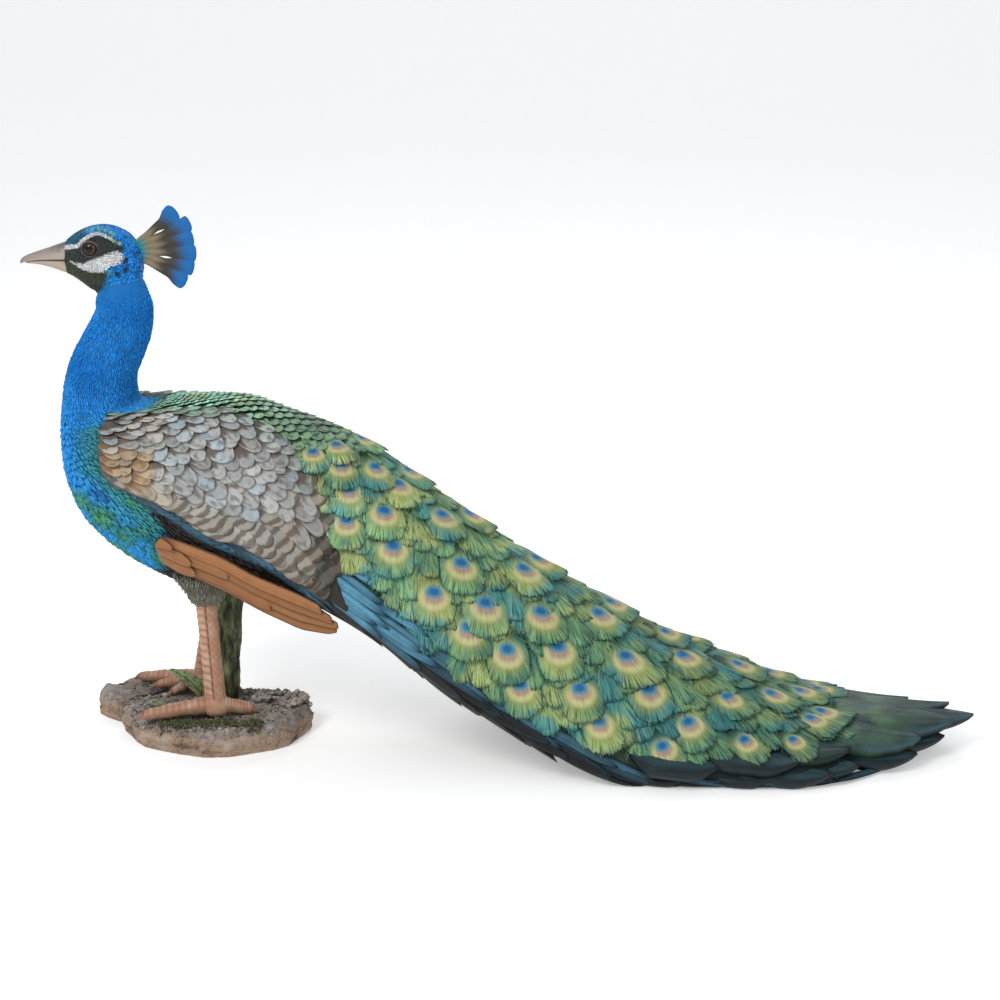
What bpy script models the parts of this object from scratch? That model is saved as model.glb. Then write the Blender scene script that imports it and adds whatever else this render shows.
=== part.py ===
"""A cast garden statue of a peacock: the bird stands on a rock base and its long train rests on the floor.

The bird faces -X, +Z is up and its left side is -Y. The origin is on the floor, under the base.
The neck, the body and the train are lengths of one smooth tube, set out by a few named sections.
"""

import math
from typing import Callable, NamedTuple, Sequence

import bmesh
import bpy
import numpy as np
from mathutils import Vector, noise

MM = 0.001
GAP = 0.3 * MM
FLOOR = 0.0
RING_SIDES = 26


class Section(NamedTuple):
    """One slice of a tube, from its underside point to its top point, with half its width."""

    under: tuple[float, float]
    top: tuple[float, float]
    half_width: float
    waist: float = 0.5
    top_round: float = 2.0
    under_round: float = 2.0


# Every section is in metres: (x, z) of the underside, (x, z) of the top, then half the width.
THROAT = Section((-0.1190, 0.4960), (-0.0770, 0.5060), 0.0200)
NECK_TOP = Section((-0.1250, 0.4780), (-0.0695, 0.4880), 0.0235)
NECK_HIGH = Section((-0.1262, 0.4640), (-0.0650, 0.4680), 0.0265)
NECK_BEND = Section((-0.1400, 0.4390), (-0.0675, 0.4430), 0.0300)
NECK_MIDDLE = Section((-0.1530, 0.4150), (-0.0750, 0.4210), 0.0350)
NECK_LOW = Section((-0.1605, 0.3900), (-0.0855, 0.3940), 0.0420)
SHOULDERS = Section((-0.1645, 0.3560), (-0.0830, 0.3685), 0.0560)
BREAST_TOP = Section((-0.1655, 0.3240), (-0.0560, 0.3680), 0.0690)
BREAST = Section((-0.1610, 0.2850), (-0.0240, 0.3700), 0.0780)
BREAST_LOW = Section((-0.1430, 0.2420), (0.0080, 0.3720), 0.0820)
KEEL = Section((-0.1060, 0.2065), (0.0400, 0.3700), 0.0840)
BELLY = Section((-0.0560, 0.1790), (0.0760, 0.3605), 0.0850)
LOIN = Section((0.0000, 0.1660), (0.1130, 0.3480), 0.0870)
VENT = Section((0.0620, 0.1590), (0.1540, 0.3290), 0.0930, 0.40)
RUMP = Section((0.1200, 0.1540), (0.2000, 0.2975), 0.1040, 0.26, 1.95, 2.6)
TRAIN_ROOT = Section((0.1800, 0.1310), (0.2500, 0.2615), 0.1140, 0.15, 1.9, 3.0)
TRAIN_ARCH = Section((0.2460, 0.0860), (0.3080, 0.2215), 0.1250, 0.12, 1.85, 3.4)
TRAIN_SLOPE = Section((0.3140, 0.0470), (0.3660, 0.1850), 0.1310, 0.11, 1.8, 3.6)
TRAIN_BEND = Section((0.3860, 0.0110), (0.4250, 0.1515), 0.1380, 0.10, 1.8, 4.0)
TRAIN_REST = Section((0.4450, -0.0030), (0.4700, 0.1265), 0.1420, 0.10, 1.8, 4.0)
TRAIN_FLAT = Section((0.5300, -0.0030), (0.5400, 0.0955), 0.1440, 0.12, 1.8, 4.4)
TRAIN_LOW = Section((0.6050, -0.0030), (0.6050, 0.0660), 0.1390, 0.14, 1.9, 4.4)
TRAIN_END = Section((0.6600, -0.0030), (0.6600, 0.0490), 0.1240, 0.16, 1.9, 4.4)

BODY_SECTIONS = (
    THROAT, NECK_TOP, NECK_HIGH, NECK_BEND, NECK_MIDDLE, NECK_LOW, SHOULDERS, BREAST_TOP, BREAST,
    BREAST_LOW, KEEL, BELLY, LOIN, VENT, RUMP, TRAIN_ROOT, TRAIN_ARCH, TRAIN_SLOPE, TRAIN_BEND,
    TRAIN_REST, TRAIN_FLAT, TRAIN_LOW, TRAIN_END,
)

# The lengths of the body: name, first and last section, rings between them, and material.
BODY_LENGTHS = (
    ("neck_upper", THROAT, NECK_BEND, 5, "blue_feather"),
    ("neck_lower", NECK_BEND, SHOULDERS, 5, "blue_feather"),
    ("breast", SHOULDERS, BREAST_LOW, 5, "blue_feather"),
    ("trunk", BREAST_LOW, VENT, 7, "green_scale"),
    ("rump", VENT, TRAIN_ROOT, 4, "green_scale"),
    ("train_upper", TRAIN_ROOT, TRAIN_SLOPE, 4, "train_feather"),
    ("train_middle", TRAIN_SLOPE, TRAIN_REST, 4, "train_feather"),
    ("train_lower", TRAIN_REST, TRAIN_LOW, 4, "train_feather"),
    ("train_end", TRAIN_LOW, TRAIN_END, 2, "train_feather"),
)

HEAD_SECTIONS = (
    Section((-0.1555, 0.5035), (-0.1555, 0.5365), 0.0110),
    Section((-0.1480, 0.5005), (-0.1480, 0.5430), 0.0152),
    Section((-0.1390, 0.4945), (-0.1390, 0.5486), 0.0195, 0.5, 2.1, 2.0),
    Section((-0.1270, 0.4860), (-0.1270, 0.5535), 0.0232, 0.55, 2.1, 2.0),
    Section((-0.1140, 0.4830), (-0.1140, 0.5552), 0.0256, 0.55, 2.1, 2.0),
    Section((-0.1000, 0.4840), (-0.1000, 0.5524), 0.0260, 0.5, 2.1, 2.0),
    Section((-0.0880, 0.4880), (-0.0880, 0.5462), 0.0240),
    Section((-0.0790, 0.4960), (-0.0790, 0.5350), 0.0185),
    Section((-0.0735, 0.5070), (-0.0735, 0.5240), 0.0085),
)

BILL_ROOT_X = -0.1555 - GAP
UPPER_BILL = (
    Section((BILL_ROOT_X, 0.5175), (BILL_ROOT_X, 0.5362), 0.0104, 0.25, 1.9, 3.0),
    Section((-0.1700, 0.5172), (-0.1700, 0.5312), 0.0080, 0.25, 1.9, 3.0),
    Section((-0.1850, 0.5164), (-0.1850, 0.5262), 0.0054, 0.25, 1.9, 3.0),
    Section((-0.1980, 0.5150), (-0.1980, 0.5212), 0.0028, 0.3, 2.0, 2.6),
    Section((-0.2036, 0.5130), (-0.2036, 0.5168), 0.0013),
)
LOWER_BILL = (
    Section((BILL_ROOT_X, 0.5040), (BILL_ROOT_X, 0.5172), 0.0098, 0.75, 3.0, 1.9),
    Section((-0.1700, 0.5088), (-0.1700, 0.5169), 0.0074, 0.75, 3.0, 1.9),
    Section((-0.1850, 0.5122), (-0.1850, 0.5161), 0.0048, 0.75, 3.0, 1.9),
    Section((-0.1975, 0.5132), (-0.1975, 0.5147), 0.0020, 0.7, 2.6, 2.0),
)

EYE_CENTRE = (-0.1236, 0.0166, 0.5320)
EYE_RADIUS = 8.8 * MM

# The crest is a fan of plumes in the middle plane, spread from a point inside the head.
CREST_CENTRE = (-0.0916, 0.5267)
CREST_ROOT = 12.0 * MM
CREST_LENGTHS = (70 * MM, 76 * MM, 74 * MM, 75 * MM, 74 * MM, 71 * MM)
CREST_EDGES_DEG = (46.0, 30.0, 18.0, 5.5, -7.5, -19.5, -34.0)
CREST_SLITS = (1, 4)
CREST_THICKNESS = 5.0 * MM

# The wings lie on the sides of the body. A place is a section number and an angle from the body's top.
WING_TOP_EDGE = (
    (6.4, 44), (6.9, 24), (7.8, 15), (9.0, 15), (10.3, 24), (11.4, 37), (12.4, 56), (13.3, 74), (14.3, 94),
)
WING_LOW_EDGE = (
    (6.4, 58), (7.2, 86), (8.2, 106), (8.9, 107), (9.6, 93), (10.4, 100), (11.2, 105), (11.8, 101),
    (13.1, 110), (14.3, 99),
)
DARK_TOP_EDGE = ((8.9, 103), (9.6, 90), (10.4, 97), (11.2, 102), (11.8, 98), (13.1, 107), (13.5, 106))
DARK_LOW_EDGE = ((8.9, 109), (9.8, 107), (10.8, 110), (11.7, 112), (12.4, 117), (13.0, 119), (13.5, 113))
WING_THICKNESS = 9.0 * MM
DARK_THICKNESS = 3.5 * MM


class Blade(NamedTuple):
    """One slice of the orange flight feathers: its upper and lower point, on the left side."""

    upper: tuple[float, float, float]
    lower: tuple[float, float, float]
    thickness: float


PRIMARIES = (
    Blade((-0.0535, -0.0790, 0.2350), (-0.0560, -0.0690, 0.2210), 3.0 * MM),
    Blade((-0.0460, -0.0815, 0.2400), (-0.0480, -0.0650, 0.2050), 7.0 * MM),
    Blade((-0.0200, -0.0845, 0.2310), (-0.0270, -0.0630, 0.1880), 8.0 * MM),
    Blade((0.0150, -0.0850, 0.2150), (0.0150, -0.0660, 0.1720), 8.0 * MM),
    Blade((0.0500, -0.0860, 0.1930), (0.0530, -0.0720, 0.1565), 8.0 * MM),
    Blade((0.0900, -0.0880, 0.1770), (0.0960, -0.0790, 0.1450), 8.0 * MM),
    Blade((0.1180, -0.0940, 0.1675), (0.1250, -0.0850, 0.1420), 6.0 * MM),
    Blade((0.1360, -0.0960, 0.1590), (0.1390, -0.0900, 0.1450), 2.5 * MM),
)

# The train ends in a fan of pointed feathers: the tips of one side, from the middle outwards.
TIP_POINTS = (
    (0.8080, 0.0, 0.0390), (0.7900, 0.0330, 0.0300), (0.7600, 0.0610, 0.0190), (0.7210, 0.0880, 0.0130),
    (0.6900, 0.1120, 0.0120),
)
TIP_THICKNESS = 3.5 * MM

LEFT_HIP = (-0.013, -0.038, 0.190)
LEFT_ANKLE = (-0.003, -0.042, 0.0560)
RIGHT_HIP = (-0.008, 0.036, 0.190)
RIGHT_ANKLE = (-0.034, 0.044, 0.0560)
SHANK_DEPTH = 11.0 * MM
SHANK_WIDTH = 9.0 * MM
FEATHERED_TO = 0.160
# Toes of the left foot: where the tip is from the ankle, forwards and outwards, and the radius at the root.
TOES = (
    (-0.077, 0.021, 9.5 * MM), (-0.052, -0.006, 8.5 * MM), (-0.030, -0.030, 7.5 * MM), (0.039, -0.008, 9.5 * MM),
)
TOE_TIP_RADIUS = 6.0 * MM
TOE_TIP_Z = 0.0335
TOE_ROOT_Z = 0.0425

BASE_TOP = 31.0 * MM
FRONT_ROCK_CENTRE = (-0.009, -0.010)
FRONT_ROCK_RADII = (0.104, 0.075)
BACK_ROCK_CENTRE = (-0.073, 0.056)
BACK_ROCK_RADII = (0.080, 0.053)
RUBBLE_CENTRE = (0.056, 0.016)
RUBBLE_RADII = (0.032, 0.026)
POST_FOOT = (-0.0100, 0.004, 0.020)
POST_HEAD = (0.0080, 0.004, 0.205)
POST_RADII = ((0.0225, 0.0130), (0.0200, 0.0120), (0.0175, 0.0120))
LEAF_ROOT = (-0.0240, 0.006, 0.0340)
LEAF_TIP = (-0.0640, 0.012, 0.0640)
LEAF_RISE = (0.55, -0.25, 0.80)
LEAF_WIDTH = 24.0 * MM


def index_of(section: Section) -> float:
    return float(BODY_SECTIONS.index(section))


class Tube:
    """A smooth tube through sections. Its place is a section number, and its angle goes round from the top."""

    def __init__(self, sections: Sequence[Section]):
        self.rows = np.array(
            [[*s.under, *s.top, s.half_width, s.waist, s.top_round, s.under_round] for s in sections]
        )

    def row(self, place: float) -> np.ndarray:
        last = len(self.rows) - 1
        place = min(max(place, 0.0), float(last))
        first = min(int(place), last - 1)
        t = place - first
        a = self.rows[max(first - 1, 0)]
        b = self.rows[first]
        c = self.rows[first + 1]
        d = self.rows[min(first + 2, last)]
        return 0.5 * (2 * b + (c - a) * t + (2 * a - 5 * b + 4 * c - d) * t**2 + (3 * b - 3 * c + d - a) * t**3)

    def point(self, place: float, angle: float, grow: float = 0.0) -> np.ndarray:
        under_x, under_z, top_x, top_z, half_width, waist, top_round, under_round = self.row(place)
        under = np.array([under_x, 0.0, under_z])
        rise = np.array([top_x, 0.0, top_z]) - under
        height = float(np.linalg.norm(rise))
        up = rise / height
        above = math.cos(angle) > 0.0
        power = 2.0 / (top_round if above else under_round)
        lift = math.copysign(abs(math.cos(angle)) ** power, math.cos(angle))
        side = math.copysign(abs(math.sin(angle)) ** power, math.sin(angle))
        reach = (1.0 - waist) * height if above else waist * height
        at = under + up * (waist * height + lift * (reach + grow))
        return at + np.array([0.0, side * (half_width + grow), 0.0])

    def facing(self, place: float) -> np.ndarray:
        """The direction square to the section, towards the next one."""
        row = self.row(place)
        up = np.array([row[2] - row[0], 0.0, row[3] - row[1]])
        up /= np.linalg.norm(up)
        ahead = np.array([up[2], 0.0, -up[0]])
        step = self.row(place + 0.05) - self.row(place - 0.05)
        along = np.array([step[0] + step[2], 0.0, step[1] + step[3]])
        return ahead if ahead @ along > 0 else -ahead

    def ring(self, place: float, sides: int, shift: float = 0.0, grow: float = 0.0) -> list[np.ndarray]:
        move = self.facing(place) * shift
        turns = [2 * math.pi * k / sides for k in range(sides)]
        ring = [self.point(place, turn, grow) + move for turn in turns]
        for at in ring:
            at[2] = max(at[2], FLOOR)
        return ring

    def outward(self, place: float, angle: float) -> np.ndarray:
        small = 0.01
        along = self.point(place + small, angle) - self.point(place - small, angle)
        around = self.point(place, angle + small) - self.point(place, angle - small)
        normal = np.cross(along, around)
        normal /= np.linalg.norm(normal)
        centre = (self.point(place, 0.0) + self.point(place, math.pi)) / 2
        return normal if normal @ (self.point(place, angle) - centre) > 0 else -normal


BODY = Tube(BODY_SECTIONS)
HEAD = Tube(HEAD_SECTIONS)


def clear_scene() -> None:
    for obj in list(bpy.data.objects):
        bpy.data.objects.remove(obj, do_unlink=True)


def material(name: str, colour: tuple[float, float, float], roughness: float) -> bpy.types.Material:
    made = bpy.data.materials.get(name) or bpy.data.materials.new(name)
    made.use_nodes = True
    shader = made.node_tree.nodes["Principled BSDF"]
    shader.inputs["Base Color"].default_value = (*colour, 1.0)
    shader.inputs["Roughness"].default_value = roughness
    made.diffuse_color = (*colour, 1.0)
    return made


PAINTS = {
    "blue_feather": ((0.015, 0.16, 0.65), 0.5),
    "green_scale": ((0.10, 0.28, 0.13), 0.5),
    "train_feather": ((0.20, 0.30, 0.07), 0.5),
    "grey_feather": ((0.36, 0.34, 0.31), 0.55),
    "dark_feather": ((0.03, 0.06, 0.08), 0.5),
    "orange_feather": ((0.58, 0.27, 0.10), 0.5),
    "thigh_down": ((0.20, 0.19, 0.15), 0.6),
    "horn": ((0.42, 0.35, 0.30), 0.4),
    "eye_gloss": ((0.03, 0.02, 0.015), 0.1),
    "leg_skin": ((0.55, 0.31, 0.22), 0.5),
    "rock": ((0.30, 0.23, 0.19), 0.75),
    "rubble": ((0.09, 0.07, 0.06), 0.8),
    "plant": ((0.12, 0.18, 0.05), 0.5),
}


def paint(name: str) -> bpy.types.Material:
    colour, roughness = PAINTS[name]
    return material(f"{name}_paint", colour, roughness)


def finish_mesh(name: str, mesh: bmesh.types.BMesh, paint_name: str, smooth: bool = True) -> bpy.types.Object:
    bmesh.ops.recalc_face_normals(mesh, faces=mesh.faces)
    if mesh.calc_volume(signed=True) < 0:
        bmesh.ops.reverse_faces(mesh, faces=mesh.faces)
    data = bpy.data.meshes.new(name)
    mesh.to_mesh(data)
    mesh.free()
    data.polygons.foreach_set("use_smooth", [smooth] * len(data.polygons))
    if smooth:
        data.set_sharp_from_angle(angle=math.radians(50))
    obj = bpy.data.objects.new(name, data)
    obj.data.materials.append(paint(paint_name))
    bpy.context.scene.collection.objects.link(obj)
    return obj


def loft(name: str, rings: Sequence[Sequence[np.ndarray]], paint_name: str) -> bpy.types.Object:
    """A closed solid through rings of the same number of points, with a fan of triangles over each end."""
    mesh = bmesh.new()
    rows = [[mesh.verts.new(Vector(at)) for at in ring] for ring in rings]
    sides = len(rings[0])
    for near, far in zip(rows, rows[1:]):
        for k in range(sides):
            nxt = (k + 1) % sides
            mesh.faces.new((near[k], near[nxt], far[nxt]))
            mesh.faces.new((near[k], far[nxt], far[k]))
    for ring, row in ((rings[0], rows[0]), (rings[-1], rows[-1])):
        hub = mesh.verts.new(Vector(np.mean(ring, axis=0)))
        for k in range(sides):
            mesh.faces.new((row[k], row[(k + 1) % sides], hub))
    return finish_mesh(name, mesh, paint_name)


def tube_length(
    name: str, tube: Tube, first: float, last: float, rings: int, paint_name: str, sides: int = RING_SIDES,
    start_gap: float = GAP / 2, end_gap: float = GAP / 2, grow: float = 0.0,
) -> bpy.types.Object:
    places = np.linspace(first, last, rings + 1)
    shifts = [0.0] * len(places)
    shifts[0] = start_gap
    shifts[-1] = -end_gap
    made = [tube.ring(float(at), sides, shift, grow) for at, shift in zip(places, shifts)]
    return loft(name, made, paint_name)


def as_cutter(obj: bpy.types.Object) -> bpy.types.Object:
    obj.hide_render = True
    obj.display_type = "WIRE"
    return obj


def cut(obj: bpy.types.Object, cutter: bpy.types.Object) -> None:
    boolean = obj.modifiers.new(f"less_{cutter.name}", "BOOLEAN")
    boolean.operation = "DIFFERENCE"
    boolean.solver = "EXACT"
    boolean.object = cutter


def flat_prism(name: str, outline: Sequence[tuple[float, float]], thickness: float, paint_name: str):
    """A plate in the middle plane from its (x, z) outline, thinner by a third at its rim."""
    mesh = bmesh.new()
    centre = np.mean(np.array(outline), axis=0)
    rows = []
    for share, half in ((1.0, -0.32), (0.86, -0.5), (0.86, 0.5), (1.0, 0.32)):
        at = [centre + (np.array(p) - centre) * share for p in outline]
        rows.append([mesh.verts.new((x, half * thickness, z)) for x, z in at])
    count = len(outline)
    for near, far in ((rows[1], rows[0]), (rows[0], rows[3]), (rows[3], rows[2])):
        for k in range(count):
            nxt = (k + 1) % count
            mesh.faces.new((near[k], near[nxt], far[nxt], far[k]))
    mesh.faces.new(rows[1])
    mesh.faces.new(rows[2][::-1])
    return finish_mesh(name, mesh, paint_name)


def patch(
    name: str, top_edge: Sequence[tuple[float, float]], low_edge: Sequence[tuple[float, float]],
    thickness: Callable[[float, float], float], side: int, paint_name: str, along: int, across: int,
    grow: float = 0.0,
) -> bpy.types.Object:
    """A slab on one side of the body, between two edges that give an angle at each place, and its thickness."""
    grow_deg = math.degrees(grow / BELLY.half_width)
    first = max(top_edge[0][0], low_edge[0][0])
    last = min(top_edge[-1][0], low_edge[-1][0])
    mesh = bmesh.new()
    sheets = []
    for outer in (False, True):
        sheet = []
        for i in range(along + 1):
            row = []
            place = first + (last - first) * i / along
            high = edge(top_edge, place) - grow_deg
            low = max(edge(low_edge, place), high + 1.0) + grow_deg
            for j in range(across + 1):
                v = j / across
                angle = math.radians(high + (low - high) * v)
                lift = thickness(i / along, v) + grow if outer else -3.0 * MM - grow
                at = BODY.point(place, angle) + BODY.outward(place, angle) * lift
                row.append(mesh.verts.new((at[0], side * at[1], at[2])))
            sheet.append(row)
        sheets.append(sheet)
    inner, outer = sheets
    for i in range(along):
        for j in range(across):
            mesh.faces.new((outer[i][j], outer[i + 1][j], outer[i + 1][j + 1], outer[i][j + 1]))
            mesh.faces.new((inner[i][j], inner[i][j + 1], inner[i + 1][j + 1], inner[i + 1][j]))
    for i in range(along):
        for j in (0, across):
            mesh.faces.new((outer[i][j], outer[i + 1][j], inner[i + 1][j], inner[i][j]))
    for j in range(across):
        for i in (0, along):
            mesh.faces.new((outer[i][j], outer[i][j + 1], inner[i][j + 1], inner[i][j]))
    return finish_mesh(name, mesh, paint_name)


def build_body() -> tuple[bpy.types.Object, bpy.types.Object]:
    head_cutter = as_cutter(tube_length(
        "head_cutter", HEAD, 0, len(HEAD_SECTIONS) - 1, 11, "blue_feather", 20, -GAP, -GAP, GAP
    ))
    for name, first, last, rings, paint_name in BODY_LENGTHS:
        length = tube_length(name, BODY, index_of(first), index_of(last), rings, paint_name)
        if first is THROAT:
            cut(length, head_cutter)
    return head_cutter, as_cutter(loft("body_cutter", grown_body_rings(), "green_scale"))


def grown_body_rings() -> list[list[np.ndarray]]:
    """The rings of the body from the lower neck back, a gap larger, with the same facets as the body itself."""
    places = []
    for name, first, last, rings, _ in BODY_LENGTHS:
        if name != "neck_upper":
            places.extend(np.linspace(index_of(first), index_of(last), rings + 1)[:-1])
    places.append(index_of(TRAIN_END))
    return [BODY.ring(float(place), RING_SIDES, 0.0, 1.3 * GAP) for place in places]


def build_head(head_cutter: bpy.types.Object) -> None:
    head = tube_length("head", HEAD, 0, len(HEAD_SECTIONS) - 1, 11, "blue_feather", 20, 0.0, 0.0)
    for name, sections in (("bill_upper", UPPER_BILL), ("bill_lower", LOWER_BILL)):
        tube = Tube(sections)
        tube_length(name, tube, 0, len(sections) - 1, 4, "horn", 12, 0.0, 0.0)
    for name, side in (("eye_left", -1), ("eye_right", 1)):
        centre = (EYE_CENTRE[0], side * EYE_CENTRE[1], EYE_CENTRE[2])
        ball(name, centre, EYE_RADIUS, "eye_gloss")
        cut(head, as_cutter(ball(f"{name}_socket", centre, EYE_RADIUS + GAP, "eye_gloss")))
    build_crest(head_cutter)


def ball(name: str, centre: tuple[float, float, float], radius: float, paint_name: str) -> bpy.types.Object:
    mesh = bmesh.new()
    bmesh.ops.create_icosphere(mesh, subdivisions=2, radius=radius)
    bmesh.ops.translate(mesh, verts=mesh.verts, vec=centre)
    return finish_mesh(name, mesh, paint_name)


def build_crest(head_cutter: bpy.types.Object) -> None:
    for number, length in enumerate(CREST_LENGTHS):
        upper = math.radians(CREST_EDGES_DEG[number])
        lower = math.radians(CREST_EDGES_DEG[number + 1])
        outline = plume_outline(length, lower, upper, number in CREST_SLITS, number + 1 in CREST_SLITS)
        plume = flat_prism(f"crest_plume_{number + 1}", outline, CREST_THICKNESS, "blue_feather")
        cut(plume, head_cutter)


def plume_outline(
    length: float, lower: float, upper: float, slit_above: bool, slit_below: bool
) -> list[tuple[float, float]]:
    """A wedge from the crest's centre that ends in a round tip; a slit side is drawn in along the middle."""
    middle = (upper + lower) / 2
    half = (upper - lower) / 2
    tip_radius = 0.95 * half * length
    shoulder = length - tip_radius
    edge = []
    for radius, draw_in in ((CREST_ROOT, 0.0), (0.45 * length, 0.0), (0.60 * length, 1.0), (shoulder, 0.0)):
        edge.append((radius, half - (GAP / 2) / radius, draw_in * 0.8 * MM / radius))
    low_side = [(r, middle - a + (d if slit_below else 0.0)) for r, a, d in edge]
    high_side = [(r, middle + a - (d if slit_above else 0.0)) for r, a, d in edge]
    tip = []
    for k in range(1, 6):
        turn = math.pi * (k / 6) - math.pi / 2
        radius = shoulder + tip_radius * math.cos(turn)
        spread = math.copysign(abs(math.sin(turn)) ** 0.75, math.sin(turn))
        tip.append((radius, middle + (half - (GAP / 2) / length) * spread))
    polar = low_side + tip + high_side[::-1]
    x, z = CREST_CENTRE
    return [(x + r * math.cos(a), z + r * math.sin(a)) for r, a in polar]


def edge(points: Sequence[tuple[float, float]], place: float) -> float:
    """The angle of a wing's edge at a place along the body."""
    places = [at for at, _ in points]
    angles = [angle for _, angle in points]
    return float(np.interp(place, places, angles))


def covert_thickness(u: float, v: float) -> float:
    rise = min(1.0, 5.0 * u) * min(1.0, 2.4 * v) * (1.0 - 0.5 * max(0.0, v - 0.75))
    return 2.2 * MM + (WING_THICKNESS - 2.2 * MM) * rise * (1.0 - 0.55 * u**2)


def dark_thickness(u: float, v: float) -> float:
    return DARK_THICKNESS


def build_wings(body_cutter: bpy.types.Object) -> None:
    for side_name, side in (("left", -1), ("right", 1)):
        shield = (WING_TOP_EDGE, WING_LOW_EDGE, covert_thickness, side, "grey_feather", 16, 5)
        strip = (DARK_TOP_EDGE, DARK_LOW_EDGE, dark_thickness, side, "dark_feather", 11, 2)
        coverts = patch(f"wing_coverts_{side_name}", *shield)
        coverts_cutter = as_cutter(patch(f"wing_coverts_{side_name}_cutter", *shield, 1.3 * GAP))
        secondaries = patch(f"secondaries_{side_name}", *strip)
        secondaries_cutter = as_cutter(patch(f"secondaries_{side_name}_cutter", *strip, 1.3 * GAP))
        rings = [blade_ring(blade, side) for blade in PRIMARIES]
        primaries = loft(f"primaries_{side_name}", rings, "orange_feather")
        for feathers in (coverts, secondaries, primaries):
            cut(feathers, body_cutter)
        cut(secondaries, coverts_cutter)
        cut(primaries, coverts_cutter)
        cut(primaries, secondaries_cutter)


def blade_ring(blade: Blade, side: int) -> list[np.ndarray]:
    upper = np.array(blade.upper)
    lower = np.array(blade.lower)
    centre = (upper + lower) / 2
    rise = (upper - lower) / 2
    out = np.cross(rise, (1.0, 0.0, 0.0))
    out *= 0.5 * blade.thickness / np.linalg.norm(out)
    ring = []
    for k in range(10):
        turn = 2 * math.pi * k / 10
        lift = math.copysign(abs(math.cos(turn)) ** 0.8, math.cos(turn))
        bulge = math.copysign(abs(math.sin(turn)) ** 0.6, math.sin(turn))
        at = centre + rise * lift + out * bulge
        ring.append(np.array([at[0], at[1] if side < 0 else -at[1], at[2]]))
    return ring


def build_tips() -> None:
    """The pointed feathers at the end of the train; each starts as a strip of the last section."""
    place = index_of(TRAIN_END)
    half = TRAIN_END.half_width
    strip = 2 * half / 9
    for number in range(-4, 5):
        side = -1 if number < 0 else 1
        tip_x, tip_y, tip_z = TIP_POINTS[abs(number)]
        tip = np.array([tip_x, side * tip_y, tip_z])
        low_y = number * strip - strip / 2 + GAP / 2
        high_y = number * strip + strip / 2 - GAP / 2
        root = strip_ring(place, max(low_y, -half + 0.2 * MM), min(high_y, half - 0.2 * MM))
        name = "tip_feather_middle" if number == 0 else f"tip_feather_{'left' if side < 0 else 'right'}_{abs(number)}"
        rings = []
        for t in (0.0, 0.4, 0.7, 0.9, 1.0):
            rings.append(tip_ring(root, tip, t))
        loft(name, rings, "train_feather")


def strip_ring(place: float, low_y: float, high_y: float) -> list[np.ndarray]:
    """A closed outline of the part of a section between two widths: over the top, then back along the floor."""
    angles = np.linspace(-math.pi * 0.5, math.pi * 0.5, 181)
    top = np.array([BODY.point(place, float(angle)) for angle in angles])
    widths = np.linspace(low_y, high_y, 4)
    x = TRAIN_END.under[0] + GAP
    heights = [max(float(np.interp(y, top[:, 1], top[:, 2])), 2.0 * MM) for y in widths]
    over = [np.array([x, y, z]) for y, z in zip(widths, heights)]
    under = [np.array([x, y, FLOOR]) for y in widths[::-1]]
    return over + under


def tip_ring(root: Sequence[np.ndarray], tip: np.ndarray, t: float) -> list[np.ndarray]:
    centre = np.mean(root, axis=0)
    width = max((1.0 - t**4.0), 0.08)
    height = (1.0 - t) ** 0.9
    ring = []
    for at in root:
        flat = 0.5 * TIP_THICKNESS * (1.0 if at[2] > FLOOR else -1.0) * (1.0 - 0.7 * t**3)
        z = centre[2] + (tip[2] - centre[2]) * t + (at[2] - centre[2]) * height + flat * t
        y = centre[1] + (tip[1] - centre[1]) * t + (at[1] - centre[1]) * width
        x = at[0] + (tip[0] - at[0]) * t
        ring.append(np.array([x, y, max(z, FLOOR)]))
    return ring


def build_legs(body_cutter: bpy.types.Object, rock_cutters: Sequence[bpy.types.Object]) -> None:
    for side_name, side, hip, ankle in (
        ("left", -1, LEFT_HIP, LEFT_ANKLE), ("right", 1, RIGHT_HIP, RIGHT_ANKLE),
    ):
        hip_at = np.array(hip)
        ankle_at = np.array(ankle)
        share = (FEATHERED_TO - hip_at[2]) / (ankle_at[2] - hip_at[2])
        knee = hip_at + (ankle_at - hip_at) * share
        thigh_top = hip_at + np.array([0.0, -0.2 * hip_at[1], 0.035])
        thigh = limb(
            f"thigh_{side_name}", (thigh_top, hip_at, knee + (0, 0, 0.012), knee + (0, 0, GAP)),
            ((0.038, 0.026), (0.034, 0.023), (0.0225, 0.0160), (0.0165, 0.0130)), "thigh_down",
        )
        cut(thigh, body_cutter)
        limb(
            f"shank_{side_name}", (knee, knee + (ankle_at - knee) * 0.3, ankle_at + (0, 0, GAP)),
            ((SHANK_DEPTH * 1.3, SHANK_WIDTH * 1.1), (SHANK_DEPTH, SHANK_WIDTH * 0.95), (SHANK_DEPTH, SHANK_WIDTH)),
            "leg_skin",
        )
        build_foot(side_name, side, ankle_at, rock_cutters)


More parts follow.
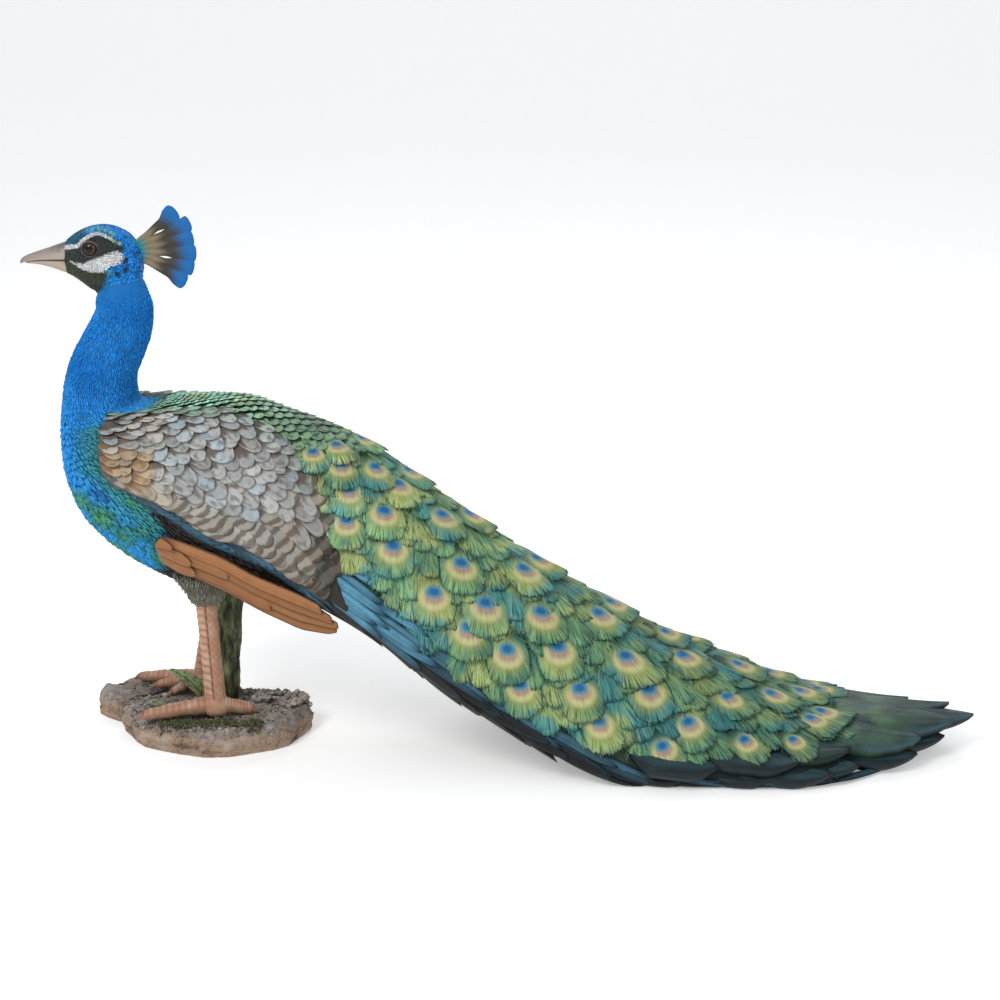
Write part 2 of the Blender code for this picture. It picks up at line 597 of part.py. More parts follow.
def build_foot(
    side_name: str, side: int, ankle: np.ndarray, rock_cutters: Sequence[bpy.types.Object]
) -> None:
    """The foot is a pad under the shank joined with its four toes, cut off along the top of the rock."""
    floor = np.array([ankle[0], ankle[1], BASE_TOP - 0.006])
    pad = limb(
        f"foot_{side_name}", (floor, floor + (0, 0, 0.014), ankle),
        ((0.0150, 0.0130), (0.0140, 0.0120), (SHANK_DEPTH, SHANK_WIDTH)), "leg_skin",
    )
    for number, (forward, outward, radius) in enumerate(TOES):
        root = np.array([ankle[0], ankle[1], TOE_ROOT_Z])
        tip = np.array([ankle[0] + forward, ankle[1] + side * outward, TOE_TIP_Z])
        toe = toe_shape(f"toe_{side_name}_{number + 1}", root, tip, radius)
        joined = pad.modifiers.new(f"with_{toe.name}", "BOOLEAN")
        joined.operation = "UNION"
        joined.solver = "EXACT"
        joined.object = as_cutter(toe)
    for cutter in rock_cutters:
        cut(pad, cutter)


def toe_shape(name: str, root: np.ndarray, tip: np.ndarray, radius: float) -> bpy.types.Object:
    rings = []
    ahead = (tip - root) / np.linalg.norm(tip - root)
    across = np.cross(ahead, (0.0, 0.0, 1.0))
    across /= np.linalg.norm(across)
    up = np.cross(across, ahead)
    for t in (0.0, 0.35, 0.7, 0.92, 1.0):
        swell = 1.0 + 0.08 * math.sin(t * math.pi * 3)
        wide = (radius + (TOE_TIP_RADIUS - radius) * t) * swell * (1.0 if t < 0.95 else 0.45)
        drop = -0.004 * math.sin(math.pi * t) if tip[0] > root[0] else 0.003 * math.sin(math.pi * t)
        centre = root + (tip - root) * t + np.array([0.0, 0.0, drop])
        ring = []
        for k in range(8):
            turn = 2 * math.pi * k / 8
            ring.append(centre + across * wide * math.cos(turn) + up * wide * math.sin(turn))
        rings.append(ring)
    return loft(name, rings, "leg_skin")


def limb(name: str, spine: Sequence[np.ndarray], radii: Sequence[tuple[float, float]], paint_name: str):
    """A tapering limb: each spine point has a radius fore and aft and one across."""
    rings = []
    for at, (deep, wide) in zip(spine, radii):
        ring = []
        for k in range(14):
            turn = 2 * math.pi * k / 14
            ring.append(np.array(at) + np.array([deep * math.cos(turn), wide * math.sin(turn), 0.0]))
        rings.append(ring)
    return loft(name, rings, paint_name)


def rock(
    name: str, centre: tuple[float, float], radii: tuple[float, float], foot: float, top: float, bumps: float,
    paint_name: str, grow: float = 0.0,
) -> bpy.types.Object:
    """A flat-bottomed lump: rings of an uneven oval from its foot up to its top."""
    profile = ((0.95, 0.0), (1.0, 0.30), (0.97, 0.72), (0.90, 0.93), (0.70, 1.0), (0.38, 1.0))
    rings = []
    for share, height in profile:
        ring = []
        side_grow = grow if height < 0.9 else 0.0
        for at, wide in zip(rock_outline(centre, radii, share, 0.0), rock_outline(centre, radii, share, side_grow)):
            z = foot + (top - foot) * height
            if height > 0.0:
                z += bumps * noise.noise(Vector((at[0], at[1], z)) * 38.0) * height
            z += grow * (1.5 if height > 0.0 else -4.0)
            ring.append(wide + (0.0, 0.0, z))
        rings.append(ring)
    return loft(name, rings, paint_name)


def rock_outline(
    centre: tuple[float, float], radii: tuple[float, float], share: float, grow: float
) -> list[np.ndarray]:
    """The plan of a rock: an oval with a slight wobble."""
    outline = []
    for k in range(24):
        turn = 2 * math.pi * k / 24
        wobble = 1.0 + 0.05 * math.sin(3 * turn + 40 * centre[0]) + 0.03 * math.sin(7 * turn + 60 * centre[1])
        x = centre[0] + (radii[0] * share * wobble + grow) * math.cos(turn)
        y = centre[1] + (radii[1] * share * wobble + grow) * math.sin(turn)
        outline.append(np.array([x, y, 0.0]))
    return outline


def rock_wall(centre: tuple[float, float], radii: tuple[float, float]) -> bpy.types.Object:
    """A straight-sided cutter round a rock, so that the rock behind it ends in a plain wall."""
    plan = rock_outline(centre, radii, 1.0, GAP)
    rings = [[at + (0.0, 0.0, z) for at in plan] for z in (-0.02, 0.09)]
    return as_cutter(loft("rock_wall_cutter", rings, "rock"))


def build_base() -> list[bpy.types.Object]:
    front = ("base_front", FRONT_ROCK_CENTRE, FRONT_ROCK_RADII, FLOOR, BASE_TOP, 6 * MM)
    back = ("base_back", BACK_ROCK_CENTRE, BACK_ROCK_RADII, FLOOR, BASE_TOP - 1 * MM, 7 * MM)
    mound = ("rubble", RUBBLE_CENTRE, RUBBLE_RADII, BASE_TOP - 8 * MM, BASE_TOP + 2 * MM, 6 * MM)
    cutters = []
    for shape in (front, back, mound):
        cutters.append(as_cutter(rock(f"{shape[0]}_cutter", *shape[1:], "rock", GAP)))
    rock(*front, "rock")
    cut(rock(*back, "rock"), rock_wall(FRONT_ROCK_CENTRE, FRONT_ROCK_RADII))
    cut(rock(*mound, "rubble"), cutters[0])
    return cutters


def build_plants(body_cutter: bpy.types.Object, rock_cutters: Sequence[bpy.types.Object]) -> None:
    foot = np.array(POST_FOOT)
    head = np.array(POST_HEAD)
    post = limb("stem_post", (foot, foot + (head - foot) * 0.45, head), POST_RADII, "plant")
    post_cutter = as_cutter(limb(
        "stem_post_cutter", (foot, foot + (head - foot) * 0.45, head),
        [(deep + GAP, wide + GAP) for deep, wide in POST_RADII], "plant",
    ))
    cut(post, body_cutter)
    leaf = leaf_plate("leaf", np.array(LEAF_ROOT), np.array(LEAF_TIP), LEAF_WIDTH)
    cut(leaf, post_cutter)
    cut(post, rock_cutters[0])
    cut(leaf, rock_cutters[0])


def leaf_plate(name: str, root: np.ndarray, tip: np.ndarray, width: float) -> bpy.types.Object:
    rings = []
    across = np.array(LEAF_RISE)
    normal = np.cross(tip - root, across)
    normal /= np.linalg.norm(normal)
    for t in (0.0, 0.2, 0.45, 0.7, 0.88, 1.0):
        wide = max(0.5 * width * math.sin(math.pi * (0.18 + 0.80 * t)) ** 0.9, 1.5 * MM)
        thick = 1.5 * MM - 0.6 * MM * t
        centre = root + (tip - root) * t + normal * 0.004 * math.sin(math.pi * t)
        ring = []
        for k in range(10):
            turn = 2 * math.pi * k / 10
            ring.append(centre + across * wide * math.cos(turn) + normal * thick * math.sin(turn))
        rings.append(ring)
    return loft(name, rings, "plant")


def main() -> None:
    clear_scene()
    head_cutter, body_cutter = build_body()
    build_head(head_cutter)
    build_wings(body_cutter)
    build_tips()
    rock_cutters = build_base()
    build_legs(body_cutter, rock_cutters)
    build_plants(body_cutter, rock_cutters)


main()
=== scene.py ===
"""The looks of a painted garden statue of a peacock that stands on a small rock.

The bird faces -X, +Z is up and its left side is -Y, in the frame of the solids. One smooth skin takes the
place of the head, neck, body, train and thighs. Beads, small hair vanes, scales and long vanes lie over it.
Sizes are metres.
"""

import logging
import math
from dataclasses import dataclass, field
from enum import Enum
from typing import Callable, Sequence

import bmesh
import bpy
import numpy as np
from mathutils import Matrix, Vector, noise
from mathutils.bvhtree import BVHTree
from mathutils.kdtree import KDTree


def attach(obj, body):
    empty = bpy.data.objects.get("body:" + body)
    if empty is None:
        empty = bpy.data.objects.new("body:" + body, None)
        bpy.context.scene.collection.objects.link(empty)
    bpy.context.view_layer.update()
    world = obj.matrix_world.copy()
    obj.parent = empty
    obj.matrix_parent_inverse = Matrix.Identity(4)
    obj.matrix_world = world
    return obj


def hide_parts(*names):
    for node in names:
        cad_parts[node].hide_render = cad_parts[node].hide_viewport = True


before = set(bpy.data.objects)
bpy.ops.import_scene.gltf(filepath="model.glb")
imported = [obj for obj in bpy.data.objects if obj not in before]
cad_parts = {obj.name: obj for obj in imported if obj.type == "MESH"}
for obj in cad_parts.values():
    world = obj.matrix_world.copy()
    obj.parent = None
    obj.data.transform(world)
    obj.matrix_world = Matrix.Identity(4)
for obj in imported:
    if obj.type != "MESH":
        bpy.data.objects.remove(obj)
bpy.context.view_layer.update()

logging.basicConfig(level=logging.INFO, format="%(message)s")
log = logging.getLogger("peacock")

MM = 0.001
LEFT = -1
RIGHT = 1
SIDES = ((LEFT, "left"), (RIGHT, "right"))
SKIN_MAP = "OFBake"
PATCH = 0.003

Colour = tuple[float, float, float]


# ---------------------------------------------------------------------------------------------------------
# The form of the body, by the same named sections as the solids
# ---------------------------------------------------------------------------------------------------------


@dataclass(frozen=True)
class Section:
    """One slice of a form: (x, z) of its underside and of its top, half its width, and how round it is."""

    under: tuple[float, float]
    top: tuple[float, float]
    half_width: float
    waist: float = 0.5
    top_round: float = 2.0
    under_round: float = 2.0


BODY_SECTIONS = (
    Section((-0.1190, 0.4960), (-0.0770, 0.5060), 0.0200),
    Section((-0.1250, 0.4780), (-0.0695, 0.4880), 0.0235),
    Section((-0.1262, 0.4640), (-0.0650, 0.4680), 0.0265),
    Section((-0.1400, 0.4390), (-0.0675, 0.4430), 0.0300),
    Section((-0.1530, 0.4150), (-0.0750, 0.4210), 0.0350),
    Section((-0.1605, 0.3900), (-0.0855, 0.3940), 0.0420),
    Section((-0.1645, 0.3560), (-0.0830, 0.3685), 0.0560),
    Section((-0.1655, 0.3240), (-0.0560, 0.3680), 0.0690),
    Section((-0.1610, 0.2850), (-0.0240, 0.3700), 0.0780),
    Section((-0.1430, 0.2420), (0.0080, 0.3720), 0.0820),
    Section((-0.1060, 0.2065), (0.0400, 0.3700), 0.0840),
    Section((-0.0560, 0.1790), (0.0760, 0.3605), 0.0850),
    Section((0.0000, 0.1660), (0.1130, 0.3480), 0.0870),
    Section((0.0620, 0.1590), (0.1540, 0.3290), 0.0930, 0.40),
    Section((0.1200, 0.1540), (0.2000, 0.2975), 0.1040, 0.26, 1.95, 2.6),
    Section((0.1800, 0.1310), (0.2500, 0.2615), 0.1140, 0.15, 1.9, 3.0),
    Section((0.2460, 0.0860), (0.3080, 0.2215), 0.1250, 0.12, 1.85, 3.4),
    Section((0.3140, 0.0470), (0.3660, 0.1850), 0.1310, 0.11, 1.8, 3.6),
    Section((0.3860, 0.0110), (0.4250, 0.1515), 0.1380, 0.10, 1.8, 4.0),
    Section((0.4450, -0.0030), (0.4700, 0.1265), 0.1420, 0.10, 1.8, 4.0),
    Section((0.5300, -0.0030), (0.5400, 0.0955), 0.1440, 0.12, 1.8, 4.4),
    Section((0.6050, -0.0030), (0.6050, 0.0660), 0.1390, 0.14, 1.9, 4.4),
    Section((0.6600, -0.0030), (0.6600, 0.0490), 0.1240, 0.16, 1.9, 4.4),
)
TRAIN_END = len(BODY_SECTIONS) - 1
# Past the end of the train only its pointed feathers go on; the vanes over them follow these.
TIP_SECTIONS = (
    Section((0.7200, 0.0020), (0.7200, 0.0440), 0.1020, 0.2, 1.9, 3.0),
    Section((0.7700, 0.0120), (0.7700, 0.0420), 0.0640, 0.3, 1.9, 2.6),
    Section((0.8080, 0.0300), (0.8080, 0.0400), 0.0200, 0.5, 1.9, 2.0),
)
HEAD_SECTIONS = (
    Section((-0.1555, 0.5035), (-0.1555, 0.5365), 0.0110),
    Section((-0.1480, 0.5005), (-0.1480, 0.5430), 0.0152),
    Section((-0.1390, 0.4945), (-0.1390, 0.5486), 0.0195, 0.5, 2.1, 2.0),
    Section((-0.1270, 0.4860), (-0.1270, 0.5535), 0.0232, 0.55, 2.1, 2.0),
    Section((-0.1140, 0.4830), (-0.1140, 0.5552), 0.0256, 0.55, 2.1, 2.0),
    Section((-0.1000, 0.4840), (-0.1000, 0.5524), 0.0260, 0.5, 2.1, 2.0),
    Section((-0.0880, 0.4880), (-0.0880, 0.5462), 0.0240),
    Section((-0.0790, 0.4960), (-0.0790, 0.5350), 0.0185),
    Section((-0.0735, 0.5070), (-0.0735, 0.5240), 0.0085),
)
BILL_ROOT_X = -0.1558
UPPER_BILL = (
    Section((BILL_ROOT_X + 0.004, 0.5178), (BILL_ROOT_X + 0.004, 0.5374), 0.0112, 0.25, 1.9, 3.0),
    Section((BILL_ROOT_X, 0.5175), (BILL_ROOT_X, 0.5362), 0.0104, 0.25, 1.9, 3.0),
    Section((-0.1700, 0.5172), (-0.1700, 0.5312), 0.0080, 0.25, 1.9, 3.0),
    Section((-0.1850, 0.5164), (-0.1850, 0.5262), 0.0054, 0.25, 1.9, 3.0),
    Section((-0.1980, 0.5146), (-0.1980, 0.5212), 0.0028, 0.3, 2.0, 2.6),
    Section((-0.2034, 0.5126), (-0.2034, 0.5168), 0.0013),
)
LOWER_BILL = (
    Section((BILL_ROOT_X + 0.004, 0.5030), (BILL_ROOT_X + 0.004, 0.5177), 0.0104, 0.75, 3.0, 1.9),
    Section((BILL_ROOT_X, 0.5040), (BILL_ROOT_X, 0.5174), 0.0098, 0.75, 3.0, 1.9),
    Section((-0.1700, 0.5088), (-0.1700, 0.5171), 0.0072, 0.75, 3.0, 1.9),
    Section((-0.1850, 0.5122), (-0.1850, 0.5162), 0.0046, 0.75, 3.0, 1.9),
    Section((-0.1975, 0.5132), (-0.1975, 0.5146), 0.0019, 0.7, 2.6, 2.0),
)
# The wing's upper and lower edge: a section number, and an angle in degrees from the top of the body.
WING_TOP_EDGE = (
    (6.1, 54), (6.5, 40), (6.9, 31), (7.8, 23), (9.0, 22), (10.3, 29), (11.4, 40), (12.4, 57), (13.3, 74),
    (14.3, 94),
)
WING_LOW_EDGE = (
    (6.1, 63), (6.8, 85), (7.35, 96), (7.85, 103), (8.3, 108), (8.9, 107), (9.6, 93), (10.4, 100),
    (11.2, 105), (11.8, 101), (13.1, 110), (14.3, 99),
)
# How high the thighs' feathers end.
KNEE_HEIGHT = 0.160
WING_THICKNESS = 9.0 * MM
WING_RIM = 2.2 * MM


def unit(vectors: np.ndarray, least: float = 1e-9) -> np.ndarray:
    """Vectors made one long, where shorter ones than the least stay short."""
    return vectors / np.maximum(np.linalg.norm(vectors, axis=-1, keepdims=True), least)


class Form:
    """A smooth closed form through sections. A place is a section number, and an angle is from the top."""

    def __init__(self, sections: Sequence[Section]) -> None:
        """Keeps the sections as rows of numbers.

        Args:
            sections: The sections, in order.
        """
        self.rows = np.array(
            [[*s.under, *s.top, s.half_width, s.waist, s.top_round, s.under_round] for s in sections]
        )

    def row(self, place: np.ndarray) -> np.ndarray:
        """Smoothly interpolated section rows.

        Args:
            place: Section numbers, of any shape.

        Returns:
            An array of that shape with one more axis, the eight numbers of a section.
        """
        last = len(self.rows) - 1
        place = np.clip(place, 0.0, last)
        first = np.minimum(place.astype(int), last - 1)
        t = (place - first)[..., None]
        a = self.rows[np.maximum(first - 1, 0)]
        b = self.rows[first]
        c = self.rows[first + 1]
        d = self.rows[np.minimum(first + 2, last)]
        bend = (2 * a - 5 * b + 4 * c - d) * t**2 + (3 * b - 3 * c + d - a) * t**3
        return 0.5 * (2 * b + (c - a) * t + bend)

    def points(self, place: np.ndarray, angle: np.ndarray) -> np.ndarray:
        """Points on the form.

        Args:
            place: Section numbers.
            angle: Angles in radians from the top, positive towards +Y, of a shape that fits place.

        Returns:
            The points, in an array with one more axis.
        """
        place, angle = np.broadcast_arrays(np.asarray(place, float), np.asarray(angle, float))
        row = self.row(place)
        under = np.stack([row[..., 0], np.zeros_like(place), row[..., 1]], -1)
        top = np.stack([row[..., 2], np.zeros_like(place), row[..., 3]], -1)
        rise = top - under
        waist = row[..., 5]
        above = np.cos(angle) > 0.0
        power = 2.0 / np.where(above, row[..., 6], row[..., 7])
        lift = np.sign(np.cos(angle)) * np.abs(np.cos(angle)) ** power
        side = np.sign(np.sin(angle)) * np.abs(np.sin(angle)) ** power
        share = waist + lift * np.where(above, 1.0 - waist, waist)
        made = under + rise * share[..., None]
        made[..., 1] += side * row[..., 4]
        return made


class Hide:
    """A form's measured surface: a place is how far along it, and a reach how far round from the top."""

    def __init__(self, form: Form, last: float, rows: int = 520, steps: int = 181) -> None:
        """Measures the form.

        Args:
            form: The form.
            last: The section number that the hide ends at.
            rows: The number of rings.
            steps: The number of points on half a ring.
        """
        self.form = form
        self.places = np.linspace(0.0, last, rows)
        angles = np.linspace(0.0, math.pi, 721)
        half = form.points(self.places[:, None], angles[None, :])
        half[..., 2] = np.maximum(half[..., 2], 0.0)
        walked = np.concatenate(
            [np.zeros((rows, 1)), np.cumsum(np.linalg.norm(np.diff(half, axis=1), axis=2), axis=1)], axis=1
        )
        self.girth = walked[:, -1]
        self.angles = angles
        self.walked = walked
        share = np.linspace(0.0, 1.0, steps)
        right = np.empty((rows, steps, 3))
        for i in range(rows):
            for axis in range(3):
                right[i, :, axis] = np.interp(share * self.girth[i], walked[i], half[i, :, axis])
        left = right[:, :0:-1] * (1.0, -1.0, 1.0)
        self.grid = np.concatenate([left, right], axis=1)
        self.middle = steps - 1
        along = np.gradient(self.grid, self.places, axis=0)
        around = np.gradient(self.grid, axis=1)
        normal = unit(np.cross(around, along), 1e-12)
        centre = self.grid.mean(axis=1, keepdims=True)
        inward = ((normal * (self.grid - centre)).sum(axis=2) < 0.0).mean(axis=1) > 0.5
        normal[inward] *= -1.0
        self.normals = normal
        self.pace = np.linalg.norm(along, axis=2)

    def _nearest_row(self, place: np.ndarray) -> np.ndarray:
        """The grid row nearest to each place."""
        last = len(self.places) - 1
        return np.clip(np.rint(place / self.places[-1] * last).astype(int), 0, last)

    def _spot(self, place: np.ndarray, reach: np.ndarray) -> tuple[np.ndarray, ...]:
        """The grid cell that holds each place and reach, with the shares of its corners.

        Args:
            place: Section numbers.
            reach: Distances round from the top.

        Returns:
            The numbers of the row and the column, and the shares along and round the cell.
        """
        i = np.clip(place / self.places[-1], 0.0, 1.0) * (len(self.places) - 1)
        i0 = np.minimum(i.astype(int), len(self.places) - 2)
        girth = np.interp(place, self.places, self.girth)
        j = self.middle + np.clip(reach / girth, -1.0, 1.0) * self.middle
        j0 = np.clip(j.astype(int), 0, 2 * self.middle - 1)
        return i0, j0, i - i0, j - j0

    def _blend(self, values: np.ndarray, place: np.ndarray, reach: np.ndarray) -> np.ndarray:
        """Values of the grid, blended between the corners of each cell.

        Args:
            values: A value or a vector for each point of the grid.
            place: Section numbers.
            reach: Distances round from the top.

        Returns:
            A value or a vector for each place.
        """
        i, j, s, t = self._spot(place, reach)
        if values.ndim == 3:
            s, t = s[..., None], t[..., None]
        near = values[i, j] * (1 - t) + values[i, j + 1] * t
        far = values[i + 1, j] * (1 - t) + values[i + 1, j + 1] * t
        return near * (1 - s) + far * s

    def at(self, place: np.ndarray, reach: np.ndarray) -> tuple[np.ndarray, np.ndarray]:
        """The points and the outward normals at places and reaches."""
        return self._blend(self.grid, place, reach), unit(self._blend(self.normals, place, reach))

    def pace_at(self, place: np.ndarray, reach: np.ndarray) -> np.ndarray:
        """How many metres one section number is, at places and reaches."""
        return np.maximum(self._blend(self.pace, place, reach), 0.004)

    def reach_of(self, place: np.ndarray, angle: np.ndarray) -> np.ndarray:
        """The reach of angles, in radians from the top, at places.

        Args:
            place: Section numbers.
            angle: Angles in radians from the top.

        Returns:
            The reaches.
        """
        place, angle = np.broadcast_arrays(np.asarray(place, float), np.asarray(angle, float))
        row = self._nearest_row(place)
        k = np.abs(angle) / math.pi * (len(self.angles) - 1)
        k0 = np.minimum(k.astype(int), len(self.angles) - 2)
        walked = self.walked[row, k0] * (1 - (k - k0)) + self.walked[row, k0 + 1] * (k - k0)
        return np.sign(angle) * walked

    def angle_of(self, place: np.ndarray, reach: np.ndarray) -> np.ndarray:
        """The angles in radians, never negative, of reaches at places.

        Args:
            place: Section numbers.
            reach: Distances round from the top.

        Returns:
            The angles.
        """
        place, reach = np.broadcast_arrays(np.asarray(place, float), np.asarray(reach, float))
        row = self._nearest_row(place)
        made = np.empty(place.shape)
        for index in np.unique(row):
            here = row == index
            made[here] = np.interp(np.abs(reach[here]), self.walked[index], self.angles)
        return made

    def spread(self, place: np.ndarray, reach: np.ndarray) -> np.ndarray:
        """Where places and reaches lie on a flat unwrap of the hide, from 0 to 1 each way."""
        girth = np.interp(place, self.places, self.girth)
        return np.stack([place / self.places[-1], 0.5 + 0.5 * reach / girth], -1)


BODY = Hide(Form(BODY_SECTIONS + TIP_SECTIONS), TRAIN_END + len(TIP_SECTIONS))
HEAD = Hide(Form(HEAD_SECTIONS), len(HEAD_SECTIONS) - 1, 160, 121)


def smooth(value: np.ndarray, low: float, high: float) -> np.ndarray:
    """A soft step from 0 at low to 1 at high, either way round."""
    t = np.clip((np.asarray(value, float) - low) / (high - low), 0.0, 1.0)
    return t * t * (3.0 - 2.0 * t)


def mixed(share: np.ndarray, first: Colour, second: Colour) -> np.ndarray:
    """Colours between two, by a share for each point."""
    share = np.asarray(share, float)[..., None]
    return np.asarray(first) * (1.0 - share) + np.asarray(second) * share


def lay_over(colours: np.ndarray, share: np.ndarray, paint: Colour) -> np.ndarray:
    """Colours with a paint laid over them, by a share for each point."""
    share = np.asarray(share, float)[..., None]
    return colours * (1.0 - share) + np.asarray(paint) * share


def wavy(points: np.ndarray, scale: float, shift: float = 0.0) -> np.ndarray:
    """A slow, smooth pattern from -1 to 1 over points, made of a few crossed waves.

    Args:
        points: The points.
        scale: How many waves there are in a metre, roughly.
        shift: What is added to the scaled points.

    Returns:
        The value of each point.
    """
    p = points * scale + shift
    x, y, z = p[..., 0], p[..., 1], p[..., 2]
    first = np.sin(x * 1.7 + 1.3 * np.sin(z * 1.1 + 2.0)) * np.cos(z * 1.9 + 0.7 * np.sin(y * 2.3))
    second = np.sin(y * 1.3 + 1.9 * np.cos(x * 0.9 + z * 1.4) + 4.0)
    return 0.6 * first + 0.4 * second


def to_line(
    x: np.ndarray, z: np.ndarray, line: Sequence[tuple[float, float]]
) -> tuple[np.ndarray, np.ndarray]:
    """How far points are from a line of stretches in the side view.

    Args:
        x: The points' x.
        z: The points' z.
        line: The line's corners, (x, z) each.

    Returns:
        The distances, and how far along the line the nearest point is, from 0 to 1.
    """
    best = np.full(np.shape(x), 1e9)
    along = np.zeros(np.shape(x))
    for k, ((ax, az), (bx, bz)) in enumerate(zip(line, line[1:])):
        dx, dz = bx - ax, bz - az
        t = np.clip(((x - ax) * dx + (z - az) * dz) / (dx * dx + dz * dz), 0.0, 1.0)
        away = np.hypot(x - ax - dx * t, z - az - dz * t)
        along = np.where(away < best, (k + t) / (len(line) - 1), along)
        best = np.minimum(best, away)
    return best, along


def inside(x: np.ndarray, z: np.ndarray, loop: Sequence[tuple[float, float]], soft: float) -> np.ndarray:
    """1 well inside a loop in the side view and 0 well outside, over a soft margin.

    Args:
        x: The points' x.
        z: The points' z.
        loop: The loop's corners, (x, z) each.
        soft: Half the width of the margin.

    Returns:
        The share of each point.
    """
    closed = list(loop) + [loop[0]]
    within = np.zeros(np.shape(x), bool)
    for (ax, az), (bx, bz) in zip(closed, closed[1:]):
        spans = (az > z) != (bz > z)
        cross = ax + (z - az) / ((bz - az) or 1e-9) * (bx - ax)
        within ^= spans & (x < cross)
    away, _ = to_line(x, z, closed)
    return smooth(np.where(within, away, -away), -soft, soft)


# ---------------------------------------------------------------------------------------------------------
# Paints: shader maths as expressions, and one way to add a node
# ---------------------------------------------------------------------------------------------------------


class Wire:
    """A value in a shader, which can be used in expressions."""

    def __init__(self, recipe: "Recipe", socket: bpy.types.NodeSocket) -> None:
        """Wraps an output socket of a recipe."""
        self.recipe = recipe
        self.socket = socket

    def _maths(self, operation: str, *values: object) -> "Wire":
        """A Math node on these values."""
        return self.recipe.add("ShaderNodeMath", {"operation": operation}, dict(enumerate(values)))

    def __add__(self, other: object) -> "Wire":
        """This plus another."""
        return self._maths("ADD", self, other)

    def __radd__(self, other: object) -> "Wire":
        """A number plus this."""
        return self._maths("ADD", other, self)

    def __sub__(self, other: object) -> "Wire":
        """This less another."""
        return self._maths("SUBTRACT", self, other)

    def __rsub__(self, other: object) -> "Wire":
        """A number less this."""
        return self._maths("SUBTRACT", other, self)

    def __mul__(self, other: object) -> "Wire":
        """This times another."""
        return self._maths("MULTIPLY", self, other)

    def __rmul__(self, other: object) -> "Wire":
        """A number times this."""
        return self._maths("MULTIPLY", other, self)

    def __truediv__(self, other: object) -> "Wire":
        """This over another."""
        return self._maths("DIVIDE", self, other)

    def __pow__(self, other: object) -> "Wire":
        """This to a power."""
        return self._maths("POWER", self, other)

    def size(self) -> "Wire":
        """This without its sign."""
        return self._maths("ABSOLUTE", self)

    def sine(self) -> "Wire":
        """The sine of this."""
        return self._maths("SINE", self)

    def root(self) -> "Wire":
        """The square root of this."""
        return self._maths("SQRT", self)

    def larger(self, other: object) -> "Wire":
        """The larger of this and another."""
        return self._maths("MAXIMUM", self, other)

    def step(self, low: float, high: float) -> "Wire":
        """A soft step of this from 0 at low to 1 at high, either way round.

        Args:
            low: Where the step starts.
            high: Where it ends.

        Returns:
            The step.
        """
        settings = {"interpolation_type": "SMOOTHSTEP", "clamp": True}
        if low < high:
            return self.recipe.add("ShaderNodeMapRange", settings, {0: self, 1: low, 2: high, 3: 0.0, 4: 1.0})
        return self.recipe.add("ShaderNodeMapRange", settings, {0: self, 1: high, 2: low, 3: 1.0, 4: 0.0})


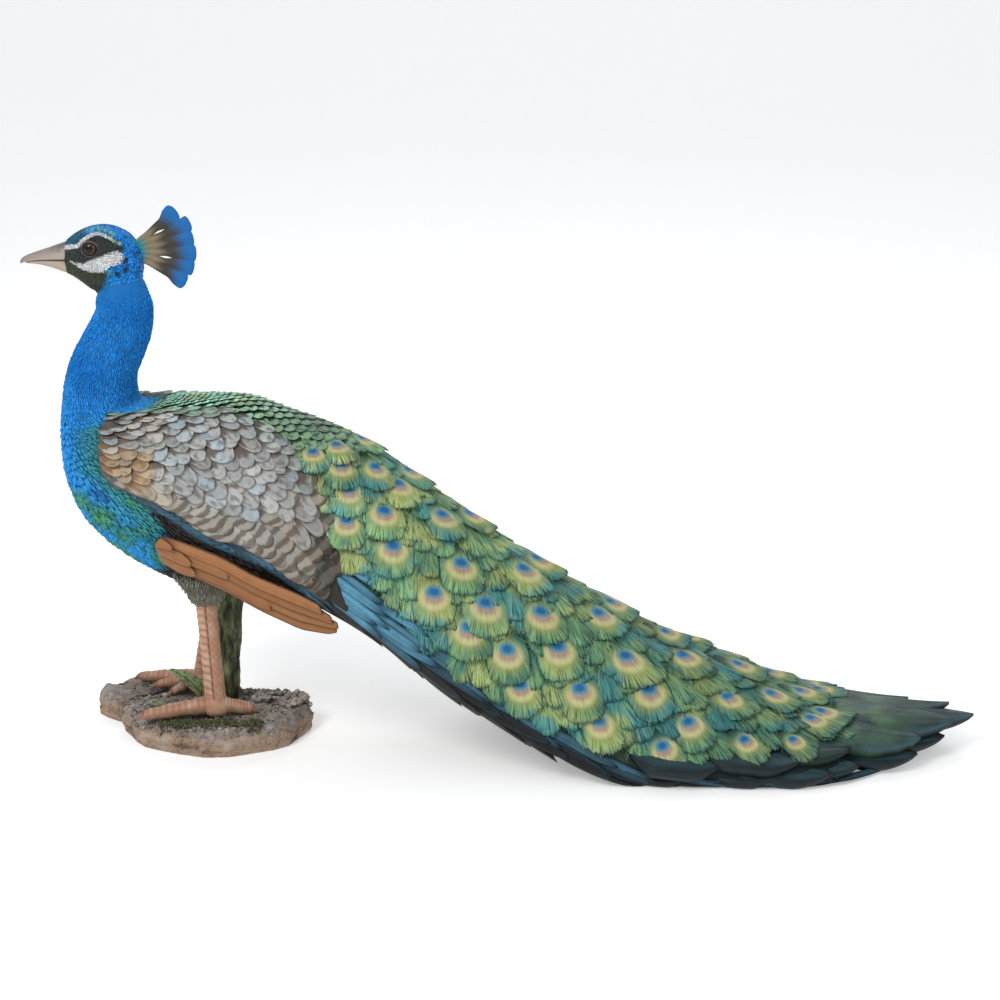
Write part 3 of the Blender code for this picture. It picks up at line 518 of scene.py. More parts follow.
class Recipe:
    """One material's nodes."""

    def __init__(self, name: str) -> None:
        """Starts a material with a Principled shader.

        Args:
            name: The material's name.
        """
        self.material = bpy.data.materials.new(name)
        self.material.use_nodes = True
        self.tree = self.material.node_tree
        self.shader = self.tree.nodes["Principled BSDF"]

    def add(
        self, kind: str, settings: dict[str, object], values: dict[object, object], output: object = 0
    ) -> Wire:
        """Adds a node.

        Args:
            kind: The node's type.
            settings: Its settings, which are set first.
            values: A number, a colour or a wire for each input that is used, by name or number.
            output: The output that is wanted, by name or number.

        Returns:
            That output.
        """
        node = self.tree.nodes.new(kind)
        for key, value in settings.items():
            setattr(node, key, value)
        self.fill(node, values)
        return Wire(self, node.outputs[output])

    def fill(self, node: bpy.types.Node, values: dict[object, object]) -> None:
        """Gives a node's inputs their values, or links them.

        Args:
            node: The node.
            values: A number, a colour or a wire for each input, by name or number.
        """
        for key, value in values.items():
            if isinstance(value, Wire):
                self.tree.links.new(value.socket, node.inputs[key])
            elif isinstance(value, tuple) and node.inputs[key].type == "RGBA":
                node.inputs[key].default_value = (*value[:3], 1.0)
            else:
                node.inputs[key].default_value = value

    def blend(self, share: object, first: object, second: object, way: str = "MIX") -> Wire:
        """A colour between two, by a share, or one laid on the other in another way.

        Args:
            share: How far the second colour counts.
            first: The first colour.
            second: The second colour.
            way: How they are blended.

        Returns:
            The colour.
        """
        return self.add(
            "ShaderNodeMix", {"data_type": "RGBA", "blend_type": way}, {0: share, 6: first, 7: second}, 2
        )

    def lit(self, share: object, colour: object, light: Wire) -> Wire:
        """A colour made lighter or darker by a number, as far as a share says."""
        return self.blend(share, colour, self.vector(light, light, light), "MULTIPLY")

    def stored(self, name: str) -> Wire:
        """A colour kept on the mesh."""
        return self.add("ShaderNodeAttribute", {"attribute_name": name}, {}, "Color")

    def stored_parts(self, name: str) -> tuple[Wire, Wire, Wire]:
        """The three numbers of a vector kept on the mesh."""
        return self.parts(self.add("ShaderNodeAttribute", {"attribute_name": name}, {}, "Vector"))

    def vector(self, x: object, y: object, z: object) -> Wire:
        """A vector from three values."""
        return self.add("ShaderNodeCombineXYZ", {}, {0: x, 1: y, 2: z})

    def place(
        self, scale: tuple[float, float, float] = (1.0, 1.0, 1.0), shift: Colour = (0.0, 0.0, 0.0)
    ) -> Wire:
        """The place on the object, scaled and shifted."""
        where = self.add("ShaderNodeTexCoord", {}, {}, "Object")
        return self.add("ShaderNodeMapping", {}, {"Vector": where, "Scale": scale, "Location": shift})

    def parts(self, vector: Wire) -> tuple[Wire, Wire, Wire]:
        """The three numbers of a vector.

        Args:
            vector: The vector.

        Returns:
            The three numbers.
        """
        node = self.tree.nodes.new("ShaderNodeSeparateXYZ")
        self.fill(node, {0: vector})
        return tuple(Wire(self, socket) for socket in node.outputs)

    def clouds(self, where: Wire, scale: float, detail: float = 2.0, rough: float = 0.5) -> Wire:
        """A soft random pattern from 0 to 1.

        Args:
            where: The place that the pattern is read at.
            scale: How fine it is.
            detail: How many finer layers it has.
            rough: How strong the finer layers are.

        Returns:
            The pattern.
        """
        return self.add(
            "ShaderNodeTexNoise", {}, {"Vector": where, "Scale": scale, "Detail": detail, "Roughness": rough}
        )

    def finish(
        self, colour: object, rough: object, height: Wire | None = None, depth: float = 0.5 * MM,
        coat: float = 0.0, shine: float = 0.22,
    ) -> bpy.types.Material:
        """Sets the shader.

        Args:
            colour: The base colour.
            rough: The roughness.
            height: A relief, or nothing.
            depth: How deep the relief is where it goes from 0 to 1.
            coat: The weight of the clear coat.
            shine: How strongly the paint mirrors the light.

        Returns:
            The material.
        """
        self.fill(self.shader, {"Base Color": colour, "Roughness": rough})
        self.shader.inputs["Specular IOR Level"].default_value = shine
        self.shader.inputs["Coat Weight"].default_value = coat
        self.shader.inputs["Coat Roughness"].default_value = 0.25
        if height is not None:
            bump = self.add("ShaderNodeBump", {}, {"Height": height, "Distance": depth, "Strength": 1.0})
            self.fill(self.shader, {"Normal": bump})
        return self.material


@dataclass(frozen=True)
class HairPaint:
    """Small hair vanes and beads: each has its own tint, with painted shade at their roots and lower sides
    and a fine mottle.
    """

    name: str
    rough: float = 0.5
    root_dark: float = 0.5
    mottle: float = 0.25

    def mix(self) -> bpy.types.Material:
        """Makes the material.

        Returns:
            The material.
        """
        recipe = Recipe(self.name)
        tint = recipe.stored("tint")
        _, v, _ = recipe.stored_parts("vane")
        fine = recipe.clouds(recipe.place(), 900.0, 2.0)
        slow = recipe.clouds(recipe.place(), 60.0, 3.0)
        # Painted shade: darker towards each vane's root and each bead's or stone's lower side.
        shade = (1.0 - self.root_dark) + self.root_dark * v.step(-0.1, 0.55)
        shade = shade * ((1.0 - self.mottle) + 2.0 * self.mottle * slow)
        shade = shade * (0.85 + 0.3 * fine)
        colour = recipe.lit(1.0, tint, shade)
        return recipe.finish(colour, self.rough + 0.15 * (fine - 0.5), fine, 0.15 * MM)


@dataclass(frozen=True)
class ScalePaint:
    """Rounded scale vanes: a tint with brown blotches, painted shade at the rim and root, a pale edge both
    dry-brushed and painted highlight, and fine streaks along the barbs.
    """

    name: str
    rough: float = 0.52
    streak: float = 0.6
    mottle: float = 0.62
    rim_light: float = 0.14

    def mix(self) -> bpy.types.Material:
        """Makes the material.

        Returns:
            The material.
        """
        recipe = Recipe(self.name)
        u, v, seed = recipe.stored_parts("vane")
        tint = recipe.stored("tint")
        rim = recipe.stored("rim")
        barbs = recipe.clouds(recipe.vector(u * 4.5 + v * 1.5, v * 0.9, seed * 40.0), 3.0, 3.0, 0.6)
        blotch = recipe.clouds(recipe.vector(u * 0.8, v * 1.4, seed * 17.0), 2.2, 2.0)
        edge = (u * u + ((v - 0.45).larger(0.0) * 1.75) ** 2.0).root()
        # Painted shade: the rim line and the root go to the rim colour, where the scales overlap.
        rim_shade_line = edge.step(0.93, 1.06)
        root = v.step(0.66, 0.26)
        share = rim_shade_line * 0.45 + root + self.mottle * blotch.step(0.44, 0.66)
        colour = recipe.blend(share.step(0.0, 1.0), tint, rim)
        light = 0.45 + 1.15 * barbs
        light = light * (0.62 + 0.75 * recipe.clouds(recipe.place(), 130.0, 3.0))
        colour = recipe.lit(self.streak, colour, light)
        # A pale edge, like dry-brushed paint, that is also a painted highlight on the raised rim.
        edge_drybrush_and_highlight = (edge - 0.86).size().step(0.20, 0.0) * self.rim_light
        colour = recipe.blend(edge_drybrush_and_highlight, colour, (0.62, 0.62, 0.60))
        return recipe.finish(colour, self.rough + 0.1 * (barbs - 0.5), barbs, 0.35 * MM)


@dataclass(frozen=True)
class BarredPaint:
    """Long barred vanes: uneven brown bars over a cream ground, with a shaft and fine barbs."""

    name: str
    ground: Colour = (0.390, 0.360, 0.310)
    bar: Colour = (0.095, 0.074, 0.060)
    wash: Colour = (0.33, 0.42, 0.46)
    bar_pitch: float = 16.5 * MM

    def mix(self) -> bpy.types.Material:
        """Makes the material.

        Returns:
            The material.
        """
        recipe = Recipe(self.name)
        u, v, seed = recipe.stored_parts("vane")
        _, along, _ = recipe.stored_parts("run")
        tint = recipe.stored("tint")
        barbs = recipe.clouds(recipe.vector(u * 8.0 + v * 5.0, v * 3.0, seed * 40.0), 3.0, 3.0, 0.6)
        wobble = recipe.clouds(recipe.place(), 55.0, 3.0)
        fray = recipe.clouds(recipe.vector(u * 3.0, v * 1.5, seed * 9.0), 3.0, 3.0, 0.6)
        wave = (along * (2.0 * math.pi / self.bar_pitch) + wobble * 6.0 + u.size() * 0.8 + seed * 0.6).sine()
        bars = (wave + (fray - 0.5) * 0.8).step(-0.55, 0.75)
        ground = recipe.blend(wobble.step(0.50, 0.68) * 0.55, self.ground, self.wash)
        colour = recipe.blend(bars * 0.78, ground, self.bar)
        colour = recipe.blend(1.0, colour, tint, "MULTIPLY")
        light = 0.75 + 0.55 * barbs
        colour = recipe.lit(0.4, colour, light)
        shaft = u.size().step(0.07, 0.0) * v.step(1.0, 0.6)
        colour = recipe.blend(shaft * 0.35, colour, (0.22, 0.17, 0.13))
        rim = u.size().step(0.80, 1.0)
        colour = recipe.blend(rim * 0.5, colour, (0.10, 0.075, 0.06))
        return recipe.finish(colour, 0.52, barbs + shaft, 0.4 * MM)


@dataclass(frozen=True)
class TrainPaint:
    """Train vanes: a blue and cyan spot over a brown patch and a yellow crescent, on streaked green barbs."""

    name: str
    deep_green: Colour = (0.055, 0.160, 0.085)
    leaf_green: Colour = (0.170, 0.330, 0.120)
    olive: Colour = (0.310, 0.370, 0.105)
    teal: Colour = (0.030, 0.210, 0.190)
    line: Colour = (0.012, 0.024, 0.020)
    gold: Colour = (0.270, 0.300, 0.075)
    yellow: Colour = (0.600, 0.550, 0.270)
    brown: Colour = (0.370, 0.240, 0.195)
    cyan: Colour = (0.040, 0.270, 0.400)
    blue: Colour = (0.010, 0.105, 0.300)

    def mix(self) -> bpy.types.Material:
        """Makes the material.

        Returns:
            The material.
        """
        recipe = Recipe(self.name)
        u, v, seed = recipe.stored_parts("vane")
        ex, ey, strength = recipe.stored_parts("spot")
        tint = recipe.stored("tint")
        fan = ex / (ey + 1.45).larger(0.30)
        hairs = recipe.clouds(recipe.vector(fan * 8.5, ey * 0.22, seed * 60.0), 3.0, 3.0, 0.62)
        locks = recipe.clouds(recipe.vector(fan * 2.2, v * 0.8, seed * 23.0), 2.4, 2.0, 0.5)
        slow = recipe.clouds(recipe.place(), 26.0, 2.0)
        green = recipe.blend(locks.step(0.32, 0.66), self.deep_green, self.leaf_green)
        green = recipe.blend(slow.step(0.48, 0.62) * 0.8, green, self.olive)
        cool = recipe.clouds(recipe.place(shift=(0.3, 0.1, 0.2)), 21.0, 2.0).step(0.50, 0.64) * 0.8
        teal = cool.larger((u.size().step(0.62, 1.05) + v.step(0.84, 1.04)) * 0.55)
        green = recipe.blend(teal, green, self.teal)
        green = recipe.blend(1.0, green, tint, "MULTIPLY")
        warp = (hairs - 0.5) * 0.34

        def ring(wide: float, tall: float, down: float) -> Wire:
            """How far out a point is, where 1 is on an ellipse."""
            return ((ex * ex) / wide**2 + ((ey - down) * (ey - down)) / tall**2).root() + warp

        halo = ring(1.60, 1.30, 0.22).step(1.10, 0.55)
        colour = recipe.blend(halo * strength * 0.65, green, self.gold)
        below = ey.step(-0.70, 0.20)
        crescent = ring(1.02, 0.84, 0.10).step(1.22, 0.80) * (0.50 + 0.50 * below)
        colour = recipe.blend(crescent * strength * 0.80, colour, self.yellow)
        inner = ring(0.70, 0.50, 0.08).step(1.25, 0.60)
        colour = recipe.blend(inner * strength * 0.90, colour, self.brown)
        spot = ring(0.62, 0.44, -0.26)
        colour = recipe.blend(spot.step(1.20, 0.75) * strength * 0.85, colour, self.cyan)
        colour = recipe.blend(spot.step(0.80, 0.30) * strength * 0.90, colour, self.blue)
        notch = (ex.size() * 9.0 + (ey + 0.70).size() * 4.2).step(1.0, 0.3)
        colour = recipe.blend(notch * strength * 0.5, colour, self.line)
        lines = hairs.step(0.50, 0.40) * (1.0 - halo * strength * 0.72)
        fringe = v.step(0.30, 0.95) * 0.25 + 0.55
        colour = recipe.blend(lines * fringe, colour, self.line)
        light = hairs.step(0.54, 0.68) * (1.0 - spot.step(1.3, 1.0) * strength) * 0.28
        colour = recipe.blend(light, colour, (0.40, 0.50, 0.36))
        # Painted shade round each vane's edge and tip, and at its root, where it meets the vanes around it.
        edge = (u.size() * (0.6 + 0.4 * v)).step(0.66, 1.0) * 0.55
        colour = recipe.blend(edge.larger(v.step(0.86, 1.0) * 0.30), colour, self.line)
        shaded_root = v.step(0.34, 0.05) * (1.0 - halo * strength * 0.8)
        colour = recipe.blend(shaded_root * 0.80, colour, self.line)
        return recipe.finish(colour, 0.50 + 0.12 * (hairs - 0.5), hairs, 0.9 * MM)


@dataclass(frozen=True)
class BladePaint:
    """Long smooth vanes: a tint that turns to a rim colour at the edge, a shaft and fine slanting barbs."""

    name: str
    rough: float = 0.5
    rim_from: float = 0.62
    streak: float = 0.35
    mottle: float = 0.25

    def mix(self) -> bpy.types.Material:
        """Makes the material.

        Returns:
            The material.
        """
        recipe = Recipe(self.name)
        u, v, seed = recipe.stored_parts("vane")
        tint = recipe.stored("tint")
        rim = recipe.stored("rim")
        barbs = recipe.clouds(recipe.vector(u.size() * 4.0 - v * 26.0, u * 1.5, seed * 40.0), 2.0, 3.0, 0.6)
        slow = recipe.clouds(recipe.place(), 70.0, 3.0)
        edge = u.size().larger((v - 0.55) * 2.1)
        share = edge.step(self.rim_from, 1.02)
        colour = recipe.blend(share, tint, rim)
        shaft = u.size().step(0.06, 0.0)
        light = (0.78 + 0.5 * barbs) * ((1.0 - self.mottle) + 2.0 * self.mottle * slow)
        colour = recipe.lit(self.streak, colour, light)
        return recipe.finish(colour, self.rough, barbs + shaft * 1.5, 0.3 * MM, 0.05)


@dataclass(frozen=True)
class SkinPaint:
    """The skin between the vanes: the vanes' own colours, darker as painted shade, with a fine grain."""

    name: str = "painted_skin"

    def mix(self) -> bpy.types.Material:
        """Makes the material.

        Returns:
            The material.
        """
        recipe = Recipe(self.name)
        tint = recipe.stored("tint")
        grain = recipe.clouds(recipe.place(), 500.0, 3.0)
        # Painted shade: the skin is darker than the vanes over it.
        shade = 0.45 + 0.5 * grain
        colour = recipe.lit(1.0, tint, shade)
        return recipe.finish(colour, 0.62, grain, 0.4 * MM)


@dataclass(frozen=True)
class PlumePaint:
    """The crest: turquoise at the root, then tan and dark brown, with blue round tips."""

    name: str = "painted_crest"
    root: Colour = (0.030, 0.270, 0.300)
    tan: Colour = (0.235, 0.190, 0.120)
    dark: Colour = (0.030, 0.030, 0.026)
    tip: Colour = (0.005, 0.125, 0.385)

    def mix(self) -> bpy.types.Material:
        """Makes the material.

        Returns:
            The material.
        """
        recipe = Recipe(self.name)
        u, v, seed = recipe.stored_parts("vane")
        barbs = recipe.clouds(recipe.vector(u * 5.0, v * 2.2, seed * 30.0), 3.0, 3.0, 0.6)
        warp = (barbs - 0.5) * 0.10
        colour = recipe.blend((v + warp).step(0.10, 0.27), self.root, self.tan)
        darker = (v + warp + u.size() * 0.12).step(0.36, 0.62)
        colour = recipe.blend(darker * 0.93, colour, self.dark)
        tip = (v + warp * 0.8 + (u - 0.2) * 0.05).step(0.62, 0.90)
        colour = recipe.blend(tip, colour, self.tip)
        light = 0.72 + 0.56 * barbs
        colour = recipe.lit(0.45, colour, light)
        return recipe.finish(colour, 0.48, barbs, 0.4 * MM, 0.05)


@dataclass(frozen=True)
class HornPaint:
    """The bill: a warm grey-beige horn, darker on its ridge and at its root, with faint long streaks."""

    name: str = "painted_horn"
    pale: Colour = (0.37, 0.310, 0.270)
    dark: Colour = (0.095, 0.085, 0.085)
    tan: Colour = (0.40, 0.305, 0.205)

    def mix(self) -> bpy.types.Material:
        """Makes the material.

        Returns:
            The material.
        """
        recipe = Recipe(self.name)
        x, _, z = recipe.parts(recipe.place())
        streaks = recipe.clouds(recipe.place((60.0, 400.0, 400.0)), 1.0, 3.0)
        ridge = (z - (x - BILL_ROOT_X) * 0.36).step(0.5235, 0.5350)
        root = x.step(-0.1780, -0.1560)
        colour = recipe.blend(z.step(0.5180, 0.5120) * 0.55, self.pale, self.tan)
        colour = recipe.blend(ridge * (0.35 + 0.5 * root), colour, self.dark)
        colour = recipe.blend(x.step(-0.196, -0.204) * 0.4, colour, self.dark)
        light = 0.8 + 0.4 * streaks
        colour = recipe.lit(0.5, colour, light)
        return recipe.finish(colour, 0.36 + 0.1 * streaks, streaks, 0.2 * MM, 0.2, 0.4)


@dataclass(frozen=True)
class EyePaint:
    """A glossy painted eye: a black pupil in a brown iris, dark at its rim."""

    name: str
    centre: tuple[float, float, float]
    pupil: float = 4.7 * MM
    iris: float = 7.0 * MM

    def mix(self) -> bpy.types.Material:
        """Makes the material.

        Returns:
            The material.
        """
        recipe = Recipe(self.name)
        x, _, z = recipe.parts(recipe.place(shift=tuple(-c for c in self.centre)))
        away = ((x + 0.0006) * (x + 0.0006) + z * z).root()
        fleck = recipe.clouds(recipe.place(), 900.0, 3.0)
        iris = recipe.blend(fleck.step(0.35, 0.65), (0.040, 0.018, 0.012), (0.125, 0.062, 0.042))
        iris = recipe.blend(away.step(self.iris * 0.72, self.iris), iris, (0.015, 0.010, 0.008))
        colour = recipe.blend(away.step(self.pupil * 1.06, self.pupil * 0.94), iris, (0.002, 0.002, 0.002))
        return recipe.finish(colour, 0.10, coat=0.25, shine=0.20)


@dataclass(frozen=True)
class LegPaint:
    """Scaly legs: pinkish brown plates, paler where they are worn, with painted shade from the tint in their
    seams and creases.
    """

    name: str = "painted_legs"
    plate: Colour = (0.43, 0.225, 0.140)
    pale: Colour = (0.53, 0.37, 0.27)

    def mix(self) -> bpy.types.Material:
        """Makes the material.

        Returns:
            The material.
        """
        recipe = Recipe(self.name)
        tint = recipe.stored("tint")
        slow = recipe.clouds(recipe.place(), 90.0, 3.0)
        fine = recipe.clouds(recipe.place(), 700.0, 3.0)
        colour = recipe.blend(slow.step(0.4, 0.7) * 0.7, self.plate, self.pale)
        colour = recipe.blend(1.0, colour, tint, "MULTIPLY")
        light = 0.8 + 0.4 * fine
        colour = recipe.lit(0.5, colour, light)
        return recipe.finish(colour, 0.5, fine, 0.55 * MM)


@dataclass(frozen=True)
class StonePaint:
    """Cast rock: a mottled top with a lichen dust, tan sides, dark cracks and pits, painted shade in its
    hollows and a painted highlight on its raised parts.
    """

    name: str
    top: Colour = (0.255, 0.215, 0.190)
    side: Colour = (0.320, 0.225, 0.160)
    crack: Colour = (0.045, 0.032, 0.026)
    moss: Colour = (0.115, 0.120, 0.040)
    moss_share: float = 0.5

    def mix(self) -> bpy.types.Material:
        """Makes the material.

        Returns:
            The material.
        """
        recipe = Recipe(self.name)
        _, _, z = recipe.parts(recipe.place())
        hollow_shade, raised, _ = recipe.stored_parts("relief")
        slow = recipe.clouds(recipe.place(), 38.0, 4.0, 0.6)
        fine = recipe.clouds(recipe.place(), 420.0, 4.0, 0.65)
        strata = recipe.clouds(recipe.place((18.0, 18.0, 170.0)), 1.0, 3.0, 0.6)
        colour = recipe.blend((z + (slow - 0.5) * 0.012).step(0.016, 0.027), self.side, self.top)
        colour = recipe.blend(strata.step(0.50, 0.70) * 0.45, colour, (0.39, 0.30, 0.23))
        dust = recipe.clouds(recipe.place(shift=(0.2, 0.4, 0.1)), 75.0, 3.0, 0.6).step(0.50, 0.62)
        colour = recipe.blend(dust * z.step(0.014, 0.026) * 0.55, colour, (0.40, 0.40, 0.40))
        colour = recipe.blend(
            slow.step(0.56, 0.70) * z.step(0.020, 0.030) * self.moss_share, colour, self.moss
        )
        colour = recipe.blend(fine.step(0.50, 0.34) * 0.65, colour, self.crack)
        # Painted shade in the hollows and cracks, and a painted highlight on the raised parts.
        colour = recipe.blend(hollow_shade * 0.85, colour, self.crack)
        colour = recipe.blend(raised * 0.45, colour, (0.47, 0.40, 0.34))
        return recipe.finish(colour, 0.78, fine * 0.7 + strata * 0.3, 0.9 * MM)


@dataclass(frozen=True)
class PlantPaint:
    """Painted leaves and stems: a tinted green with darker blotches and a fine grain."""

    name: str
    light: Colour = (0.165, 0.205, 0.075)
    dark: Colour = (0.028, 0.038, 0.016)
    scale: float = 110.0
    stretch: float = 0.35

    def mix(self) -> bpy.types.Material:
        """Makes the material.

        Returns:
            The material.
        """
        recipe = Recipe(self.name)
        blotch = recipe.clouds(recipe.place((1.0, 1.0, self.stretch)), self.scale, 4.0, 0.6)
        fine = recipe.clouds(recipe.place((1.0, 1.0, 0.3)), 800.0, 3.0)
        tint = recipe.stored("tint")
        colour = recipe.blend(blotch.step(0.38, 0.62), self.dark, self.light)
        colour = recipe.blend(1.0, colour, tint, "MULTIPLY")
        light = 0.7 + 0.6 * fine
        colour = recipe.lit(0.5, colour, light)
        return recipe.finish(colour, 0.55, blotch + fine * 0.5, 0.5 * MM)


@dataclass(frozen=True)
class FloorPaint:
    """The plain pale floor."""

    name: str = "studio_floor"
    glow: float = 0.32

    def mix(self) -> bpy.types.Material:
        """Makes the material.

        Returns:
            The material.
        """
        recipe = Recipe(self.name)
        recipe.fill(recipe.shader, {"Emission Color": (1.0, 1.0, 1.0), "Emission Strength": self.glow})
        return recipe.finish((0.9, 0.9, 0.9), 0.9)


# ---------------------------------------------------------------------------------------------------------
# Pieces: meshes from numbers, vanes that follow a hide, and small shapes stood on a cloud of points
# ---------------------------------------------------------------------------------------------------------


@dataclass
class Shape:
    """A mesh as numbers, with colours and vectors kept on its points."""

    points: np.ndarray
    quads: np.ndarray = field(default_factory=lambda: np.zeros((0, 4), int))
    triangles: np.ndarray = field(default_factory=lambda: np.zeros((0, 3), int))
    colours: dict[str, np.ndarray] = field(default_factory=dict)
    vectors: dict[str, np.ndarray] = field(default_factory=dict)

    def joined(self, other: "Shape") -> "Shape":
        """This shape and another as one. Both keep the same colours and vectors.

        Args:
            other: The other shape.

        Returns:
            The joined shape.
        """
        shift = len(self.points)
        return Shape(
            np.concatenate([self.points, other.points]),
            np.concatenate([self.quads, other.quads + shift]),
            np.concatenate([self.triangles, other.triangles + shift]),
            {k: np.concatenate([v, other.colours[k]]) for k, v in self.colours.items()},
            {k: np.concatenate([v, other.vectors[k]]) for k, v in self.vectors.items()},
        )

    def mesh(self, name: str) -> bpy.types.Mesh:
        """Makes the mesh, smooth shaded, with its colours and vectors.

        Args:
            name: The mesh's name.

        Returns:
            The mesh.
        """
        made = bpy.data.meshes.new(name)
        counts = np.repeat([4, 3], [len(self.quads), len(self.triangles)]).astype(np.int32)
        corners = np.concatenate([self.quads.ravel(), self.triangles.ravel()]).astype(np.int32)
        made.vertices.add(len(self.points))
        made.vertices.foreach_set("co", self.points.astype(np.float32).ravel())
        made.loops.add(len(corners))
        made.loops.foreach_set("vertex_index", corners)
        made.polygons.add(len(counts))
        starts = np.concatenate([[0], np.cumsum(counts)[:-1]]).astype(np.int32)
        made.polygons.foreach_set("loop_start", starts)
        made.polygons.foreach_set("use_smooth", np.ones(len(counts), bool))
        made.update(calc_edges=True)
        made.validate()
        keep_numbers(made, self.colours, self.vectors)
        return made


def keep_numbers(
    mesh: bpy.types.Mesh, colours: dict[str, np.ndarray], vectors: dict[str, np.ndarray]
) -> None:
    """Keeps colours and vectors on a mesh's points.

    Args:
        mesh: The mesh.
        colours: A colour for each point, under each name.
        vectors: A vector for each point, under each name.
    """
    for name, values in colours.items():
        kept = mesh.attributes.new(name, "FLOAT_COLOR", "POINT")
        full = np.concatenate([values, np.ones((len(values), 1))], axis=1)
        kept.data.foreach_set("color", full.astype(np.float32).ravel())
    for name, values in vectors.items():
        kept = mesh.attributes.new(name, "FLOAT_VECTOR", "POINT")
        kept.data.foreach_set("vector", values.astype(np.float32).ravel())


def read_vectors(mesh: bpy.types.Mesh, name: str) -> np.ndarray:
    """The vectors that a mesh keeps on its points under a name.

    Args:
        mesh: The mesh.
        name: The name.

    Returns:
        A vector for each point.
    """
    values = np.empty(len(mesh.vertices) * 3, np.float32)
    mesh.attributes[name].data.foreach_get("vector", values)
    return values.reshape(-1, 3)


def spread_map(mesh: bpy.types.Mesh, flat: np.ndarray) -> None:
    """Gives a mesh the map for its baked colours.

    Args:
        mesh: The mesh.
        flat: Where each of its points lies on the map, from 0 to 1 each way.
    """
    corners = np.empty(len(mesh.loops), np.int32)
    mesh.loops.foreach_get("vertex_index", corners)
    layer = mesh.uv_layers.new(name=SKIN_MAP)
    layer.data.foreach_set("uv", np.clip(flat, 0.0005, 0.9995).astype(np.float32)[corners].ravel())


def add_piece(name: str, mesh: bpy.types.Mesh, paint: bpy.types.Material, slot: str) -> bpy.types.Object:
    """Puts a mesh into the scene as a piece of the statue.

    Args:
        name: The piece's name.
        mesh: Its mesh, in place.
        paint: Its material.
        slot: Not used.

    Returns:
        The piece.
    """
    mesh.name = name
    mesh.materials.clear()
    mesh.materials.append(paint)
    piece = bpy.data.objects.new(name, mesh)
    bpy.context.scene.collection.objects.link(piece)
    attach(piece, "root")
    log.info("%s: %d faces", name, len(mesh.polygons))
    return piece


def add_shape(
    name: str, shape: Shape, flat: np.ndarray, paint: bpy.types.Material, slot: str, outwards: bool = False
) -> bpy.types.Object:
    """Puts a shape into the scene as a piece with its map.

    Args:
        name: The piece's name.
        shape: The shape.
        flat: Where its points lie on the map.
        paint: Its material.
        slot: A slot name, which is passed on.
        outwards: Whether its faces are turned to point out of it first.

    Returns:
        The piece.
    """
    mesh = shape.mesh(name)
    if outwards:
        point_outwards(mesh)
    spread_map(mesh, flat)
    return add_piece(name, mesh, paint, slot)


@dataclass
class Lay:
    """Where vanes lie on a hide, with an entry for each. A turn is from the tail's way to the underside."""

    place: np.ndarray
    reach: np.ndarray
    turn: np.ndarray
    length: np.ndarray
    width: np.ndarray
    side: np.ndarray
    seed: np.ndarray
    tint: np.ndarray
    rim: np.ndarray
    lift: np.ndarray
    strength: np.ndarray

    def picked(self, keep: np.ndarray) -> "Lay":
        """Only some of the vanes."""
        return Lay(**{name: value[keep] for name, value in vars(self).items()})

    def count(self) -> int:
        """The number of vanes."""
        return len(self.place)


def make_lay(
    place: Sequence[float], reach: Sequence[float], turn: object, length: object, width: object, side: object,
    rng: np.random.Generator, tint: object = (1.0, 1.0, 1.0), rim: object = (0.1, 0.1, 0.1),
    lift: object = 0.0,
    strength: object = 0.0,
) -> Lay:
    """A lay from arrays or single values.

    Args:
        place: Section numbers of the roots.
        reach: Distances round from the top, in metres, never negative.
        turn: Angles in radians from the tail's direction.
        length: Lengths.
        width: Widths.
        side: LEFT or RIGHT.
        rng: Where each vane's own number comes from.
        tint: Colours.
        rim: Colours of the rims.
        lift: How far above the hide each root starts.
        strength: How clear each vane's painted eye is.

    Returns:
        The lay.
    """
    place = np.asarray(place, float)
    count = len(place)

    def full(value: object, *more: int) -> np.ndarray:
        """An array with an entry for each vane."""
        return np.broadcast_to(np.asarray(value, float), (count, *more)).copy()

    return Lay(
        place, full(reach), full(turn), full(length), full(width), full(side), rng.random(count),
        full(tint, 3), full(rim, 3), full(lift), full(strength),
    )


def both_sides(lay: Lay) -> Lay:
    """The same vanes on both sides, with their own numbers on the right.

    Args:
        lay: The vanes of one side.

    Returns:
        The vanes of both sides.
    """
    twin = Lay(**{name: value.copy() for name, value in vars(lay).items()})
    twin.side = -lay.side
    twin.seed = (lay.seed * 7.31 + 0.37) % 1.0
    return Lay(**{name: np.concatenate([vars(lay)[name], vars(twin)[name]]) for name in vars(lay)})


@dataclass(frozen=True)
class VaneCut:
    """How one kind of vane is shaped."""

    columns: int = 6
    rows: int = 6
    root_width: float = 0.62
    tip_width: float = 0.72
    belly: float = 0.62
    tip_drop: float = 0.42
    tip_power: float = 2.2
    fringe: float = 0.0
    root_sink: float = 1.5 * MM
    tip_lift: float = 2.0 * MM
    rise: float = 1.0
    camber: float = 0.9 * MM
    thickness: float = 1.1 * MM
    groove: float = 0.0
    shaft: float = 0.0
    curl: float = 0.0
    eye_at: float = 0.5
    eye_size: float = 0.30


def half_widths(cut: VaneCut, v: np.ndarray) -> np.ndarray:
    """Half the width of a vane along its length, as a share of half its full width.

    Args:
        cut: The vanes' shape.
        v: Shares of the length, from the root.

    Returns:
        A share for each.
    """
    before = cut.root_width + (1.0 - cut.root_width) * np.sin(0.5 * math.pi * np.clip(v / cut.belly, 0, 1))
    after = 1.0 - (1.0 - cut.tip_width) * np.clip((v - cut.belly) / (1.0 - cut.belly), 0, 1) ** 2.0
    return np.where(v < cut.belly, before, after)


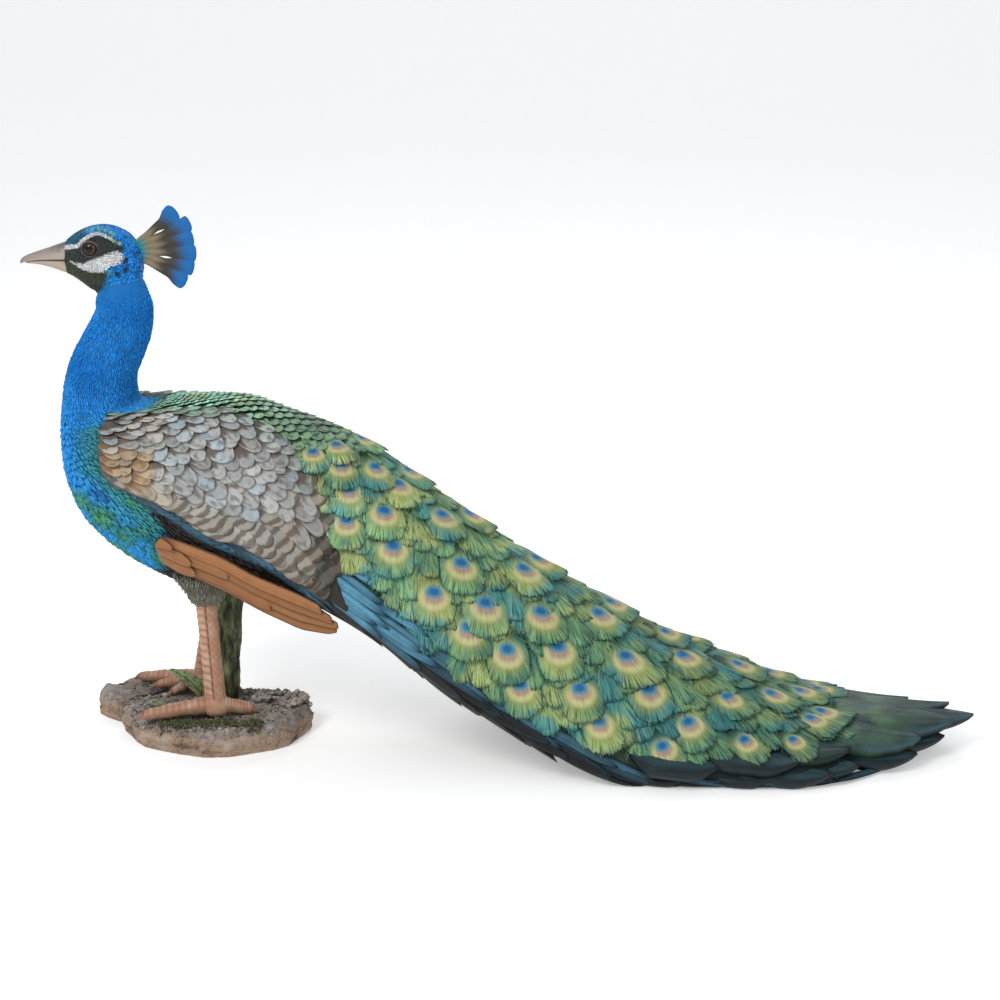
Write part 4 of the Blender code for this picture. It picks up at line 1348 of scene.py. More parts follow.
def vane_faces(cut: VaneCut) -> tuple[np.ndarray, np.ndarray]:
    """The faces of one vane: a grid on top, and a keel below that closes it.

    Args:
        cut: The vane's shape.

    Returns:
        The four-cornered and the three-cornered faces.
    """
    wide = cut.columns + 1
    at = np.arange((cut.rows + 1) * wide).reshape(cut.rows + 1, wide)
    keel = (cut.rows + 1) * wide + np.arange(cut.rows + 1)
    top = np.stack([at[:-1, :-1], at[:-1, 1:], at[1:, 1:], at[1:, :-1]], -1).reshape(-1, 4)
    left = np.stack([at[:-1, 0], at[1:, 0], keel[1:], keel[:-1]], -1)
    right = np.stack([at[:-1, -1], keel[:-1], keel[1:], at[1:, -1]], -1)
    tip = np.stack([at[-1, :-1], at[-1, 1:], np.full(cut.columns, keel[-1])], -1)
    root = np.stack([at[0, :-1], np.full(cut.columns, keel[0]), at[0, 1:]], -1)
    return np.concatenate([top, left, right]), np.concatenate([tip, root])


def over_hide(
    hide: Hide, lay: Lay, across: np.ndarray, ahead: np.ndarray, height: np.ndarray,
    bed: Callable[[np.ndarray, np.ndarray], np.ndarray] | None = None,
) -> tuple[np.ndarray, np.ndarray, np.ndarray, np.ndarray]:
    """Points of vanes over a hide.

    Args:
        hide: What the vanes lie on.
        lay: The vanes.
        across: How far each point is across its vane, a row for each vane.
        ahead: How far it is from the root.
        height: How high it is.
        bed: How far above the hide the ground under them is, from places and reaches, or nothing.

    Returns:
        The points, the hide's normals, and how far they are along and round the hide from the roots.
    """
    turn = lay.turn[:, None]
    along = ahead * np.cos(turn) - across * np.sin(turn)
    around = ahead * np.sin(turn) + across * np.cos(turn)
    root_place = lay.place[:, None]
    root_reach = (lay.reach * lay.side)[:, None]
    reach = root_reach + lay.side[:, None] * around
    first = hide.pace_at(root_place + 0.0 * along, root_reach + 0.0 * along)
    guess = root_place + along / first
    second = hide.pace_at(np.clip((root_place + guess) / 2, 0, hide.places[-1]), (root_reach + reach) / 2)
    place = root_place + along / second
    point, normal = hide.at(np.clip(place, 0.0, hide.places[-1]), reach)
    raised = height + lay.lift[:, None]
    if bed is not None:
        raised = raised + bed(place, reach)
    point = point + normal * raised[..., None]
    point[..., 2] = np.maximum(point[..., 2], 0.4 * MM)
    return point, normal, along, around


def lay_vanes(
    hide: Hide, lay: Lay, cut: VaneCut, bed: Callable[[np.ndarray, np.ndarray], np.ndarray] | None = None,
    cells: int = 0, share: tuple[float, float, float, float] = (0.0, 0.0, 1.0, 1.0),
) -> tuple[Shape, np.ndarray]:
    """Vanes that follow a hide like roof tiles.

    Args:
        hide: What they lie on.
        lay: Where they lie.
        cut: Their shape.
        bed: How far above the hide the ground under them is, from places and reaches, or nothing.
        cells: The number of map cells along each way for vanes with their own cell, or 0 for small patches.
        share: The part of the map that the patches or cells fill: its left, bottom, width and height.

    Returns:
        The shape, and where its points lie on the map.
    """
    count = lay.count()
    u = np.linspace(-1.0, 1.0, cut.columns + 1)
    v = np.linspace(0.0, 1.0, cut.rows + 1)
    uu, vv = np.meshgrid(u, v)
    uu, vv = uu.ravel(), vv.ravel()
    column = np.tile(np.arange(cut.columns + 1), cut.rows + 1)
    rng = np.random.default_rng(int(lay.seed.sum() * 1e4) % 2**31)
    ragged = rng.random((count, cut.columns + 1))
    ridge = rng.random((count, cut.columns + 1)) - 0.5
    ridge[:, 1:-1] -= 0.5 * (ridge[:, :-2] + ridge[:, 2:]) * 0.6
    bow = 1.0 - (1.0 - np.abs(uu) ** cut.tip_power) ** (1.0 / cut.tip_power)
    reach_tip = 1.0 - cut.tip_drop * bow[None] - cut.fringe * ragged[:, column]
    y = vv[None] * reach_tip
    x = uu[None] * half_widths(cut, vv)[None] + 0.0 * y
    height = -cut.root_sink + (cut.root_sink + cut.tip_lift) * vv[None] ** cut.rise
    height = height - cut.camber * np.abs(uu[None]) ** 2.0 * (0.4 + 0.6 * vv[None])
    height = height + cut.curl * smooth(vv, 0.7, 1.0)[None] ** 2
    height = height + cut.groove * ridge[:, column] * smooth(vv, 0.05, 0.5)[None]
    height = height + cut.shaft * np.exp(-((uu[None] / 0.12) ** 2)) * (1.0 - vv[None])
    keel_v = v[None] * (1.0 - 0.03 * v[None])
    keel_y = keel_v * (1.0 - cut.fringe - 0.25 * cut.tip_drop * (v[None] > 0.99))
    keel_h = -cut.root_sink + (cut.root_sink + cut.tip_lift) * v[None] ** cut.rise - cut.thickness
    keel_h = keel_h - cut.camber * (0.4 + 0.6 * v[None]) * 0.8
    x = np.concatenate([x, np.zeros((count, cut.rows + 1))], axis=1)
    y = np.concatenate([y, np.broadcast_to(keel_y, (count, cut.rows + 1))], axis=1)
    height = np.concatenate([height, np.broadcast_to(keel_h, (count, cut.rows + 1))], axis=1)
    across, ahead = x * 0.5 * lay.width[:, None], y * lay.length[:, None]
    point, _, along, around = over_hide(hide, lay, across, ahead, height, bed)
    size = point.shape[1]
    quads, triangles = vane_faces(cut)
    offset = (np.arange(count) * size)[:, None, None]
    all_quads = quads[None] + offset
    all_triangles = triangles[None] + offset
    turned = lay.side > 0
    all_quads[turned] = all_quads[turned][:, :, ::-1]
    all_triangles[turned] = all_triangles[turned][:, :, ::-1]
    eye_radius = cut.eye_size * lay.width[:, None]
    spot = np.stack(
        [across / eye_radius, (ahead - cut.eye_at * lay.length[:, None]) / eye_radius,
         np.broadcast_to(lay.strength[:, None], across.shape)], -1,
    )
    vane = np.stack([x, y, np.broadcast_to(lay.seed[:, None], x.shape)], -1)
    run = np.stack([across, along + 0.35 * around, np.broadcast_to(lay.seed[:, None], x.shape)], -1)
    run[..., 1] += (lay.place * 0.06 + lay.reach * 0.35)[:, None]
    tint = np.broadcast_to(lay.tint[:, None], point.shape)
    rim = np.broadcast_to(lay.rim[:, None], point.shape)
    flat = map_places(hide, lay, x, y, cells, share)
    shape = Shape(
        point.reshape(-1, 3), all_quads.reshape(-1, 4), all_triangles.reshape(-1, 3),
        {"tint": tint.reshape(-1, 3), "rim": rim.reshape(-1, 3)},
        {"vane": vane.reshape(-1, 3), "spot": spot.reshape(-1, 3), "run": run.reshape(-1, 3)},
    )
    return shape, flat.reshape(-1, 2)


def map_places(
    hide: Hide, lay: Lay, x: np.ndarray, y: np.ndarray, cells: int, share: tuple[float, float, float, float]
) -> np.ndarray:
    """Where the points of vanes lie on the map: in a cell for each vane, or in a small patch at its root.

    Args:
        hide: What the vanes lie on.
        lay: The vanes.
        x: Each point's place across its vane, from -1 to 1.
        y: Each point's place along its vane, from 0 to 1.
        cells: The number of cells each way, or 0.
        share: The part of the map to fill.

    Returns:
        A place on the map for each point.
    """
    left, bottom, width, height = share
    if cells:
        index = np.arange(lay.count())
        column, row = index % cells, index // cells
        flat_x = (column[:, None] + 0.5 + 0.46 * x) / cells
        flat_y = (row[:, None] + 0.04 + 0.92 * y) / cells
    else:
        root = hide.spread(lay.place, lay.reach * lay.side)
        flat_x = root[:, 0][:, None] + PATCH * 0.5 * x
        flat_y = root[:, 1][:, None] + PATCH * y
    return np.stack([left + width * flat_x, bottom + height * flat_y], -1)


class Grain(Enum):
    """The small shapes that are stood on points."""

    HAIR = "hair"
    BEAD = "bead"
    STONE = "stone"
    GRASS = "grass"


def grain_shape(grain: Grain) -> Shape:
    """A small closed shape along +X, one unit long, that rises along +Z.

    Args:
        grain: Which shape.

    Returns:
        The shape, with its vane vectors.
    """
    if grain is Grain.HAIR:
        points = [(0, 0, -0.25), (0.30, -0.5, 0.0), (0.30, 0.5, 0.0), (0.38, 0, 0.62), (0.74, -0.30, 0.22),
                  (0.74, 0.30, 0.22), (0.78, 0, 0.62), (1.0, 0, 0.20), (0.5, 0, -0.35)]
        triangles = [(0, 1, 3), (0, 3, 2), (1, 4, 6), (1, 6, 3), (3, 6, 5), (3, 5, 2), (4, 7, 6), (6, 7, 5),
                     (0, 8, 1), (0, 2, 8), (1, 8, 4), (2, 5, 8), (4, 8, 7), (5, 7, 8)]
    elif grain is Grain.GRASS:
        points = [(0, -0.5, 0), (0, 0.5, 0), (0, 0, 0.6), (0.5, -0.35, 0.8), (0.5, 0.35, 0.8), (0.5, 0, 1.5),
                  (1.0, 0, 0.9)]
        triangles = [(0, 2, 1), (0, 3, 5), (0, 5, 2), (2, 5, 4), (2, 4, 1), (0, 1, 4), (0, 4, 3), (3, 6, 5),
                     (5, 6, 4), (3, 4, 6)]
    else:
        return round_grain(5 if grain is Grain.STONE else 6, grain is Grain.STONE)
    made = np.array(points, float)
    vane = np.stack([made[:, 1] * 2, made[:, 0], 0 * made[:, 0]], -1)
    return Shape(made, triangles=np.array(triangles), vectors={"vane": vane})


def round_grain(sides: int, stone: bool) -> Shape:
    """A bead or a stone: three rings of a few sides between two poles.

    Args:
        sides: The number of sides.
        stone: Whether it is an uneven lump, which a bead isn't.

    Returns:
        The shape.
    """
    rings = ((0.80, -0.35), (1.0, 0.12), (0.66, 0.50))
    if stone:
        rings = ((0.85, -0.35), (1.0, 0.25), (0.55, 0.62))
    points = [(0.5, 0.0, -0.5)]
    for level, (radius, height) in enumerate(rings):
        for k in range(sides):
            turn = 2 * math.pi * (k + 0.5 * (level % 2)) / sides
            uneven = 1.0 + (0.16 * math.sin(3.1 * k + 2.0 * level) if stone else 0.0)
            out = 0.5 * radius * uneven
            points.append((0.5 + out * math.cos(turn), out * math.sin(turn), height))
    points.append((0.5, 0.0, 0.68))
    triangles = []
    for k in range(sides):
        nxt = (k + 1) % sides
        triangles.append((0, 1 + nxt, 1 + k))
        for level in range(2):
            low, high = 1 + level * sides, 1 + (level + 1) * sides
            if level % 2 == 0:
                triangles += [(low + k, low + nxt, high + k), (low + nxt, high + nxt, high + k)]
            else:
                triangles += [(low + k, low + nxt, high + nxt), (low + k, high + nxt, high + k)]
        triangles.append((1 + 2 * sides + k, 1 + 2 * sides + nxt, 1 + 3 * sides))
    made = np.array(points, float)
    # The vane's v is the height, so the paint puts its painted shade on the lower side.
    vane = np.stack([made[:, 1] * 2, np.clip(made[:, 2] / 0.6, -0.1, 1.0), 0 * made[:, 0]], -1)
    return Shape(made, triangles=np.array(triangles), vectors={"vane": vane})


def turns_of(ahead: np.ndarray, up: np.ndarray) -> np.ndarray:
    """The XYZ turns that lay +X along one direction with +Z near another.

    Args:
        ahead: Directions for +X.
        up: Directions for +Z.

    Returns:
        Three angles for each.
    """
    z = unit(up)
    x = unit(ahead - z * (ahead * z).sum(axis=1, keepdims=True))
    y = np.cross(z, x)
    about_y = np.arcsin(np.clip(-x[:, 2], -1.0, 1.0))
    about_x = np.arctan2(y[:, 2], z[:, 2])
    about_z = np.arctan2(x[:, 1], x[:, 0])
    return np.stack([about_x, about_y, about_z], axis=1)


@dataclass
class Cloud:
    """Points that a small shape is stood on, with its turn, its size and its tint at each."""

    points: np.ndarray
    turn: np.ndarray
    size: np.ndarray
    tint: np.ndarray
    flat: np.ndarray


class Scatter:
    """Stands a copy of a small shape on every point of a cloud, with Geometry Nodes."""

    def __init__(self, grain: Grain) -> None:
        """Makes the small shape.

        Args:
            grain: Which shape.
        """
        mesh = grain_shape(grain).mesh(f"{grain.value}_shape")
        point_outwards(mesh)
        self.template = bpy.data.objects.new(f"{grain.value}_shape", mesh)

    def tree(self, paint: bpy.types.Material) -> bpy.types.NodeTree:
        """The node tree: points in, copies stood on them, made real and painted.

        Args:
            paint: The material of the copies.

        Returns:
            The tree, with a named input for the size of the copies.
        """
        tree = bpy.data.node_groups.new("stand_on_points", "GeometryNodeTree")
        tree.interface.new_socket("Cloud", in_out="INPUT", socket_type="NodeSocketGeometry")
        tree.interface.new_socket("Shape", in_out="INPUT", socket_type="NodeSocketObject")
        tree.interface.new_socket("Size", in_out="INPUT", socket_type="NodeSocketFloat")
        tree.interface.new_socket("Pieces", in_out="OUTPUT", socket_type="NodeSocketGeometry")
        nodes, links = tree.nodes, tree.links
        given = nodes.new("NodeGroupInput")
        done = nodes.new("NodeGroupOutput")
        info = nodes.new("GeometryNodeObjectInfo")
        turn = nodes.new("GeometryNodeInputNamedAttribute")
        turn.data_type = "FLOAT_VECTOR"
        turn.inputs["Name"].default_value = "turn"
        size = nodes.new("GeometryNodeInputNamedAttribute")
        size.data_type = "FLOAT_VECTOR"
        size.inputs["Name"].default_value = "size"
        scaled = nodes.new("ShaderNodeVectorMath")
        scaled.operation = "SCALE"
        stand = nodes.new("GeometryNodeInstanceOnPoints")
        real = nodes.new("GeometryNodeRealizeInstances")
        painted = nodes.new("GeometryNodeSetMaterial")
        painted.inputs["Material"].default_value = paint
        links.new(given.outputs["Shape"], info.inputs["Object"])
        links.new(size.outputs["Attribute"], scaled.inputs[0])
        links.new(given.outputs["Size"], scaled.inputs["Scale"])
        links.new(given.outputs["Cloud"], stand.inputs["Points"])
        links.new(info.outputs["Geometry"], stand.inputs["Instance"])
        links.new(turn.outputs["Attribute"], stand.inputs["Rotation"])
        links.new(scaled.outputs["Vector"], stand.inputs["Scale"])
        links.new(stand.outputs["Instances"], real.inputs["Geometry"])
        links.new(real.outputs["Geometry"], painted.inputs["Geometry"])
        links.new(painted.outputs["Geometry"], done.inputs["Pieces"])
        return tree

    def stand(self, cloud: Cloud, paint: bpy.types.Material, size: float = 1.0) -> bpy.types.Mesh:
        """Stands the shape on a cloud.

        Args:
            cloud: The points.
            paint: The material.
            size: What every copy's size is multiplied by.

        Returns:
            A plain mesh of all the copies, with its map.
        """
        ground = bpy.data.meshes.new("cloud")
        ground.vertices.add(len(cloud.points))
        ground.vertices.foreach_set("co", cloud.points.astype(np.float32).ravel())
        flat = np.concatenate([cloud.flat, np.zeros((len(cloud.flat), 1))], axis=1)
        keep_numbers(ground, {"tint": cloud.tint}, {"turn": cloud.turn, "size": cloud.size, "cell": flat})
        holder = bpy.data.objects.new("cloud_holder", ground)
        bpy.context.scene.collection.objects.link(holder)
        tree = self.tree(paint)
        modifier = holder.modifiers.new("stand", "NODES")
        modifier.node_group = tree
        named = {item.name: item.identifier for item in tree.interface.items_tree if item.in_out == "INPUT"}
        modifier[named["Shape"]] = self.template
        modifier[named["Size"]] = size
        bpy.context.view_layer.update()
        graph = bpy.context.evaluated_depsgraph_get()
        made = bpy.data.meshes.new_from_object(holder.evaluated_get(graph), depsgraph=graph)
        holder.modifiers.remove(modifier)
        bpy.data.objects.remove(holder, do_unlink=True)
        bpy.data.node_groups.remove(tree)
        cell = read_vectors(made, "cell")
        vane = read_vectors(made, "vane")
        spread_map(made, cell[:, :2] + PATCH * np.stack([0.5 * vane[:, 0], vane[:, 1]], -1))
        for name in ("cell", "turn", "size"):
            kept = made.attributes.get(name)
            if kept is not None:
                made.attributes.remove(kept)
        made.polygons.foreach_set("use_smooth", np.ones(len(made.polygons), bool))
        return made

    def drop(self) -> None:
        """Removes the small shape, once all its copies are made."""
        bpy.data.objects.remove(self.template, do_unlink=True)


def stand_piece(
    name: str, grain: Grain, cloud: Cloud, paint: bpy.types.Material, slot: str
) -> bpy.types.Object:
    """Puts copies of a small shape into the scene as a piece.

    Args:
        name: The piece's name.
        grain: The small shape.
        cloud: Where the copies stand.
        paint: Its material.
        slot: A slot name, which is passed on.

    Returns:
        The piece.
    """
    scatter = Scatter(grain)
    mesh = scatter.stand(cloud, paint)
    scatter.drop()
    return add_piece(name, mesh, paint, slot)


# ---------------------------------------------------------------------------------------------------------
# Markings that the skin and the coat share
# ---------------------------------------------------------------------------------------------------------

NECK_BLUE = (0.005, 0.190, 0.590)
DEEP_BLUE = (0.006, 0.085, 0.360)
BREAST_BLUE = (0.030, 0.330, 0.800)
TEAL = (0.042, 0.260, 0.270)
BREAST_GREEN = (0.075, 0.290, 0.130)
MANTLE_GREEN = (0.280, 0.560, 0.410)
YELLOW_GREEN = (0.350, 0.470, 0.220)
DARK_GREEN = (0.014, 0.045, 0.034)
TRAIN_GREEN = (0.040, 0.085, 0.040)
BELLY_BROWN = (0.030, 0.026, 0.024)
HEAD_BLUE = (0.014, 0.255, 0.740)
HEAD_WHITE = (0.640, 0.660, 0.670)
HEAD_BLACK = (0.014, 0.020, 0.020)
MASK_GREEN = (0.040, 0.046, 0.042)
THROAT_GREEN = (0.050, 0.064, 0.034)
CYAN = (0.030, 0.330, 0.450)


def edge_angle(edge: Sequence[tuple[float, float]], place: np.ndarray) -> np.ndarray:
    """The angle in radians of a wing's edge at places along the body."""
    return np.radians(np.interp(place, [p for p, _ in edge], [a for _, a in edge]))


def body_tint(place: np.ndarray, reach: np.ndarray, points: np.ndarray) -> np.ndarray:
    """The body's own colours.

    Args:
        place: Section numbers.
        reach: Distances round from the top.
        points: The points there.

    Returns:
        A colour for each.
    """
    angle = np.degrees(BODY.angle_of(place, reach))
    wave = wavy(points, 42.0)
    colours = mixed(smooth(wave, -0.6, 0.9) * 0.4, NECK_BLUE, BREAST_BLUE)
    colours = lay_over(colours, smooth(place, 4.2, 6.6) * 0.85, BREAST_BLUE)
    colours = lay_over(colours, smooth(angle, 60, 10) * smooth(place, 0.5, 3.5) * 0.12, DEEP_BLUE)
    front_edge = edge_angle(WING_TOP_EDGE, place)
    near_wing = smooth(place, 5.75, 6.7) * smooth(angle, 140, 95)
    colours = lay_over(colours, near_wing * (0.55 + 0.35 * wave), TEAL)
    colours = lay_over(colours, near_wing * smooth(place, 6.1, 6.8) * 0.6, BREAST_GREEN)
    low = smooth(place, 7.2, 8.4) * smooth(angle, 92, 106)
    patches = wavy(points, 60.0, 3.0)
    colours = lay_over(colours, low * smooth(patches, -0.5, 0.3) * 0.85, TEAL)
    colours = lay_over(colours, low * smooth(patches, 0.15, 0.7) * 0.8, BREAST_GREEN)
    colours = lay_over(colours, low * smooth(patches, -0.45, -0.9) * 0.6, DEEP_BLUE)
    belly_start = np.interp(angle, [86, 100, 112, 135, 180], [8.7, 9.1, 10.2, 10.7, 10.4])
    belly = smooth(place - belly_start, -0.15, 0.25) * smooth(angle, 80, 88)
    colours = lay_over(colours, belly, BELLY_BROWN)
    mantle = smooth(place, 6.5, 7.2) * smooth(angle, np.degrees(front_edge) + 14, np.degrees(front_edge) + 2)
    colours = lay_over(colours, mantle, MANTLE_GREEN)
    colours = lay_over(colours, smooth(place, 11.6, 13.0) * smooth(angle, 108, 92), TRAIN_GREEN)
    colours = lay_over(colours, smooth(place, 12.4, 13.6) * smooth(angle, 88, 104), BELLY_BROWN)
    flank = np.interp(place, [18.8, 19.55, 20.55, 21.2, 22.2], [83, 76, 62, 50, 36])
    dark = smooth(place, 18.6, 19.2) * smooth(angle, flank - 8, flank)
    colours = lay_over(colours, dark, (0.008, 0.016, 0.018))
    return colours


# The middle of the eyes in the side view: (x, z).
EYE_AT = (-0.1236, 0.5320)


@dataclass(frozen=True)
class FaceMarks:
    """The face's markings in the side view, from the bill back."""

    eye: tuple[float, float] = EYE_AT
    stripe: tuple[tuple[float, float], ...] = (
        (-0.1520, 0.5312), (-0.1380, 0.5340), (-0.1316, 0.5405), (-0.1230, 0.5458), (-0.1156, 0.5474),
        (-0.1071, 0.5449), (-0.0989, 0.5402), (-0.0917, 0.5375),
    )
    crown_line: tuple[tuple[float, float], ...] = (
        (-0.1490, 0.5390), (-0.1340, 0.5480), (-0.1200, 0.5516), (-0.1088, 0.5505), (-0.0996, 0.5462),
    )
    cheek: tuple[tuple[float, float], ...] = (
        (-0.1475, 0.5178), (-0.1349, 0.5108), (-0.1245, 0.5075), (-0.1108, 0.5083), (-0.1031, 0.5150),
        (-0.0925, 0.5185), (-0.0885, 0.5243), (-0.0915, 0.5300), (-0.0954, 0.5310), (-0.1047, 0.5283),
        (-0.1132, 0.5243), (-0.1239, 0.5203), (-0.1329, 0.5158), (-0.1420, 0.5170),
    )
    mask: tuple[tuple[float, float], ...] = (
        (-0.1540, 0.5296), (-0.1380, 0.5330), (-0.1316, 0.5395), (-0.1230, 0.5445), (-0.1156, 0.5462),
        (-0.1071, 0.5440), (-0.0960, 0.5375), (-0.0900, 0.5330), (-0.0940, 0.5280), (-0.1047, 0.5250),
        (-0.1132, 0.5210), (-0.1239, 0.5170), (-0.1329, 0.5130), (-0.1420, 0.5140), (-0.1600, 0.5170),
    )
    throat: tuple[tuple[float, float], ...] = (
        (-0.1600, 0.5190), (-0.1475, 0.5190), (-0.1349, 0.5138), (-0.1245, 0.5105), (-0.1108, 0.5110),
        (-0.1050, 0.5060), (-0.1120, 0.4960), (-0.1180, 0.4800), (-0.1400, 0.4800), (-0.1650, 0.5000),
    )
    spots: tuple[tuple[float, float], ...] = ((-0.0875, 0.5215), (-0.0880, 0.5125), (-0.0960, 0.5075))
    cyan_spot: tuple[float, float] = (-0.1040, 0.5085)

    def tint(self, points: np.ndarray) -> np.ndarray:
        """The head's colours at points.

        Args:
            points: The points.

        Returns:
            A colour for each.
        """
        x, z = points[:, 0], points[:, 2]
        colours = mixed(smooth(wavy(points, 120.0), -0.7, 0.9), HEAD_BLUE, NECK_BLUE)
        front = smooth(x, -0.122, -0.136) * smooth(z, 0.522, 0.530)
        colours = lay_over(colours, front * 0.80, (0.022, 0.085, 0.080))
        away, along = to_line(x, z, self.crown_line)
        crown = smooth(away, 3.2 * MM, 0.6 * MM) * smooth(along, 0.15, 0.5)
        colours = lay_over(colours, crown * 0.8, (0.16, 0.50, 0.62))
        low = smooth(z, 0.506, 0.494) * smooth(x, -0.124, -0.110)
        colours = lay_over(colours, low * 0.25, CYAN)
        colours = lay_over(colours, inside(x, z, self.throat, 2.6 * MM), THROAT_GREEN)
        deep = smooth(z, 0.500, 0.486) * smooth(x, -0.106, -0.118)
        colours = lay_over(colours, deep * 0.7, HEAD_BLACK)
        colours = lay_over(colours, inside(x, z, self.mask, 1.6 * MM), MASK_GREEN)
        back = np.hypot(x + 0.0925, z - 0.5325)
        colours = lay_over(colours, smooth(back, 6 * MM, 2 * MM) * 0.7, HEAD_BLACK)
        for at in self.spots:
            near = np.hypot(x - at[0], z - at[1])
            colours = lay_over(colours, smooth(near, 4.4 * MM, 2.0 * MM) * 0.9, HEAD_BLACK)
        near = np.hypot(x - self.cyan_spot[0], z - self.cyan_spot[1])
        colours = lay_over(colours, smooth(near, 5.5 * MM, 1.5 * MM) * 0.8, CYAN)
        away, along = to_line(x, z, self.stripe)
        width = (2.0 - 1.0 * along) * MM
        stripe = smooth(away, 1.35 * width, 0.75 * width)
        colours = lay_over(colours, stripe * smooth(along, 1.02, 0.80), HEAD_WHITE)
        colours = lay_over(colours, stripe * smooth(along, 0.62, 0.86) * 0.8, (0.36, 0.52, 0.16))
        colours = lay_over(colours, inside(x, z, self.cheek, 0.9 * MM), HEAD_WHITE)
        return colours


# ---------------------------------------------------------------------------------------------------------
# The skin
# ---------------------------------------------------------------------------------------------------------


def closed_tube(rings: np.ndarray) -> Shape:
    """A closed shape through rings with the same number of points.

    Args:
        rings: The points, ring by ring.

    Returns:
        The shape, with a fan over each end.
    """
    count, sides = rings.shape[:2]
    at = np.arange(count * sides).reshape(count, sides)
    nxt = np.roll(at, -1, axis=1)
    quads = np.stack([at[:-1], nxt[:-1], nxt[1:], at[1:]], -1).reshape(-1, 4)
    first, last = count * sides, count * sides + 1
    start = np.stack([nxt[0], at[0], np.full(sides, first)], -1)
    end = np.stack([at[-1], nxt[-1], np.full(sides, last)], -1)
    points = np.concatenate([rings.reshape(-1, 3), rings[:1].mean(axis=1), rings[-1:].mean(axis=1)])
    return Shape(points, quads, np.concatenate([start, end]))


def swollen(rings: np.ndarray, lift: np.ndarray) -> np.ndarray:
    """Rings with each of their points moved away from the ring's middle, by a lift for each point."""
    return rings + unit(rings - rings.mean(axis=1, keepdims=True)) * lift[..., None]


def shade_tube(tube: Shape, shade: np.ndarray) -> None:
    """Gives a closed tube its tint: a grey for each point of its rings, and white ends."""
    tube.colours["tint"] = np.concatenate([shade.ravel(), [1.0, 1.0]])[:, None] * np.ones(3)


def tube_map(steps: int, sides: int) -> np.ndarray:
    """Where the points of a closed tube lie on a map of its own.

    Args:
        steps: The number of its rings.
        sides: The number of points of a ring.

    Returns:
        A place on the map for each point.
    """
    along, around = np.linspace(0.02, 0.98, steps), np.linspace(0.02, 0.98, sides)
    flat = np.stack(np.meshgrid(along, around, indexing="ij"), -1)
    return np.concatenate([flat.reshape(-1, 2), [[0.01, 0.5], [0.99, 0.5]]])


def point_outwards(mesh: bpy.types.Mesh) -> None:
    """Turns all the faces of a closed mesh to point out of it.

    Args:
        mesh: The mesh.
    """
    work = bmesh.new()
    work.from_mesh(mesh)
    bmesh.ops.recalc_face_normals(work, faces=work.faces)
    if work.calc_volume(signed=True) < 0:
        bmesh.ops.reverse_faces(work, faces=work.faces)
    work.to_mesh(mesh)
    work.free()


def remeshed(shape: Shape, voxel: float, smoothing: int) -> bpy.types.Mesh:
    """One even closed mesh round overlapping closed shapes.

    Args:
        shape: The shapes.
        voxel: The size of the new faces.
        smoothing: How many times the result is smoothed.

    Returns:
        The mesh.
    """
    mesh = shape.mesh("to_remesh")
    point_outwards(mesh)
    return remeshed_mesh(mesh, voxel, smoothing)


def remeshed_mesh(mesh: bpy.types.Mesh, voxel: float, smoothing: int) -> bpy.types.Mesh:
    """One even closed mesh round a mesh of overlapping closed shapes.

    Args:
        mesh: The mesh.
        voxel: The size of the new faces.
        smoothing: How many times the result is smoothed.

    Returns:
        The mesh.
    """
    holder = bpy.data.objects.new("to_remesh", mesh)
    bpy.context.scene.collection.objects.link(holder)
    remesh = holder.modifiers.new("even", "REMESH")
    remesh.mode = "VOXEL"
    remesh.voxel_size = voxel
    remesh.adaptivity = 0.0
    if smoothing:
        soften = holder.modifiers.new("soften", "SMOOTH")
        soften.factor = 0.5
        soften.iterations = smoothing
    bpy.context.view_layer.update()
    graph = bpy.context.evaluated_depsgraph_get()
    made = bpy.data.meshes.new_from_object(holder.evaluated_get(graph), depsgraph=graph)
    bpy.data.objects.remove(holder, do_unlink=True)
    made.polygons.foreach_set("use_smooth", np.ones(len(made.polygons), bool))
    return made


def mesh_points(mesh: bpy.types.Mesh) -> np.ndarray:
    """The points of a mesh.

    Args:
        mesh: The mesh.

    Returns:
        The points.
    """
    points = np.empty(len(mesh.vertices) * 3, np.float32)
    mesh.vertices.foreach_get("co", points)
    return points.reshape(-1, 3).astype(float)


def mesh_normals(mesh: bpy.types.Mesh) -> np.ndarray:
    """The normals at the points of a mesh.

    Args:
        mesh: The mesh.

    Returns:
        The normals.
    """
    normals = np.empty(len(mesh.vertices) * 3, np.float32)
    mesh.vertex_normals.foreach_get("vector", normals)
    return normals.reshape(-1, 3).astype(float)


def set_points(mesh: bpy.types.Mesh, points: np.ndarray) -> None:
    """Moves the points of a mesh."""
    mesh.vertices.foreach_set("co", points.astype(np.float32).ravel())
    mesh.update()


def limb_rings(
    spine: Sequence[Sequence[float]], radii: Sequence[tuple[float, float]], sides: int, steps: int
) -> tuple[np.ndarray, np.ndarray, np.ndarray]:
    """Rings round a spine: each spine point has a radius fore and aft and one across.

    Args:
        spine: The spine's points.
        radii: The radii at each.
        sides: The number of points of a ring.
        steps: The number of rings.

    Returns:
        The rings, the share along the spine of each, and the angle round of each side.
    """
    share = np.linspace(0.0, 1.0, steps)
    knots = np.linspace(0.0, 1.0, len(spine))
    centre = np.stack([np.interp(share, knots, [p[k] for p in spine]) for k in range(3)], -1)
    deep = np.interp(share, knots, [r[0] for r in radii])
    wide = np.interp(share, knots, [r[1] for r in radii])
    turn = np.linspace(0.0, 2.0 * math.pi, sides, endpoint=False)
    ring = np.stack([np.cos(turn)[None] * deep[:, None], np.sin(turn)[None] * wide[:, None],
                     np.zeros((steps, sides))], -1)
    return centre[:, None] + ring, share, turn


